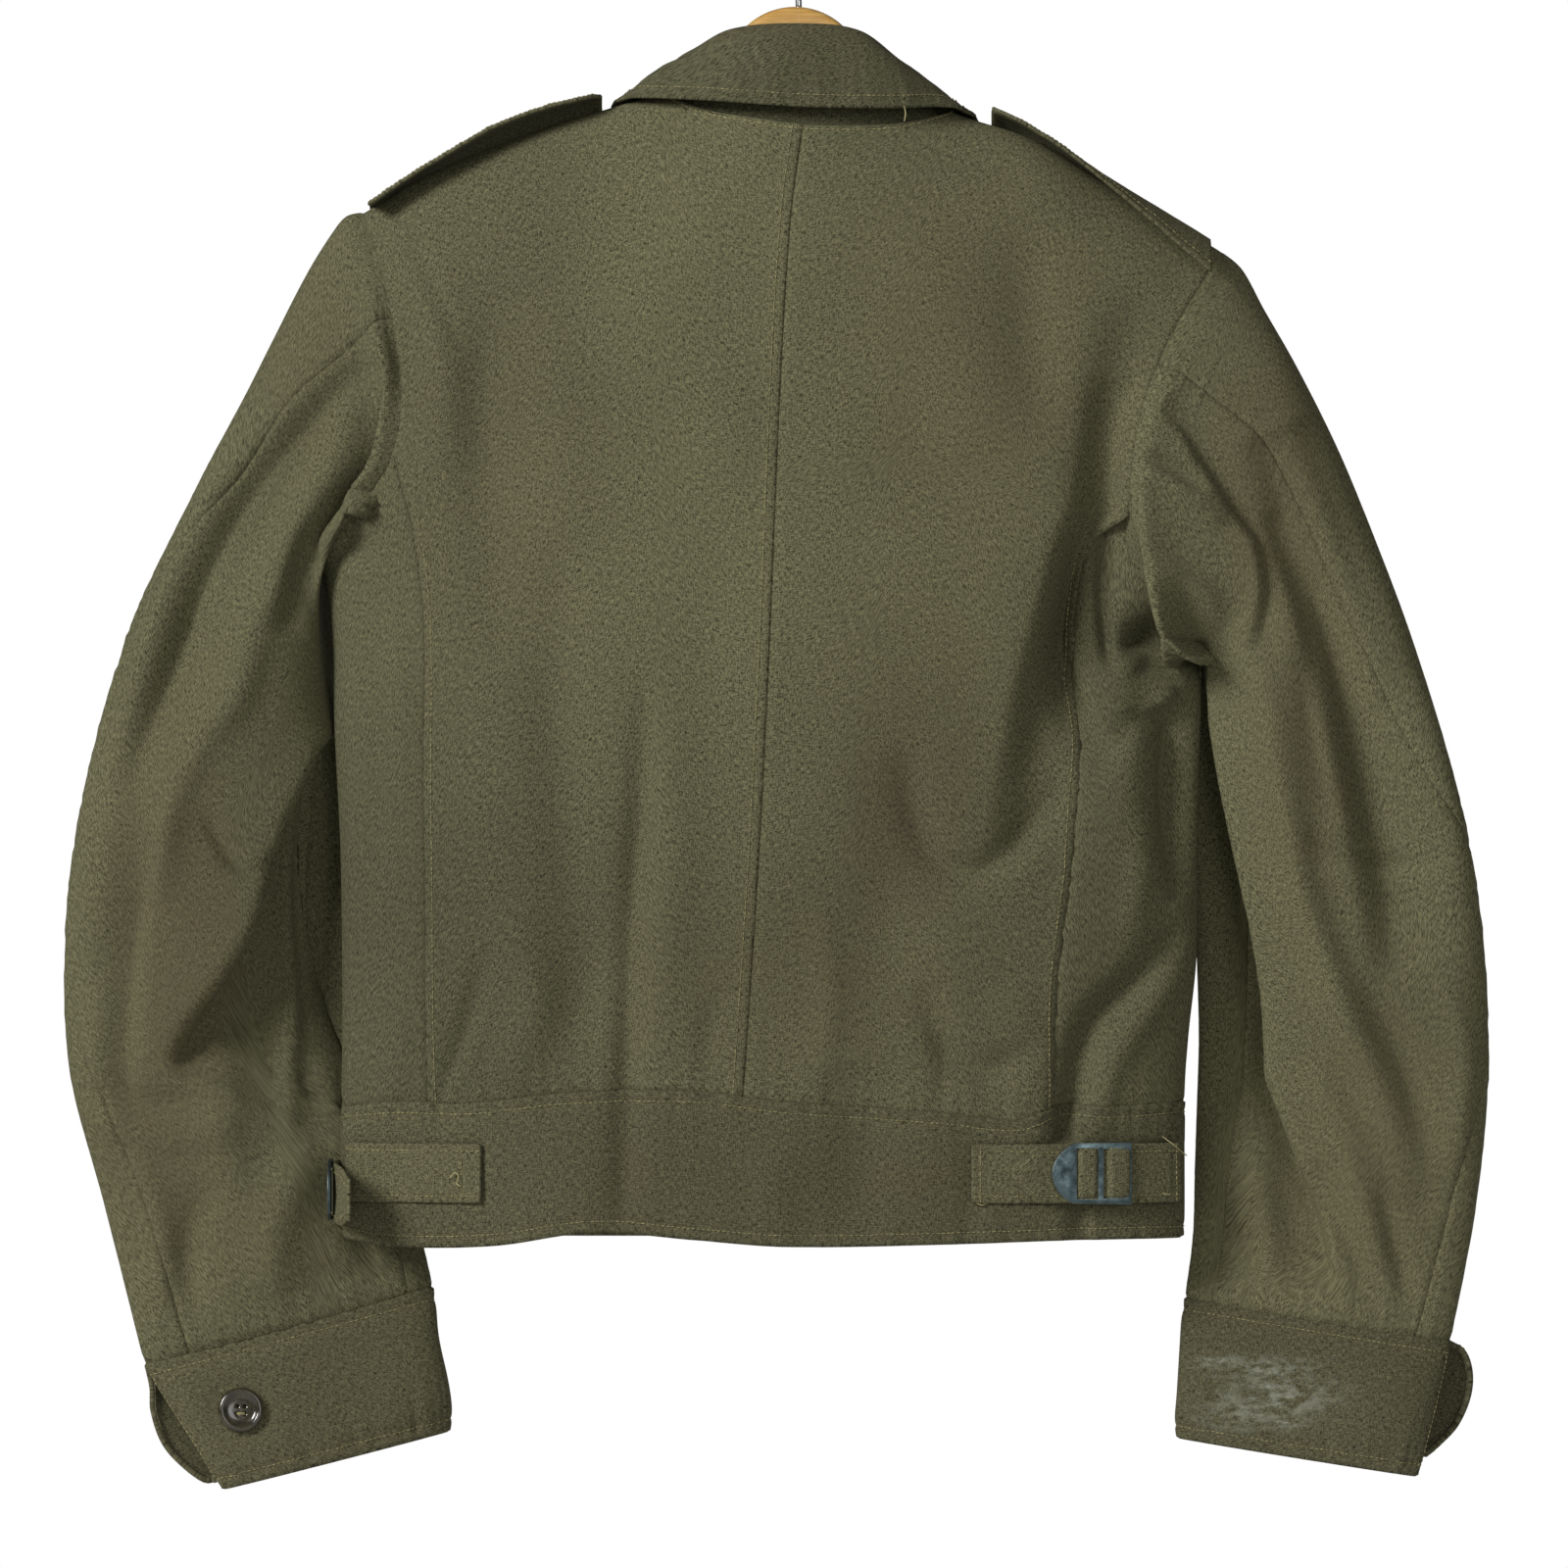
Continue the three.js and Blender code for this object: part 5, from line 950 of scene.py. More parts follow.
def band_lift(v):
    """The band is full in the middle and pressed flat at its stitched edges."""
    lines = np.exp(-(((v - STITCH_SHARE) / STITCH_WIDE) ** 2))
    lines = lines + np.exp(-(((v - 1 + STITCH_SHARE) / STITCH_WIDE) ** 2))
    return 1.0 * np.sin(np.pi * v) ** 0.7 - 0.6 * lines


def band_puckers(x, v, seeds, high):
    """Creases that run in from the band's upper and lower stitching."""
    upper = seam_puckers(x, v * BAND_WIDTH, seeds[0], high[0], 14)
    return upper + seam_puckers(x, (1 - v) * BAND_WIDTH, seeds[1], high[1], 12)


def back_band():
    left_edge = float(side_left_x(BAND_TOP[0][1]))
    right_edge = float(side_right_x(BAND_TOP[-1][1]))
    t = np.linspace(0, 1, BACK_BAND_COLS)
    spread = (1 - np.cos(np.pi * t)) / 2
    xs = lerp(left_edge, right_edge, lerp(t, spread, 0.5))
    v = np.linspace(0, 1, BAND_ROWS)[:, None]
    z = lerp(band_top(xs) - HALF_GAP, band_bottom(xs), v)
    x = np.broadcast_to(xs, z.shape).copy()
    x[:, 0] = side_left_x(z[:, 0])
    x[:, -1] = side_right_x(z[:, -1])
    puckers = band_puckers(x, v, (17, 18), (0.28, 0.25))
    under_tab = 0
    for start, end in TAB_SPANS:
        across = ease((x - start) / 6 + 1) * ease((end - x) / 6 + 1)
        under_tab = under_tab + across * ease((17.5 - np.abs(z - TAB_MIDDLE)) / 5)
    lift = (band_lift(v) + puckers) * (1 - under_tab) - 0.6 * under_tab
    grid = body(NEAR, x, z, lift, 1 - under_tab)
    fade = 0.3 + 0.35 * blob(x, z, 60, -660, 90, 40)
    stain = 0.16 * blob(x, z, -90, -660, 40, 40) + 0.12 * blob(x, z, 60, -660, 70, 20)
    # dull darkens the band: partly painted shade, partly a darker, less faded cloth.
    marks = {"fade": 0.3 * fade, "dull": 0.85, "stain": stain}
    return sewn(wall("band_back", grid, DOUBLE, marks, 0.4), "waistband_back")


def front_band(key):
    left = key == "left"
    side_x = side_left_x if left else side_right_x
    end = FRONT_EDGE[key][-1][0]
    v = np.linspace(0, 1, BAND_ROWS)[:, None]
    z = lerp(FRONT_BAND_TOP - HALF_GAP, FRONT_BAND_BOTTOM, v)
    z = np.broadcast_to(z, (BAND_ROWS, FRONT_BAND_COLS)).copy()
    t = np.linspace(0, 1, FRONT_BAND_COLS)
    x = lerp(side_x(z[:, :1]), end, lerp(t, t**2, 0.7))
    lapped = 0
    if left:
        lapped = ease((x - (end - FLY_WIDTH * FLY_LEAD)) / (FLY_WIDTH * FLY_RAMP)) * (DOUBLE + OVER_GAP)
    grid = body(FAR, x, z, lapped + band_lift(v) + band_puckers(x, v, (19, 20), (0.5, 0.4)))
    # dull darkens the band as at the back: partly painted shade, partly a darker, less faded cloth.
    piece = wall("band_front_" + key, grid, DOUBLE, {"dull": 0.7}, 0.4, FORWARD)
    return sewn(piece, "waistband_front_" + key)


back_band()
for key in ARMHOLES:
    front_band(key)

# Sleeves. Each is an upper and an under piece, joined by the hind-arm seam at the back and the forearm seam.
# They hang bent and half empty, so that they fall into long ridges with a deep valley along the inner edge.
SLEEVES = {
    # t, outer x, z, inner x, z, outer y, inner y, near depth, far depth
    "left": [
        (0, -222, -167.5, -243.5, -347.5, 14, 17, 27, 29),
        (0.03, -230.5, -169, -245.5, -355, 14, 18, 29, 31),
        (0.06, -236.5, -175.5, -246.5, -363, 14, 20, 32, 33),
        (0.13, -250, -197, -246.5, -380, 14, 25, 36, 36),
        (0.22, -268, -232, -243.5, -401, 14, 32, 38, 38),
        (0.32, -293, -282, -238, -428, 13, 39, 38, 38),
        (0.42, -318, -329, -232, -460, 12, 43, 37, 36),
        (0.52, -340, -376, -228.5, -496, 12, 47, 36, 33),
        (0.62, -357, -430, -225, -535, 12, 49, 34, 30),
        (0.71, -369, -486, -218, -576, 13, 53, 32, 27),
        (0.79, -374.5, -542, -211, -614, 15, 55, 29, 24),
        (0.86, -372, -605, -204, -650, 18, 55, 25, 20),
        (0.93, -354, -676, -196, -687, 22, 53, 20, 16),
        (1, -334, -756, -189, -717.5, 26, 50, 13, 11),
    ],
    "right": [
        (0, 215, -187, 206.5, -386, 13, 12, 27, 29),
        (0.06, 226, -196, 209.5, -397, 14, 15, 32, 33),
        (0.13, 237, -216, 209.5, -411, 14, 22, 36, 36),
        (0.22, 254, -246, 207.5, -430, 14, 28, 38, 38),
        (0.32, 275, -288, 206.5, -455, 14, 33, 38, 37),
        (0.42, 294, -334, 206, -486, 14, 36, 37, 35),
        (0.52, 312, -382, 205.5, -520, 15, 38, 36, 32),
        (0.62, 328, -433, 206, -556, 17, 40, 34, 30),
        (0.71, 341, -486, 206.5, -590, 19, 40, 31, 27),
        (0.79, 350, -541, 205.5, -624, 22, 41, 28, 24),
        (0.86, 352.5, -606, 204.5, -656, 24, 42, 24, 20),
        (0.93, 346, -676, 203.5, -690, 27, 42, 19, 16),
        (1, 333, -744.5, 199.5, -722.5, 30, 42, 13, 11),
    ],
}
HIND_SEAM = {
    # t, degrees
    "left": [(0, 65.2), (0.13, 62), (0.3, 45), (0.5, 12), (0.62, -8), (0.78, 2), (0.88, 38), (1, 46)],
    "right": [(0, 66.4), (0.13, 62), (0.3, 55), (0.5, 45), (0.65, 30), (0.8, -4), (0.9, 30), (1, 42)],
}
FORE_SEAM = {
    "left": [(0, 161), (0.5, 168), (1, 147)],
    "right": [(0, 161), (0.5, 150), (1, 144)],
}
SLEEVE_FOLDS = {
    ("left", "near"): (
        ([(-228, -424), (-236.5, -432.5), (-245, -440), (-255.5, -459.5), (-265.5, -480), (-274, -504),
          (-281, -531), (-296.5, -558.5), (-311.5, -580.5), (-322, -604)], 4.5, -34, 190, 1, 7),
        ([(-206, -256), (-214, -290), (-232, -318), (-250, -344), (-262, -384)], 9, -11),
        ([(-224, -252), (-238, -290), (-258, -330), (-272, -372)], 9, 6),
        ([(-218, -236), (-246, -262), (-284, -303), (-311, -348), (-329, -398), (-345, -440), (-352, -470)],
         9, -18, 44, 1, 0),
        ([(-230, -262), (-262, -290), (-292, -336), (-306, -380)], 12, 5),
        ([(-262, -350), (-279.5, -378), (-289.5, -412), (-306.5, -436), (-322, -473.5), (-328, -520)],
         10, 7),
        ([(-303, -474), (-292, -493), (-283, -504), (-270, -490)], 4, -4),
        ([(-322, -462), (-323.5, -473.5), (-329, -514), (-334, -548.5), (-338, -600), (-338, -620)],
         4, -6, 26, -1, 2),
        ([(-240, -470), (-244, -497), (-248.5, -531), (-252, -580), (-262, -640)], 6, 5),
        ([(-250, -640), (-270, -690), (-262, -730)], 12, 5),
        ([(-292, -560), (-296, -620), (-286, -690)], 14, 4),
        ([(-366, -612), (-330, -622), (-290, -616)], 6, -4),
        ([(-362, -628), (-322, -640), (-286, -634)], 6, 3),
        ([(-340, -640), (-326, -690), (-330, -740)], 8, 3.5),
        ([(-300, -660), (-312, -700), (-304, -746)], 9, -4),
        ([(-226, -660), (-222, -690), (-214, -722)], 8, -3.5),
        ([(-236, -600), (-230, -650), (-220, -690)], 7, 3),
        ([(-352, -556), (-358, -600), (-346, -650)], 8, 3.5),
        ([(-274, -250), (-296, -300), (-310, -345)], 9, 3),
        ([(-340, -380), (-352, -420), (-362, -480)], 8, -3),
    ),
    ("left", "far"): (
        ([(-232, -400), (-280, -440), (-340, -450)], 13, -6),
        ([(-240, -500), (-290, -530), (-350, -520)], 14, -7),
        ([(-250, -600), (-300, -600), (-350, -580)], 14, -5),
        ([(-240, -440), (-280, -480), (-330, -490)], 9, 4),
        ([(-236, -560), (-280, -566), (-330, -556)], 8, 4),
        ([(-240, -660), (-270, -680), (-300, -690)], 9, 3),
    ),
    ("right", "near"): (
        ([(209, -385), (207.5, -412), (214.5, -448.5), (223.5, -489.5), (232, -522), (236, -538.5),
          (241.5, -580.5), (241.5, -606), (248.5, -625.5), (258.5, -653.5), (269.5, -679), (275, -704),
          (280, -726)], 4.5, -31, 44, -1, 7),
        ([(222, -372), (228, -387), (238, -412), (243, -441), (250, -478), (257, -514.5), (267.5, -544),
          (280.5, -579), (294.5, -607.5), (309, -639.5), (322, -668)], 9, 8),
        ([(182, -268), (188, -274), (195, -282), (200.5, -293), (208, -304), (220.5, -324), (230, -335),
          (232.5, -346), (234.5, -360.5), (230, -392)], 4, -8, 26, 1, 2.5),
        ([(166, -305), (170.5, -303), (180.5, -302), (191.5, -308.5), (202.5, -316.5), (214, -327)], 4.5, 5),
        ([(168, -296), (180, -294.5), (192, -300), (204, -309)], 4, -4),
        ([(177, -350), (190, -352), (206, -362), (216, -378)], 7, 4),
        ([(226, -285), (242, -325), (258, -368), (276, -440), (290, -505), (298, -560)], 10, -18, 42, 1, 0),
        ([(244, -270), (262, -310), (284, -366), (300, -420)], 8, 4),
        ([(240, -320), (256, -370), (262, -430), (272, -480)], 8, -5),
        ([(258, -484), (280, -494), (304, -500), (332, -496)], 5, -3.5),
        ([(266, -500), (290, -508), (318, -514)], 5, 2.6),
        ([(316, -400), (330, -450), (338, -520)], 9, 3.5),
        ([(290, -560), (312, -610), (322, -680)], 10, -4),
        ([(268, -650), (272.5, -666.5), (288.5, -706.5), (294, -740)], 7, -5),
        ([(296, -664), (300.5, -682.5), (312.5, -722.5), (314, -744)], 5, -3.6),
        ([(262, -600), (286, -660), (300, -722)], 8, 4),
        ([(214, -600), (218, -650), (224, -724)], 8, -3),
        ([(230, -640), (238, -680), (246, -726)], 7, 3.5),
        ([(330, -560), (340, -600), (334, -660)], 7, 3),
    ),
    ("right", "far"): (
        ([(214, -430), (260, -460), (320, -450)], 13, -6),
        ([(212, -520), (260, -545), (330, -530)], 14, -7),
        ([(212, -620), (270, -620), (335, -600)], 14, -5),
        ([(216, -470), (260, -500), (310, -496)], 9, 4),
        ([(212, -570), (262, -584), (320, -574)], 8, 4),
        ([(220, -670), (260, -684), (310, -680)], 9, 3),
    ),
}
# Where the cloth has slipped bodily, as a hanging lip at the right armpit: middle and spread in degrees,
# middle and spread in t, and how far it moves in x, y and z.
SLIPS = {
    "left": (
        (212, 26, 0.24, 0.12, 7, 0, 0),
        (95, 34, 0.03, 0.025, -1, -6, 2),
    ),
    "right": (
        (138, 24, 0.05, 0.035, -7, -15, -21),
        (100, 30, 0.03, 0.025, 1, -2, 1),
        (192, 30, 0.25, 0.2, -6, 3, 0),
    ),
}
CAP = 0.24


class Sleeve:
    """A round tube whose flat outline is the photograph's, starting on the armhole's edge."""

    def __init__(self, key):
        self.key = key
        self.arm = armholes[key]
        names = ("ox", "oz", "ix", "iz", "oy", "iy", "near", "far")
        self.sizes = {name: column(SLEEVES[key], 0, k + 1) for k, name in enumerate(names)}

    def tube(self, degrees, t):
        a = np.radians(degrees)
        s = (1 - np.cos(a)) / 2
        get = {name: size(t) for name, size in self.sizes.items()}
        depth = np.sin(a) * np.where(np.sin(a) > 0, get["near"], get["far"])
        return np.stack([
            lerp(get["ox"], get["ix"], s),
            lerp(get["oy"], get["iy"], s) - depth,
            lerp(get["oz"], get["iz"], s),
        ], axis=-1)

    def rest(self, degrees, t):
        degrees = np.asarray(degrees, float) % 360
        start = np.zeros_like(degrees)
        off = (self.arm.at(degrees) - self.tube(degrees, start)) * (1 - ease(t / CAP))[..., None]
        point = self.tube(degrees, t) + off
        for middle, spread, level, run, *move in SLIPS[self.key]:
            near = np.exp(-(((degrees - middle) / spread) ** 2))
            down = np.exp(-(((t - level) / run) ** 2)) * ease(t / 0.03)
            point = point + (near * down)[..., None] * move
        return point

    def at(self, degrees, t, lift=0.0):
        """Points on the sleeve, moved out by lift."""
        degrees, t = np.broadcast_arrays(np.asarray(degrees, float), np.asarray(t, float))
        point = self.rest(degrees, t)
        around = self.rest(degrees + 0.8, t) - self.rest(degrees - 0.8, t)
        down = self.rest(degrees, np.minimum(t + 0.004, 1)) - self.rest(degrees, np.maximum(t - 0.004, 0))
        normal = np.cross(around, down) * self.arm.out
        normal /= np.linalg.norm(normal, axis=-1, keepdims=True)
        side = np.sin(np.radians(degrees))
        x, z = point[..., 0], point[..., 2]
        near, slide = fold_moves(SLEEVE_FOLDS[self.key, "near"], x, z)
        far, _ = fold_moves(SLEEVE_FOLDS[self.key, "far"], x, z)
        near = near + ripples(x, z, 5, 1.5)
        far = far + ripples(x, z, 6, 1.5)
        fade = ease(np.abs(side) / 0.3) * ease(t / 0.04) * ease((1 - t) / 0.04)
        point = point + normal * (np.where(side > 0, near, far) * fade + np.asarray(lift))[..., None]
        point[..., [0, 2]] += slide * (fade * (side > 0))[..., None]
        point[..., 0] += np.where(t == 0, self.arm.out * HALF_GAP, 0)
        return point


sleeves = {key: Sleeve(key) for key in SLEEVES}
SLEEVE_LENGTH = 640
sleeve_rows = np.concatenate([np.linspace(0, 0.12, 38)[:-1], np.linspace(0.12, 1, 156)])
SLEEVE_COLS = {"top": 116, "under": 76}


def sleeve_marks_and_painted_shade(key, x, z):
    if key == "left":
        fade = 0.8 * blob(x, z, -318, -520, 34, 90) + 0.6 * blob(x, z, -330, -660, 40, 60)
        fade = fade + 0.35 * blob(x, z, -250, -230, 22, 60) + 0.35 * blob(x, z, -250, -690, 50, 30)
    else:
        fade = 0.8 * blob(x, z, 238, -300, 26, 60) + 0.55 * blob(x, z, 262, -440, 26, 90)
        fade = fade + 0.5 * blob(x, z, 300, -640, 40, 80) + 0.35 * blob(x, z, 244, -690, 36, 40)
    # Painted shade: dull darkens the whole left sleeve for the shadows of its folds.
    dull = 0.3 if key == "left" else 0.0
    stain = 0.6 * blob(x, z, -345.5, -609.5, 1.6, 1.6)
    return {"fade": np.clip(0.75 * fade, 0, 0.95), "dull": dull, "stain": stain}


def sleeve_piece(key, part):
    hind = smooth(*zip(*HIND_SEAM[key]))(sleeve_rows)[:, None]
    fore = smooth(*zip(*FORE_SEAM[key]))(sleeve_rows)[:, None]
    share = np.linspace(0, 1, SLEEVE_COLS[part])[None, :]
    start, end = (hind, fore) if part == "under" else (fore, hind + 360)
    degrees = lerp(start + 0.22, end - 0.22, share)
    t = np.broadcast_to(sleeve_rows[:, None], degrees.shape)
    form = sleeves[key]
    flat = form.rest(degrees, t)
    along = t * SLEEVE_LENGTH
    to_start = np.linalg.norm(flat - flat[:, :1], axis=-1)
    to_end = np.linalg.norm(flat - flat[:, -1:], axis=-1)
    edge = np.minimum(to_start, to_end)
    lift = seam_dip(edge, 0.8, 1.6) + seam_puckers(along, edge, 21, 0.22, 10)
    lift += seam_dip(along, 0.9, 2.4) + seam_puckers(degrees * 2.2, along, 22, 0.35, 14)
    lift += seam_dip(SLEEVE_LENGTH - along, 0.9, 2.4)
    lift += seam_puckers(degrees * 1.8, SLEEVE_LENGTH - along, 23, 0.28, 16)
    grid = form.at(degrees, t, lift * ease(along / 6))
    name = f"sleeve_{part}_{key}"
    seen = (0.5, 0.5) if part == "under" else (0.5, 0.4)
    outside = BACKWARD if part == "under" else FORWARD
    marks = sleeve_marks_and_painted_shade(key, grid[..., 0], grid[..., 2])
    return sewn(wall(name + "_piece", grid, CLOTH, marks, outside=outside, seen=seen), name)


for key in SLEEVES:
    for part in ("top", "under"):
        sleeve_piece(key, part)

# Cuffs. Each is one open strip of two layers with a rounded buttonhole end. Both hang unbuttoned, with the
# near end lying free of the rounded one behind it. The right one is scuffed chalky and has lost its button.
CUFFS = {
    "left": {
        "near_end": [(-334, -756.3), (-313, -789), (-294, -818.5)],
        "fold": [(-189, -718), (-187.5, -742), (-182, -769.5), (-180.5, -790.5)],
        "far_end": [
            (-334, -756.3), (-331.5, -768), (-331, -780), (-325, -797), (-313, -810), (-303.5, -815.5),
            (-296, -813.5),
        ],
        "outer_y": 28, "fold_y": 49, "near": 11, "far": 10,
    },
    "right": {
        "near_end": [(333, -744.8), (325, -779), (316, -812)],
        "fold": [(199.5, -723), (197.5, -758), (195.5, -793.5)],
        "far_end": [
            (333, -744.8), (341, -750), (344.5, -760.5), (343.5, -773), (337.5, -787), (329.5, -796),
            (321.5, -803),
        ],
        "outer_y": 31, "fold_y": 42, "near": 11, "far": 10,
    },
}
CUFF_FLARE, CUFF_OPEN, CUFF_DEEP = 1.15, 7, 72
CUFF_COLS, CUFF_ROWS = 190, 40


def cuff_place(key, degrees, v):
    """Points on a cuff. degrees run from the near end round the inner fold to the far end, v down it."""
    shape = CUFFS[key]
    degrees, v = np.broadcast_arrays(np.asarray(degrees, float), np.asarray(v, float))
    a = np.radians(degrees)
    s = (1 - np.cos(a)) / 2
    first = degrees <= 180
    end = np.where(first[..., None], route(shape["near_end"])(v), route(shape["far_end"])(v))
    fold = route(shape["fold"])(v)
    depth = np.sin(a) * np.where(first, shape["near"], shape["far"]) * lerp(1, CUFF_FLARE, v)
    spread = np.where(first, -1, 1) * (1 - s) ** 2 * lerp(DOUBLE / 2 + SEAM_GAP, CUFF_OPEN, v)
    return np.stack([
        lerp(end[..., 0], fold[..., 0], s),
        lerp(shape["outer_y"], shape["fold_y"], s) - depth + spread,
        lerp(end[..., 1], fold[..., 1], s),
    ], axis=-1)


def cuff_relief(degrees, v, seed):
    """The two layers are pressed flat along the stitching and puff up between, with small pulls."""
    to_ends = np.minimum(degrees, 360 - degrees) * 0.9
    edge = np.minimum(np.minimum(v * CUFF_DEEP, (1 - v) * CUFF_DEEP), to_ends)
    relief = stitched_edge(edge, 0.9, 14, 0.7, 5.5, 1.6)
    relief += seam_puckers(degrees * 0.9, (1 - v) * 60, seed, 0.5, 12) * ease(edge / 4)
    return relief + 1.3 * np.sin(degrees / 17 + seed) * np.sin(v * 3.1) * ease(edge / 20)


def stitched_edge(edge, high, over, deep, at, wide):
    """A doubled edge puffs up within a short way of its rim, and is pulled in where its stitching runs."""
    return high * ease(edge / over) - deep * np.exp(-(((edge - at) / wide) ** 2))


def moved_out(grid, lift, outward):
    """A grid of points moved along its own outward direction."""
    normal = np.cross(np.gradient(grid, axis=1), np.gradient(grid, axis=0)) * outward
    normal /= np.maximum(np.linalg.norm(normal, axis=-1, keepdims=True), 1e-9)
    return grid + normal * np.asarray(lift)[..., None]


def cuff(key):
    degrees, v = np.meshgrid(np.linspace(0, 360, CUFF_COLS), np.linspace(0, 1, CUFF_ROWS))
    outward = -1 if key == "left" else 1
    grid = cuff_place(key, degrees, v)
    relief = cuff_relief(degrees, v, 24)
    if key == "left":
        seated = blob(grid[..., 0], grid[..., 2], BUTTON_X, BUTTON_Z, 17, 17) * (degrees < 180)
        relief = relief * (1 - np.clip(2.4 * seated, 0, 1)) - 0.5 * seated
    grid = moved_out(grid, relief, outward)
    x, z = grid[..., 0], grid[..., 2]
    # dull darkens the cuffs, the right one more: partly painted shade, partly a darker, less faded cloth.
    marks = {"fade": np.full(x.shape, 0.2), "dull": 0.7 if key == "left" else 0.95}
    if key == "right":
        chalk = 0.9 * blob(x, z, 246, -772, 26, 11) + 0.75 * blob(x, z, 240, -757, 24, 5)
        chalk += 0.85 * blob(x, z, 214, -754.5, 8, 2) + 0.75 * blob(x, z, 254, -785.5, 13, 2)
        chalk += 0.55 * blob(x, z, 222, -783, 16, 7)
        marks["scuff"] = np.clip(0.8 * chalk, 0, 1) * (degrees < 175)
    return sewn(wall("cuff_strip_" + key, grid, DOUBLE, marks, 0.4, seen=(0.5, 0.25)), "cuff_" + key)


BUTTON_X, BUTTON_Z = -285.5, -779
for key in CUFFS:
    cuff(key)

# Cuff button. Olive-brown moulded plastic, dished, with a raised rim and four holes. It is sewn on with two
# bars of olive thread, near the end of the left cuff.
BUTTON_SEAT = 0.5
HOLE_RADIUS, HOLE_RING = 1.1, 2.6
HOLE_SIDE = HOLE_RING / math.sqrt(2)
DRILL_PROFILE = (
    # radius, height: wider at the top, so that the hole's mouth is countersunk
    (0, 5), (HOLE_RADIUS * 1.25, 5), (HOLE_RADIUS * 1.25, 1.55), (HOLE_RADIUS, 1.15), (HOLE_RADIUS, -2),
    (0, -2),
)
BUTTON_PROFILE = (
    # radius, height
    (0, 1.35), (4.6, 1.35), (6.6, 1.5), (7.9, 2.1), (8.7, 2.9), (9.4, 3.2), (10.2, 3.15), (10.9, 2.75),
    (11.35, 2.1), (11.5, 1.4), (11.3, 0.7), (10.6, 0.2), (9.4, 0), (0, 0),
)
BUTTON_SIDES, DRILL_SIDES = 72, 20


def button_frame():
    """The place on the left cuff's near layer that shows at the button's x, z, and three axes there."""
    degrees, v = np.meshgrid(np.arange(5, 175, 0.5), np.arange(0.1, 0.95, 0.005))
    places = cuff_place("left", degrees, v)
    far = np.hypot(places[..., 0] - BUTTON_X, places[..., 2] - BUTTON_Z)
    at = np.unravel_index(np.argmin(far), far.shape)
    d, level = degrees[at], v[at]
    round_it = cuff_place("left", d + 4, level) - cuff_place("left", d - 4, level)
    down = cuff_place("left", d, level + 0.1) - cuff_place("left", d, level - 0.1)
    facing = np.cross(round_it, down)
    facing /= np.linalg.norm(facing)
    if facing[1] > 0:
        facing = -facing
    across = np.cross([0, 0, 1], facing)
    across /= np.linalg.norm(across)
    seat = places[at] + facing * (DOUBLE / 2 + BUTTON_SEAT)
    return seat, np.stack([across, np.cross(facing, across), facing])


def button_plastic():
    """Marbled dark olive and brown plastic under a glossy coat, with its roughness varying in small patches.
    """
    material, tree, shader = tree_of("button_plastic")
    place = object_place(tree)
    swirl = noise(tree, place, 120, 4, (1, 1, 1.8), 0.6)
    marbled = ramp(tree, swirl, (0.34, linear(34, 31, 19)), (0.66, linear(62, 56, 37)))
    tree.links.new(marbled, shader.inputs["Base Color"])
    rough = ramp(tree, noise(tree, place, 700, 2), (0.4, 0.16), (0.7, 0.34))
    tree.links.new(rough, shader.inputs["Roughness"])
    shader.inputs["Coat Weight"].default_value = 0.6
    shader.inputs["Coat Roughness"].default_value = 0.12
    return material


def lathed(profile, sides):
    """Points and faces of a closed turned form that starts and ends on its axis."""
    turns = np.linspace(0, 2 * math.pi, sides, endpoint=False)
    points = [(0, 0, profile[0][1])]
    for radius, height in profile[1:-1]:
        points += [(radius * math.cos(a), radius * math.sin(a), height) for a in turns]
    points.append((0, 0, profile[-1][1]))
    last = len(points) - 1
    rings = len(profile) - 2
    faces = [(0, 1 + i, 1 + (i + 1) % sides) for i in range(sides)]
    for j in range(rings - 1):
        for i in range(sides):
            a, b = 1 + j * sides + i, 1 + j * sides + (i + 1) % sides
            faces.append((a, a + sides, b + sides, b))
    foot = 1 + (rings - 1) * sides
    faces += [(last, foot + (i + 1) % sides, foot + i) for i in range(sides)]
    return np.array(points), faces


def cuff_button():
    seat, axes = button_frame()
    points, faces = lathed(BUTTON_PROFILE, BUTTON_SIDES)
    piece = new_piece("button_cuff_left", points @ axes + seat, faces, button_plastic(), SHARP_ANGLE)
    drills = []
    for dx, dy in ((-1, -1), (1, -1), (1, 1), (-1, 1)):
        centre = np.array([dx, dy, 0]) * HOLE_RING / math.sqrt(2)
        points, faces = lathed(DRILL_PROFILE, DRILL_SIDES)
        drills.append(new_piece("drill", (points + centre) @ axes + seat, faces, piece.data.materials[0]))
    for drill in drills:
        cut = piece.modifiers.new("hole", "BOOLEAN")
        cut.operation = "DIFFERENCE"
        cut.object = drill
    graph = bpy.context.evaluated_depsgraph_get()
    drilled = bpy.data.meshes.new_from_object(piece.evaluated_get(graph))
    piece.modifiers.clear()
    piece.data = drilled
    for drill in drills:
        bpy.data.objects.remove(drill)
    fastened(piece, "button", "cuff_button_left")
    return seat, axes


button_seat, button_axes = cuff_button()

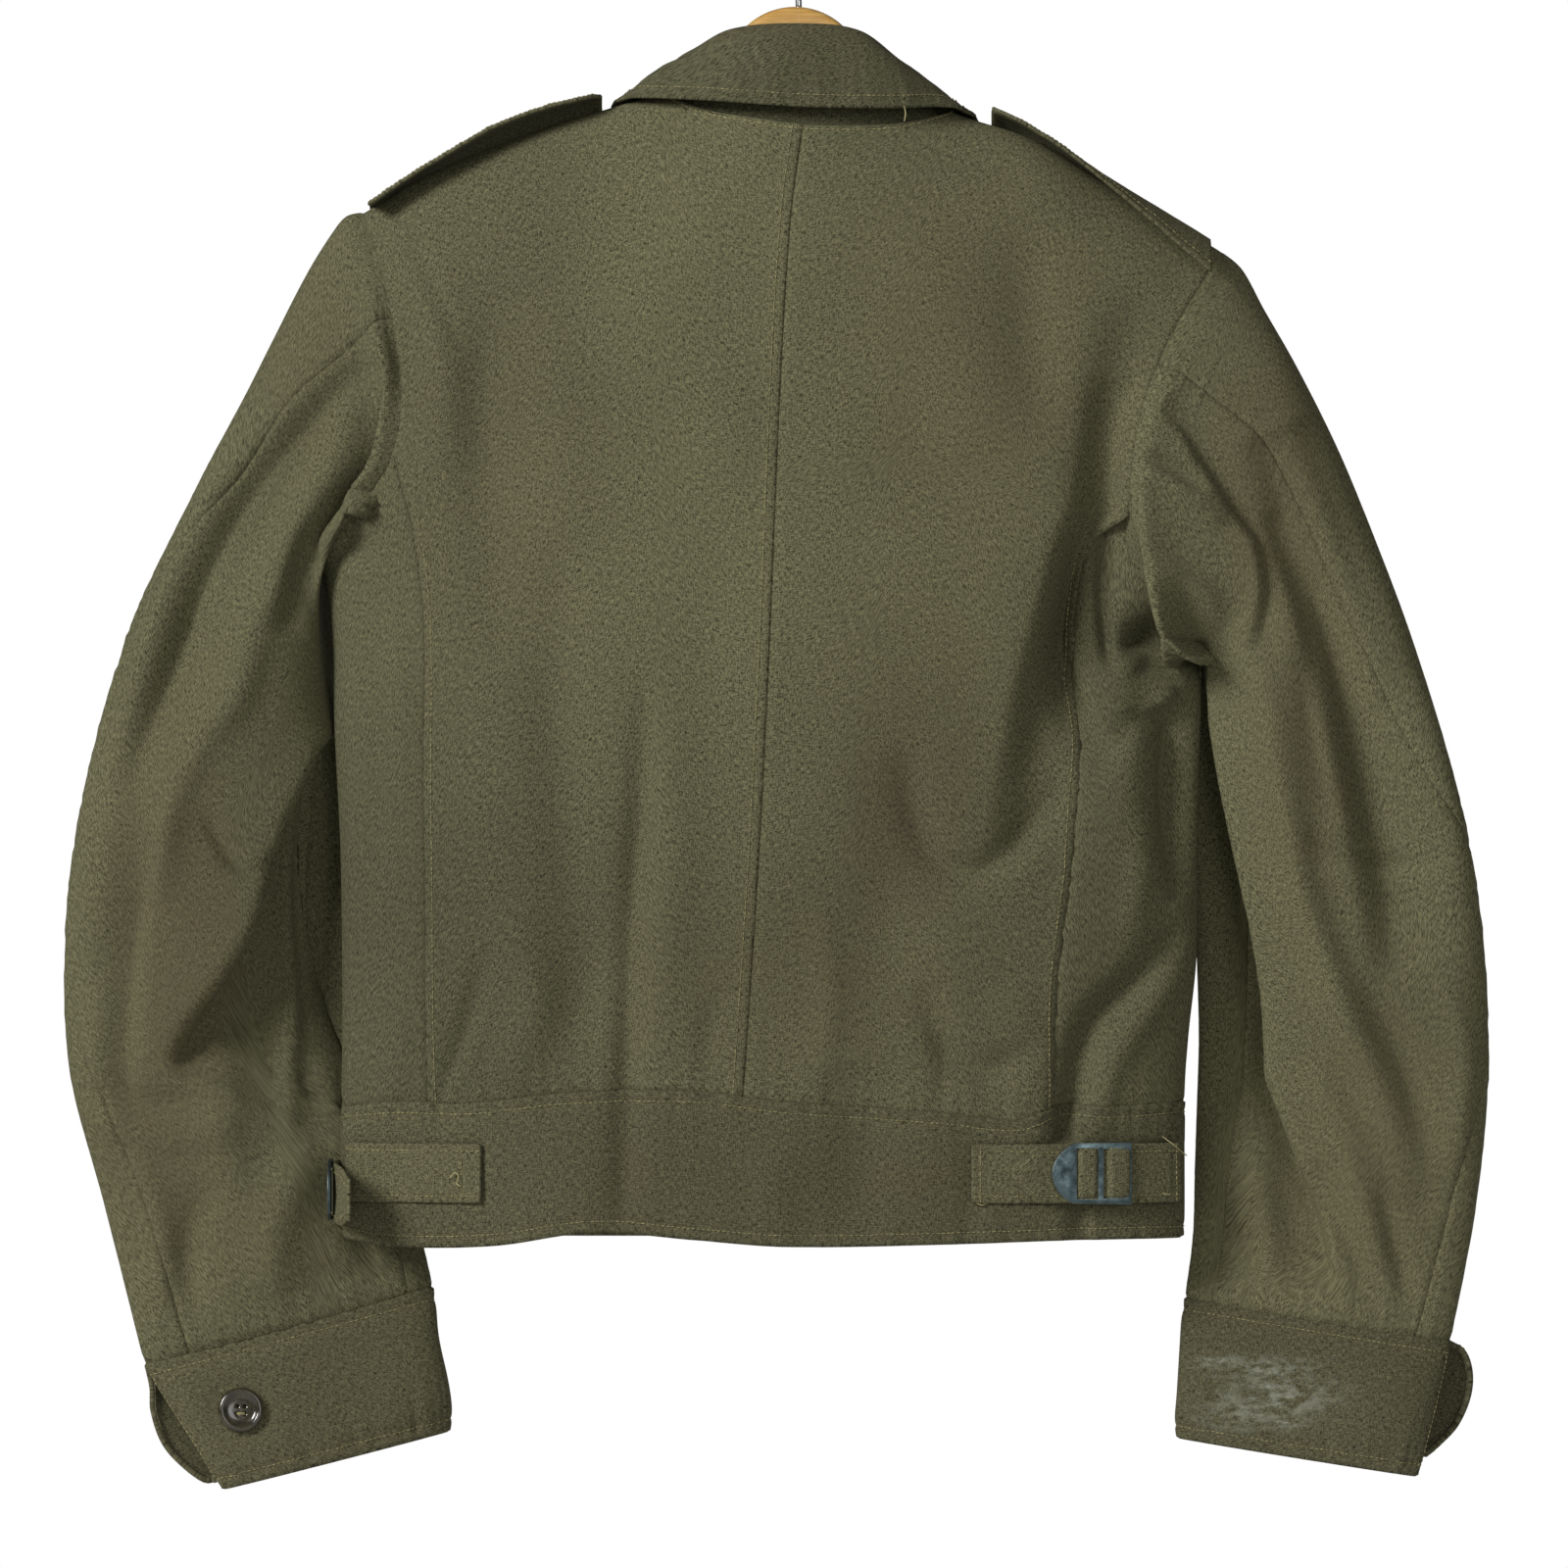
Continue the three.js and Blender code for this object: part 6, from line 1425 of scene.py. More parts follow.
# Collar. One strip that stands up inside the neck edge, rolls over and falls outside, ending in front.
# Its fall is topstitched round its edge, and it lies a little uneven over the neck seam.
COLLAR = (
    # base x, z, side, roll x, y, z, edge x, y, z
    (-50, -162, FAR, -47, 35.5, -158, -92, 47, -172),
    (-60, -133, FAR, -57, 26, -124, -101, 35, -146),
    (-67, -116, FAR, -60.5, 9, -97, -95, 12, -112.5),
    (-65, 0, 0, -60, 2, -89.5, -91, -1, -109.5),
    (-58, -117, NEAR, -51, -5, -84, -83, -12, -108.5),
    (-32, -121.5, NEAR, -33, -14, -75, -48, -27, -110.5),
    (2, -126.5, NEAR, 0, -17, -72.5, 2, -31, -114),
    (36, -126.5, NEAR, 29, -14, -75.5, 46, -28, -114.5),
    (66, -123, NEAR, 47, -5, -88, 78, -13, -113.5),
    (72, 0, 0, 56, 2, -96, 88.5, -1, -117),
    (75, -126, FAR, 60, 9, -104, 91, 12, -119.5),
    (68, -143, FAR, 63, 26, -133, 107, 36, -156),
    (57, -172, FAR, 54, 36, -167, 99, 48, -182),
)
COLLAR_INSET, ROLL_HALF = 5.6, 3.2
COLLAR_LONG, FALL_LONG = 420, 90
COLLAR_STEPS, STAND_STEPS, ROLL_STEPS, FALL_STEPS = 230, 14, 16, 26
ROLL_FROM, ROLL_TO = 0.42, 0.6


def collar_base(x, z, side):
    if side == 0:
        return [x, float(mid_y(x)), float(ridge_z(x)) - COLLAR_INSET]
    return body(side, x, z, -COLLAR_INSET, 0).tolist()


def collar_place(t, profile):
    """Points on the collar: t from its left front end round the neck, profile from the stand to the edge."""
    lines = [
        route([collar_base(*row[:3]) for row in COLLAR]),
        route([row[3:6] for row in COLLAR]),
        route([row[6:9] for row in COLLAR]),
    ]
    base, roll, edge = (line(t) for line in lines)
    out = (edge - roll) * [1, 1, 0]
    out /= np.linalg.norm(out, axis=-1, keepdims=True)
    down = np.array([0, 0, -1.0])
    stations = [
        base,
        lerp(base, roll, 0.5) - out * 0.8,
        roll - out * ROLL_HALF * 0.5 + down * 3.4,
        roll + out,
        roll + out * (ROLL_HALF + 2) + down * 2.6,
        lerp(roll, edge, 0.45) + out * 3,
        lerp(roll, edge, 0.75) + out * 1.4,
        edge,
    ]
    places = [0, 0.24, 0.44, 0.5, 0.56, 0.74, 0.88, 1]
    grid = np.zeros((len(t), len(profile), 3))
    for n in range(len(t)):
        for k in range(3):
            grid[n, :, k] = smooth(places, [station[n][k] for station in stations])(profile)
    return grid


def collar():
    t = np.linspace(0, 1, COLLAR_STEPS)
    profile = np.concatenate([
        np.linspace(0, ROLL_FROM, STAND_STEPS)[:-1],
        np.linspace(ROLL_FROM, ROLL_TO, ROLL_STEPS)[:-1],
        np.linspace(ROLL_TO, 1, FALL_STEPS),
    ])
    grid = collar_place(t, profile)
    around, deep = np.meshgrid(t, profile, indexing="ij")
    fall = ease((deep - 0.55) / 0.1)
    to_edge = (1 - deep) * FALL_LONG
    edge = np.minimum(to_edge, np.minimum(around, 1 - around) * COLLAR_LONG)
    relief = stitched_edge(edge, 0.9, 10, 0.8, 11, 2.4)
    relief += seam_puckers(around * COLLAR_LONG, to_edge, 25, 0.5, 14) * ease(edge / 4)
    relief += 1.1 * np.sin(around * 31) * ease(edge / 14)
    grid = moved_out(grid, relief * fall, 1)
    # dull darkens the collar: partly painted shade, partly a darker, less faded cloth.
    marks = {"fade": 0.4 * np.exp(-(((deep - 0.53) / 0.06) ** 2)), "dull": 0.85}
    return sewn(wall("collar_strip", grid, CLOTH, marks, 0.5, seen=(0.5, 0.85)), "collar")


collar()

# Lapels. The tops of the fronts, turned back along the roll line and pressed flat on the panels.
# The left one runs down onto the lap of the fronts. They are hidden in the photograph.
LAPELS = {
    "left": {
        "top": [(-53, -164), (-80, -176), (-107, -190)],
        "outer": [(-107, -190), (-92, -232), (-62, -285), (-24, -330), (0, -347)],
    },
    "right": {
        "top": [(60, -174), (86, -187), (113, -201)],
        "outer": [(113, -201), (97, -240), (68, -280), (36, -299), (8, -305)],
    },
}
LAPEL_LIFT = CLOTH + OVER_GAP + 0.5
LAPEL_ROWS, LAPEL_COLS, LAPEL_PUFF = 60, 24, 0.8
EDGE_INSET = 1.2


def lapel(key):
    shape = LAPELS[key]
    out = -1 if key == "left" else 1
    top = route(shape["top"])(np.linspace(0, 1, LAPEL_COLS))
    down = np.linspace(0, 1, LAPEL_ROWS)
    outer = route(shape["outer"])(down)
    z = np.linspace(top[0, 1], outer[-1, 1], LAPEL_ROWS)
    roll = np.stack([column(FRONT_EDGE[key], 1, 0)(z) + out * EDGE_INSET, z], axis=-1)
    roll[0] = top[0]
    bottom = lerp(roll[-1], outer[-1], np.linspace(0, 1, LAPEL_COLS)[:, None])
    plan = between(top, outer, bottom, roll)
    x, z = plan[..., 0], plan[..., 1]
    puff = LAPEL_PUFF * np.sin(np.pi * down)[:, None] * np.ones((1, LAPEL_COLS))
    grid = body(FAR, x, z, LAPEL_LIFT + front_lift(key, x, z) + puff)
    return sewn(wall("lapel_turned_" + key, grid, CLOTH, {"fade": 0.25}, outside=FORWARD), "lapel_" + key)


for key in LAPELS:
    lapel(key)

# Breast pockets. A patch on each front, topstitched on, with a pointed flap over its mouth. They are hidden
# in the photograph. gap is how far the patch stands off the front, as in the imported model.
POCKETS = {
    "left": {"x": -116, "width": 118, "top": -322, "height": 138, "gap": 2},
    "right": {"x": 92, "width": 118, "top": -326, "height": 138, "gap": 0.9},
}
FLAP_OVERHANG, FLAP_HEIGHT, FLAP_POINT = 3, 48, 9
POCKET_PUFF = 1.6
POCKET_COLS, POCKET_ROWS, FLAP_COLS, FLAP_ROWS = 50, 56, 51, 26


def pocket(key):
    shape = POCKETS[key]
    u, v = np.meshgrid(np.linspace(0, 1, POCKET_COLS), np.linspace(0, 1, POCKET_ROWS))
    x = shape["x"] + (u - 0.5) * shape["width"]
    z = shape["top"] - v * shape["height"]
    puff = POCKET_PUFF * (np.sin(np.pi * u) * np.sin(np.pi * v)) ** 0.6
    grid = body(FAR, x, z, CLOTH + shape["gap"] + front_lift(key, x, z) + puff)
    sewn(wall("pocket_patch_" + key, grid, CLOTH, {"fade": 0.2}, outside=FORWARD), "pocket_" + key)
    u, v = np.meshgrid(np.linspace(0, 1, FLAP_COLS), np.linspace(0, 1, FLAP_ROWS))
    x = shape["x"] + (u - 0.5) * (shape["width"] + 2 * FLAP_OVERHANG)
    drop = FLAP_HEIGHT + FLAP_POINT * (1 - np.abs(2 * u - 1))
    z = shape["top"] + FLAP_OVERHANG - v * drop
    under = np.sin(np.pi * np.clip(v * FLAP_HEIGHT / shape["height"], 0, 1))
    puff = POCKET_PUFF * (np.sin(np.pi * u) * under) ** 0.6 + 0.4 * v
    grid = body(FAR, x, z, 2 * CLOTH + shape["gap"] + OVER_GAP + front_lift(key, x, z) + puff)
    sewn(wall("pocket_lid_" + key, grid, CLOTH, {"fade": 0.25}, outside=FORWARD), "pocket_flap_" + key)


for key in POCKETS:
    pocket(key)

# Shoulder loops. Doubled straps sewn into the armhole seam and caught near the collar. The left one stands
# up off the shoulder towards its neck end, and the right one has slipped a little towards the back.
LOOPS = {
    "left": [
        # x, lift over the ridge, rise of the near edge, half width
        (-219, 2.8, 0, 25), (-200, 3.6, 0, 24.5), (-180, 5.8, 0, 24), (-160, 9.4, 0, 23),
        (-140, 10.6, 0, 22), (-120, 9.8, 0, 21), (-108, 9, 0, 18), (-101, 8, 0, 10),
    ],
    "right": [
        (210, 2.8, -16, 25), (196, 3.4, -13, 24.5), (178, 3.8, -8, 24), (160, 4.2, -4, 23),
        (142, 4.6, -1, 22), (124, 5.2, 0, 21), (108, 6.6, 1, 18), (99, 7.4, 2, 10),
    ],
}
LOOP_FAR_DROP = 9
LOOP_ROWS, LOOP_COLS = 90, 30


def shoulder_loop(key):
    rows = LOOPS[key]
    x = np.linspace(rows[0][0], rows[-1][0], LOOP_ROWS)[:, None]
    side = np.linspace(-1, 1, LOOP_COLS)[None, :]
    lift, rise, half = (column(rows, 0, k)(x) for k in (1, 2, 3))
    bend = np.where(side < 0, rise, -LOOP_FAR_DROP) * side**2
    edge = (1 - np.abs(side)) * half
    relief = stitched_edge(edge, 0.5, 6, 0.35, 4.5, 1.4)
    relief = relief + seam_puckers(x, edge, 26, 0.25, 8)
    z = ridge_z(x) + lift + bend + relief * (np.abs(side) < 1)
    grid = np.stack([np.broadcast_to(x, z.shape), mid_y(x) + side * half, z], axis=-1)
    piece = wall("loop_strap_" + key, grid, STRAP, {"fade": 0.1, "dull": 0.35}, 0.4, UPWARD)
    return sewn(piece, "shoulder_loop_" + key)


for key in LOOPS:
    shoulder_loop(key)

# Waist tabs. A strap sewn to the back of the band each side and a tongue from the side, joined by a buckle.
# The right pair is drawn together and the left one is let out, with its buckle turned round the side edge.
TAB_TOP, TAB_WIDTH = -642, 29
TAB_LIFT = (DOUBLE + STRAP) / 2 + OVER_GAP
TONGUE_LIFT = TAB_LIFT + STRAP + OVER_GAP
SIDE_BUCKLE_X, SIDE_BUCKLE_Y, SIDE_BUCKLE_DROP = -238.2, 0, 9
RIGHT_SLOTS = (
    # x from, to, how far the webbing stands out through the buckle there
    (140, 150, 2.8), (155, 166, 3.0),
)
SLOT_HALF = 12
TAB_MARKS = {"fade": 0.1, "dull": 0.4}
TAB_ROWS, TAB_COLS = 130, 30
SIDE_TONGUE_ROWS, SIDE_TONGUE_COLS = 60, 20
SIDE_TONGUE = (
    # x and y from the buckle, as the tongue leaves the band and runs over its bar
    (3.7, 19.5), (1.7, 10), (1.3, -4), (4.5, -21), (10, -34),
)


def tab_strap(name, node, from_x, to_x, lift, point=0, raised=(), creased=0.0):
    t = np.linspace(0, 1, TAB_ROWS)[:, None]
    v = np.linspace(0, 1, TAB_COLS)[None, :]
    x = lerp(from_x, to_x, t)
    taper = ease(np.abs(x - to_x) / point) if point else np.ones_like(x)
    reach = lerp(0.35, 1, taper)
    z = TAB_TOP - TAB_WIDTH * (0.5 + (v - 0.5) * reach)
    edge = np.minimum(np.minimum(v, 1 - v) * TAB_WIDTH, np.minimum(t, 1 - t) * abs(to_x - from_x))
    relief = stitched_edge(edge, 0.5, 5, 0.35, 3, 1.2)
    relief = relief + 0.35 * np.sin(x / 6.1 + 2 * v)
    inside = ease(SLOT_HALF - np.abs(z - TAB_MIDDLE) + 0.5)
    for start, end, out in raised:
        relief = relief + out * ease((x - start) / 1.6) * ease((end - x) / 1.6) * inside
    grid = body(NEAR, np.broadcast_to(x, z.shape), z, lift + relief, creased)
    return sewn(wall(name, grid, STRAP, TAB_MARKS, 0.4), node)


def side_tongue():
    t = np.linspace(0, 1, SIDE_TONGUE_ROWS)
    path = route([(SIDE_BUCKLE_X + dx, SIDE_BUCKLE_Y + dy) for dx, dy in SIDE_TONGUE])(t)
    half = TAB_WIDTH / 2 * lerp(1, 0.72, ease((t - 0.8) / 0.2))[:, None]
    v = np.linspace(-1, 1, SIDE_TONGUE_COLS)[None, :]
    middle = TAB_MIDDLE - SIDE_BUCKLE_DROP - 4 * t[:, None] ** 2
    z = middle - v * half
    x, y = (np.broadcast_to(path[:, k : k + 1], z.shape) for k in (0, 1))
    grid = np.stack([x, y, z], axis=-1)
    return sewn(wall("tongue_side_left", grid, STRAP, TAB_MARKS, 0.4, LEFTWARD), "tab_tongue_left")


tab_strap("strap_right", "tab_strap_right", 88, 160, TAB_LIFT + 0.6)
tab_strap("tongue_right", "tab_tongue_right", 190, 108, TONGUE_LIFT + 0.6, 14, RIGHT_SLOTS)
tab_strap("strap_left", "tab_strap_left", -161.5, -228, TAB_LIFT + 0.6)
side_tongue()

# Slide buckles. Stamped from steel plate and blued, with a nose, a wide bar and two long slots. The right
# tongue's webbing is threaded through its slots. The edges have worn bright. The left one stands edge on.
PLATE, BUCKLE_LONG, BUCKLE_HIGH, BUCKLE_BAR, BUCKLE_THICK = 12.5, 42, 31.5, 3, 1.5
NOSE_X, NOSE_SHARE = 1.5, 0.72
RIGHT_BUCKLE_X, SIDE_BUCKLE_FROM = 147, -22
SLOT_START, SLOT_STEP = 0.7, 0.4
BEVEL = 0.28


def blued_steel():
    """Blue-grey oxide, thin and uneven, that has rubbed through to bright metal along the edges."""
    material, tree, shader = tree_of("blued_steel")
    place = object_place(tree)
    cloud = noise(tree, place, 140, 5, (1, 1, 1), 0.6)
    oxide = ramp(tree, cloud, (0.34, linear(48, 60, 62)), (0.66, linear(96, 112, 114)))
    edge = tree.nodes.new("ShaderNodeBevel")
    edge.inputs["Radius"].default_value = 0.0005
    straight = tree.nodes.new("ShaderNodeNewGeometry").outputs["Normal"]
    meeting = tree.nodes.new("ShaderNodeVectorMath")
    meeting.operation = "DOT_PRODUCT"
    tree.links.new(edge.outputs["Normal"], meeting.inputs[0])
    tree.links.new(straight, meeting.inputs[1])
    worn = ramp(tree, meeting.outputs["Value"], (0.86, 1.0), (0.99, 0.0))
    metal = mixed(tree, "MIX", worn, oxide, linear(176, 180, 178))
    tree.links.new(metal, shader.inputs["Base Color"])
    tree.links.new(ramp(tree, cloud, (0.3, 0.5), (0.7, 0.3)), shader.inputs["Roughness"])
    shader.inputs["Metallic"].default_value = 0.9
    bumped(tree, shader, noise(tree, place, 900, 3), 0.0001, 0.5)
    return material


def buckle_outlines():
    """The buckle's outer edge and its two slots, as lists of points in its own plane."""
    high = BUCKLE_HIGH / 2
    half = (BUCKLE_LONG - PLATE - 2 * BUCKLE_BAR) / 2
    outer = [(BUCKLE_LONG, -high), (BUCKLE_LONG, high), (PLATE, high)]
    for (ax, ay), (bx, by), (cx, cy) in (
        ((PLATE, high), (NOSE_X, high * NOSE_SHARE), (0, 0)),
        ((0, 0), (NOSE_X, -high * NOSE_SHARE), (PLATE, -high)),
    ):
        for t in np.linspace(0, 1, 13)[1:]:
            outer.append(((1 - t) ** 2 * ax + 2 * t * (1 - t) * bx + t * t * cx,
                          (1 - t) ** 2 * ay + 2 * t * (1 - t) * by + t * t * cy))
    first = (PLATE + SLOT_START, PLATE + half, high - BUCKLE_BAR)
    second = (PLATE + half + BUCKLE_BAR, BUCKLE_LONG - BUCKLE_BAR, high - BUCKLE_BAR - SLOT_STEP)
    slots = [[(a, -h), (a, h), (b, h), (b, -h)] for a, b, h in (first, second)]
    return [outer[:-1]] + slots


def buckle(name, node, origin, axes, material):
    """A plate with slots, cut in its own plane and set on three axes. Its depth runs along the third."""
    curve = bpy.data.curves.new(name, "CURVE")
    curve.dimensions = "2D"
    curve.fill_mode = "BOTH"
    for outline in buckle_outlines():
        spline = curve.splines.new("POLY")
        spline.points.add(len(outline) - 1)
        for point, (x, y) in zip(spline.points, outline):
            point.co = (x, y, 0, 1)
        spline.use_cyclic_u = True
    curve.extrude = BUCKLE_THICK / 2 - BEVEL
    curve.bevel_depth = BEVEL
    curve.bevel_resolution = 2
    curve.offset = -BEVEL
    drawn = bpy.data.objects.new(name + "_drawn", curve)
    bpy.context.scene.collection.objects.link(drawn)
    graph = bpy.context.evaluated_depsgraph_get()
    mesh = bpy.data.meshes.new_from_object(drawn.evaluated_get(graph))
    bpy.data.objects.remove(drawn)
    points = np.array([vertex.co for vertex in mesh.vertices]) + [0, 0, BUCKLE_THICK / 2]
    faces = [tuple(face.vertices) for face in mesh.polygons]
    piece = new_piece(name, points @ np.asarray(axes, float) + origin, faces, material, SHARP_ANGLE)
    welded = bmesh.new()
    welded.from_mesh(piece.data)
    bmesh.ops.remove_doubles(welded, verts=welded.verts[:], dist=0.00001)
    welded.to_mesh(piece.data)
    welded.free()
    face_outwards(piece.data)
    return fastened(piece, "buckle", node)


def right_buckle(material):
    lift = TAB_LIFT + 1.5 * STRAP + 2 * OVER_GAP + 0.2
    seat = body(NEAR, RIGHT_BUCKLE_X, TAB_MIDDLE, [lift], 0)[0]
    before, after = (body(NEAR, RIGHT_BUCKLE_X + dx, TAB_MIDDLE, lift, 0) for dx in (-0.5, 0.5))
    step_x = after - before
    along = np.array([step_x[0], step_x[1], 0])
    along /= np.linalg.norm(along)
    out = np.array([along[1], -along[0], 0])
    origin = seat - along * BUCKLE_LONG / 2
    return buckle("slide_right", "buckle_right", origin, (along, (0, 0, 1), out), material)


blued = blued_steel()
right_buckle(blued)
side_place = (SIDE_BUCKLE_X - BUCKLE_THICK, SIDE_BUCKLE_Y + SIDE_BUCKLE_FROM, TAB_MIDDLE - SIDE_BUCKLE_DROP)
buckle("slide_left", "buckle_left", side_place, ((0, 1, 0), (0, 0, 1), (1, 0, 0)), blued)

# Topstitching and loose threads. Khaki cotton thread in stitches of about 2.6 mm, run beside the seams and
# round the edges. Geometry nodes set one small grain of thread on each stitch along the lines.
STITCH_LONG, STITCH_WIDTH, STITCH_PROUD = 2.6, 0.6, 0.3
GRAIN_LEAST, GRAIN_MOST, GRAIN_SHARE = 0.78, 1.12, 0.42


def beside(name, edge, inset, start=0.0, end=1.0):
    """A line on a cloth piece's outer side, inset from one edge of its grid, between two shares of it."""
    outer, normal = cloth[name]
    if edge in ("left", "right"):
        outer, normal = outer.transpose(1, 0, 2), normal.transpose(1, 0, 2)
    if edge in ("bottom", "right"):
        outer, normal = outer[::-1], normal[::-1]
    run = np.concatenate([
        np.zeros((1, outer.shape[1])),
        np.cumsum(np.linalg.norm(np.diff(outer, axis=0), axis=-1), axis=0),
    ])
    inset = np.broadcast_to(inset, outer.shape[1])
    line = []
    first, last = int(start * (outer.shape[1] - 1)), int(math.ceil(end * (outer.shape[1] - 1)))
    for k in range(first, last + 1):
        spot = [np.interp(inset[k], run[:, k], outer[:, k, axis]) for axis in range(3)]
        out = [np.interp(inset[k], run[:, k], normal[:, k, axis]) for axis in range(3)]
        line.append(np.array(spot) + np.array(out) * STITCH_PROUD)
    return np.array(line)


def thread_cotton(name, dark, light):
    """Twisted cotton thread, a little shiny, that has dulled unevenly."""
    material, tree, shader = tree_of(name)
    place = object_place(tree)
    colour = ramp(tree, noise(tree, place, 320, 3), (0.36, dark), (0.64, light))
    tree.links.new(colour, shader.inputs["Base Color"])
    shader.inputs["Roughness"].default_value = 0.7
    bumped(tree, shader, noise(tree, place, 2600, 2), 0.0001, 0.4)
    return material


def stitches(name, lines, material, node, wide=STITCH_WIDTH, seed=7):
    """Grains of thread set along the lines, made by a node tree and then kept as a plain mesh."""
    mesh = bpy.data.meshes.new(name)
    points = np.concatenate(lines) * MM
    edges, first = [], 0
    for line in lines:
        edges += [(first + i, first + i + 1) for i in range(len(line) - 1)]
        first += len(line)
    mesh.from_pydata(points.tolist(), edges, [])
    piece = bpy.data.objects.new(name, mesh)
    bpy.context.scene.collection.objects.link(piece)
    tree = bpy.data.node_groups.new(name, "GeometryNodeTree")
    tree.interface.new_socket("Geometry", in_out="INPUT", socket_type="NodeSocketGeometry")
    tree.interface.new_socket("Geometry", in_out="OUTPUT", socket_type="NodeSocketGeometry")
    inputs = {}
    for label, value in (("Stitch length", STITCH_LONG * MM), ("Stitch width", wide * MM)):
        socket = tree.interface.new_socket(label, in_out="INPUT", socket_type="NodeSocketFloat")
        inputs[socket.identifier] = value
    add = tree.nodes.new
    link = tree.links.new
    given, made = add("NodeGroupInput"), add("NodeGroupOutput")
    curve = add("GeometryNodeMeshToCurve")
    link(given.outputs["Geometry"], curve.inputs[0])
    even = add("GeometryNodeResampleCurve")
    link(curve.outputs[0], even.inputs["Curve"])
    even.mode = "LENGTH"
    link(given.outputs["Stitch length"], even.inputs["Length"])
    grain = add("GeometryNodeMeshUVSphere")
    grain.inputs["Segments"].default_value = 6
    grain.inputs["Rings"].default_value = 4
    grain.inputs["Radius"].default_value = 1.0
    tangent = add("GeometryNodeInputTangent")
    turn = add("FunctionNodeAlignRotationToVector")
    turn.axis = "Z"
    link(tangent.outputs[0], turn.inputs["Vector"])
    uneven = add("FunctionNodeRandomValue")
    uneven.data_type = "FLOAT"
    uneven.inputs[2].default_value = GRAIN_LEAST
    uneven.inputs[3].default_value = GRAIN_MOST
    uneven.inputs["Seed"].default_value = seed
    half_width = add("ShaderNodeMath")
    half_width.operation = "MULTIPLY"
    half_width.inputs[1].default_value = 0.5
    link(given.outputs["Stitch width"], half_width.inputs[0])
    half_length = add("ShaderNodeMath")
    half_length.operation = "MULTIPLY"
    half_length.inputs[1].default_value = GRAIN_SHARE
    link(given.outputs["Stitch length"], half_length.inputs[0])
    size = add("ShaderNodeCombineXYZ")
    link(half_width.outputs[0], size.inputs[0])
    link(half_width.outputs[0], size.inputs[1])
    link(half_length.outputs[0], size.inputs[2])
    varied = add("ShaderNodeVectorMath")
    varied.operation = "SCALE"
    link(size.outputs[0], varied.inputs[0])
    link(uneven.outputs[1], varied.inputs["Scale"])
    placed = add("GeometryNodeInstanceOnPoints")
    link(even.outputs[0], placed.inputs["Points"])
    link(grain.outputs["Mesh"], placed.inputs["Instance"])
    link(turn.outputs[0], placed.inputs["Rotation"])
    link(varied.outputs[0], placed.inputs["Scale"])
    real = add("GeometryNodeRealizeInstances")
    link(placed.outputs[0], real.inputs[0])
    coloured = add("GeometryNodeSetMaterial")
    coloured.inputs["Material"].default_value = material
    link(real.outputs[0], coloured.inputs["Geometry"])
    link(coloured.outputs[0], made.inputs[0])
    modifier = piece.modifiers.new("stitches", "NODES")
    modifier.node_group = tree
    for identifier, value in inputs.items():
        modifier[identifier] = value
    graph = bpy.context.evaluated_depsgraph_get()
    grains = bpy.data.meshes.new_from_object(piece.evaluated_get(graph))
    piece.modifiers.clear()
    piece.data = grains
    if not grains.materials:
        grains.materials.append(material)
    return fastened(piece, "wool", node)


khaki_thread = thread_cotton("khaki_thread", linear(112, 106, 70), linear(158, 150, 104))
chain_thread = thread_cotton("chain_thread", linear(136, 128, 84), linear(182, 172, 124))
NECK_SHARE = 1 - (NECK_COLS - 1) / (SHOULDER_COLS + NECK_COLS - 2)
ARM_SHARE = 0.42
SIDE_LINES = {
    # name: cloth piece and node without their side, and lines
    "band_front": ("band_front", "waistband_front", [("top", 4.9), ("bottom", 4.9)]),
    "cuff": ("cuff_strip", "cuff", [
        ("top", 5.5, 0.02, 0.98), ("bottom", 5.5, 0.02, 0.98), ("left", 4.5, 0.08, 0.92),
        ("right", 4.5, 0.08, 0.92),
    ]),
    "loop": ("loop_strap", "shoulder_loop", [("left", 4.5, 0.02, 0.96), ("right", 4.5, 0.02, 0.96)]),
    "pocket": ("pocket_patch", "pocket", [
        ("left", 3, 0.02, 0.98), ("right", 3, 0.02, 0.98), ("bottom", 3, 0.03, 0.97),
    ]),
    "flap": ("pocket_lid", "pocket_flap", [("top", 3, 0.02, 0.98), ("bottom", 5, 0.04, 0.96)]),
    "lapel": ("lapel_turned", "lapel", [("right", 5, 0.05, 0.97), ("top", 5, 0.05, 0.92)]),
}
TRIM_LINES = {
    # name: cloth piece, node, and lines
    "collar": ("collar_strip", "collar", [
        ("right", 5.5, 0.02, 0.98), ("top", 5.5, 0.62, 0.95), ("bottom", 5.5, 0.62, 0.95),
    ]),
    "strap_right": ("strap_right", "tab_strap_right", [
        ("left", 3, 0.02, 0.98), ("right", 3, 0.02, 0.98), ("top", 4, 0.05, 0.95),
    ]),
    "strap_left": ("strap_left", "tab_strap_left", [
        ("left", 3, 0.02, 0.98), ("right", 3, 0.02, 0.98), ("top", 9.5, 0.05, 0.95),
    ]),
    "tongue_right": ("tongue_right", "tab_tongue_right", [
        ("left", 3.4, 0.02, 0.97), ("right", 3.4, 0.02, 0.97), ("top", 3, 0.05, 0.95),
    ]),
    "tongue_left": ("tongue_side_left", "tab_tongue_left", [
        ("left", 3.4, 0.02, 0.97), ("right", 3.4, 0.02, 0.97),
    ]),
}


def topstitched(name, piece, node, lines, thread=khaki_thread, wide=STITCH_WIDTH):
    """Stitches along lines on one piece, each an edge, an inset, and where it starts and ends."""
    stitches("stitches_" + name, [beside(piece, *line) for line in lines], thread, node, wide)


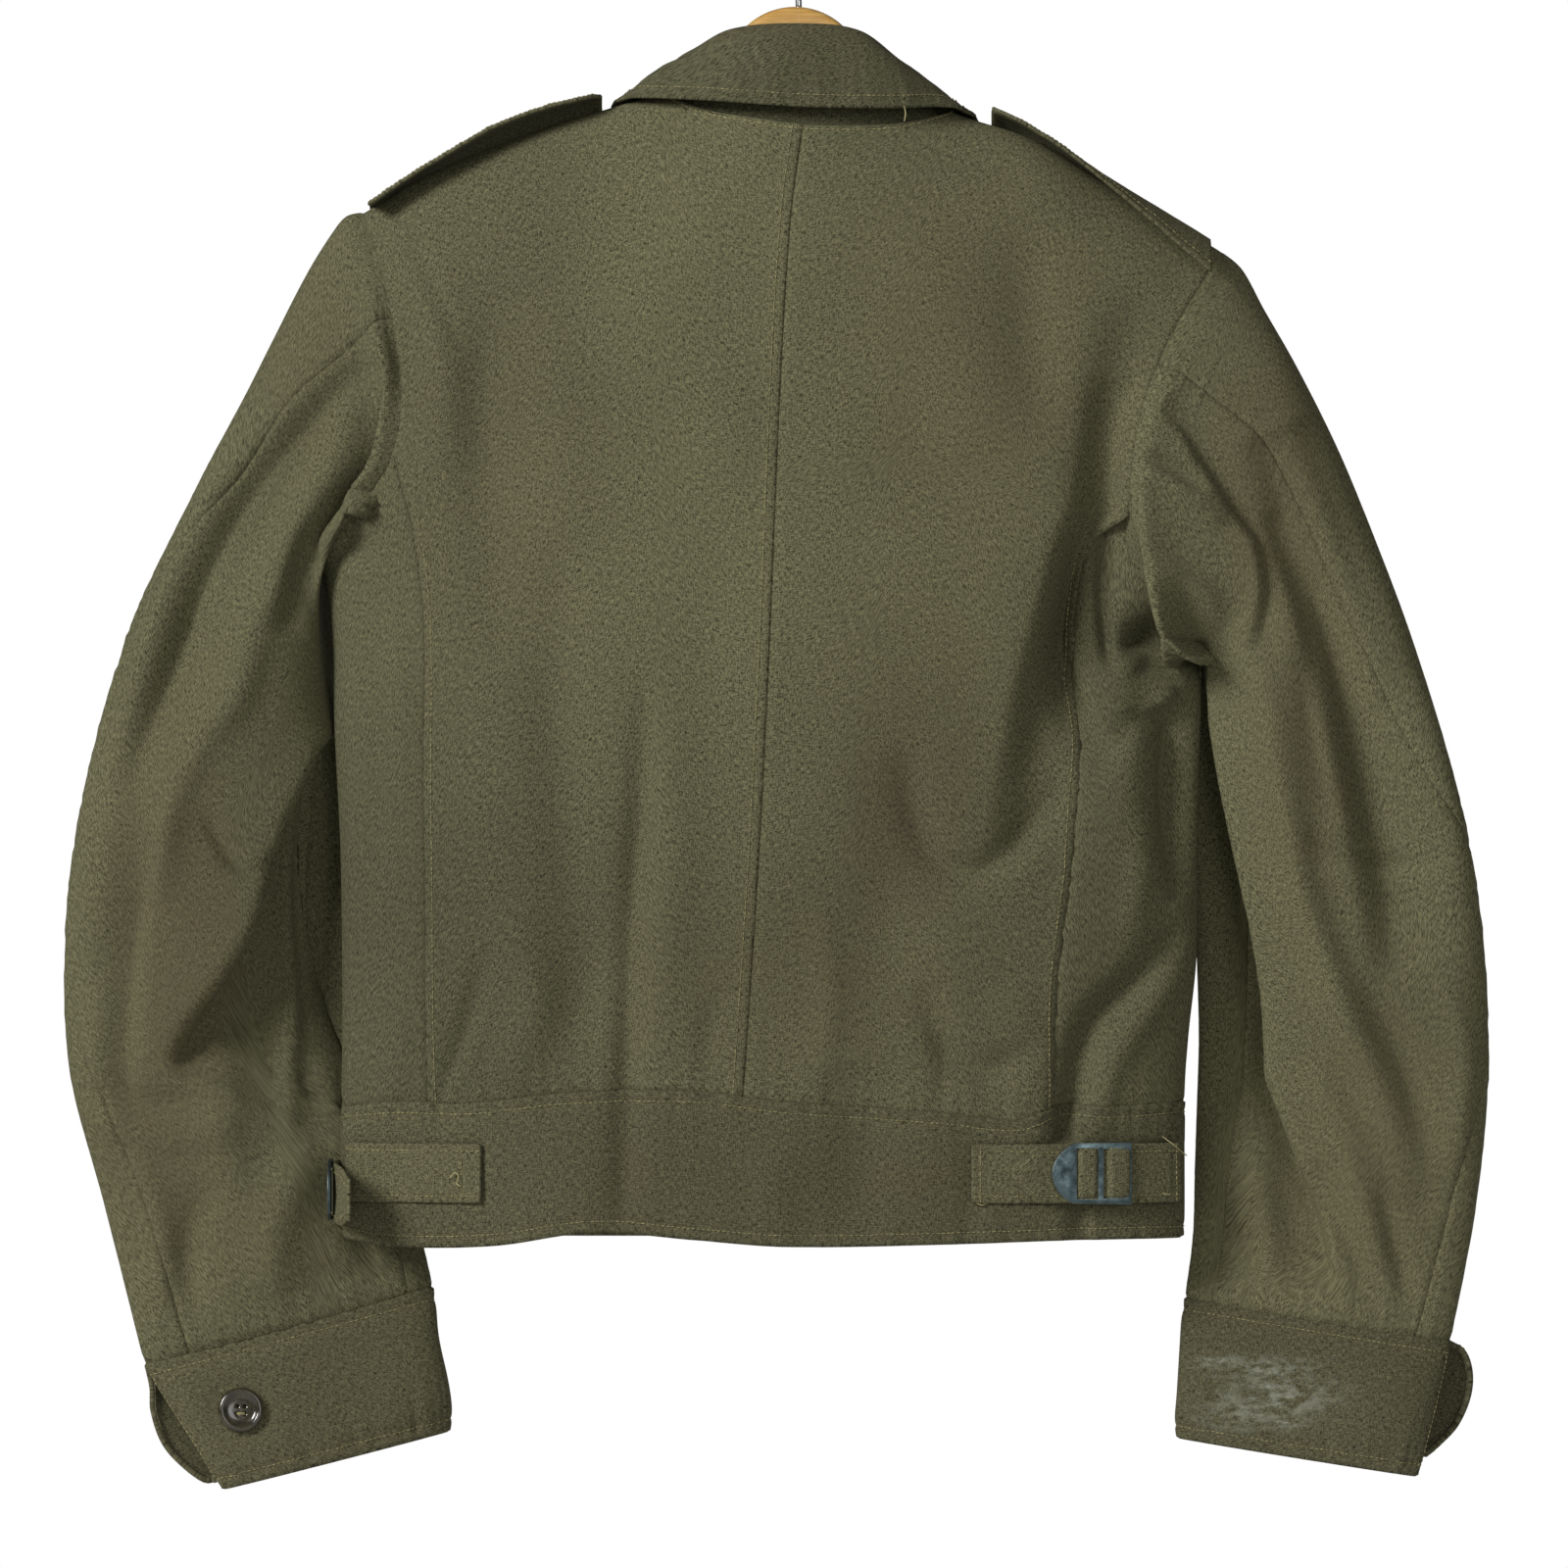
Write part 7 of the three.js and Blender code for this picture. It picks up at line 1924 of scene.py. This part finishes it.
topstitched("back_left", "back_panel_left", "back_left", [("right", 4.5, 0.02), ("left", 4.5, ARM_SHARE)])
topstitched("back_right", "back_panel_right", "back_right", [("left", 4.5, ARM_SHARE)])
neck_line = [("top", 1.9, NECK_SHARE)]
topstitched("neck_left", "back_panel_left", "back_left", neck_line, chain_thread, 0.5)
topstitched("neck_right", "back_panel_right", "back_right", neck_line, chain_thread, 0.5)
topstitched("band_back", "band_back", "waistband_back", [("top", 4.9), ("bottom", 4.9)])
for key in ARMHOLES:
    for name, (piece, node, lines) in SIDE_LINES.items():
        topstitched(f"{name}_{key}", f"{piece}_{key}", f"{node}_{key}", lines)
for name, (piece, node, lines) in TRIM_LINES.items():
    topstitched(name, piece, node, lines)


def loose_thread(name, path, material, node, slot="wool", radius=0.3):
    """One end of thread that has pulled out of its seam."""
    points, faces = swept(route(path)(np.linspace(0, 1, 40)), radius, 8)
    fastened(new_piece(name, points, faces, material), slot, node)


BAND_FACE = TAB_LIFT + STRAP + 1.2
LOOSE_ENDS = {
    # name: node, height of its ground, and spots as x, z and height over the ground
    "thread_strap_left": ("tab_strap_left", BAND_FACE, [
        (-176, -658.5, 0), (-173.4, -656, 1), (-171.6, -658, 0.6), (-172.8, -661.4, 0), (-171, -663, -0.4),
    ]),
    "thread_strap_right": ("tab_tongue_right", BAND_FACE, [
        (182, -638, 1), (186, -642, 2.6), (189.5, -645.5, 2), (192.6, -648, 0.6),
    ]),
    "thread_tack_right": ("tab_tongue_right", BAND_FACE, [
        (181, -666.5, 1), (184, -667.6, 1.4), (188, -667.2, 0.4),
    ]),
    "thread_tack_back": ("tab_strap_right", TAB_LIFT, [
        (90.4, -671.6, 0.4), (92.6, -672.4, 0), (95, -671.8, -0.4),
    ]),
}
collar_end = [(53.5, -31, -114.5), (54.2, -31.8, -118), (53.6, -31.6, -122)]
loose_thread("thread_collar", collar_end, chain_thread, "collar")
for name, (node, ground, spots) in LOOSE_ENDS.items():
    path = [body(NEAR, x, z, ground + high, 0).tolist() for x, z, high in spots]
    loose_thread(name, path, chain_thread, node)
across = np.linspace(-1, 1, 7)
for n, way in enumerate((-1, 1)):
    bar = np.array([[HOLE_SIDE * s, -HOLE_SIDE + 0.35 * way, 1.75 - 0.5 * s * s] for s in across])
    bar = bar @ button_axes + button_seat
    loose_thread(f"button_thread_{n + 1}", bar, chain_thread, "cuff_button_left", "button", 0.32)

# Floor and light. A plain pale floor under the jacket and pale surroundings. The photograph's light is soft
# and comes from the upper left, with a weaker one from the right at the height of the shoulders.
FLOOR_Z, FLOOR_RADIUS = -0.95, 1.1
floor_place = (0, 0, FLOOR_Z)
bpy.ops.mesh.primitive_circle_add(vertices=96, radius=FLOOR_RADIUS, fill_type="NGON", location=floor_place)
floor = bpy.context.active_object
floor.name = "floor"
floor_material, floor_tree, floor_shader = tree_of("pale_floor")
floor_shader.inputs["Base Color"].default_value = (0.86, 0.86, 0.85, 1)
floor_shader.inputs["Roughness"].default_value = 0.9
floor.data.materials.append(floor_material)

world = bpy.data.worlds.new("studio")
bpy.context.scene.world = world
world.use_nodes = True
world_tree = world.node_tree
surround = world_tree.nodes["Background"]
surround.inputs["Color"].default_value = (1, 1, 1, 1)
surround.inputs["Strength"].default_value = 0.15
backdrop = world_tree.nodes.new("ShaderNodeBackground")
backdrop.inputs["Color"].default_value = (1, 1, 1, 1)
backdrop.inputs["Strength"].default_value = 1.0
choice = world_tree.nodes.new("ShaderNodeMixShader")
world_tree.links.new(world_tree.nodes.new("ShaderNodeLightPath").outputs["Is Camera Ray"], choice.inputs[0])
world_tree.links.new(surround.outputs[0], choice.inputs[1])
world_tree.links.new(backdrop.outputs[0], choice.inputs[2])
world_tree.links.new(choice.outputs[0], world_tree.nodes["World Output"].inputs["Surface"])


def area_light(name, place, target, size, power):
    data = bpy.data.lights.new(name, "AREA")
    data.size = size
    data.energy = power
    light = bpy.data.objects.new(name, data)
    light.location = place
    light.rotation_euler = (Vector(target) - Vector(place)).to_track_quat("-Z", "Y").to_euler()
    bpy.context.scene.collection.objects.link(light)


area_light("key", (-4.2, -3.7, 2.0), (0, 0, -0.42), 2.0, 335)
area_light("fill", (1.6, -5.0, 0.4), (0, 0, -0.42), 2.2, 50)
bpy.context.scene.view_settings.view_transform = "Standard"
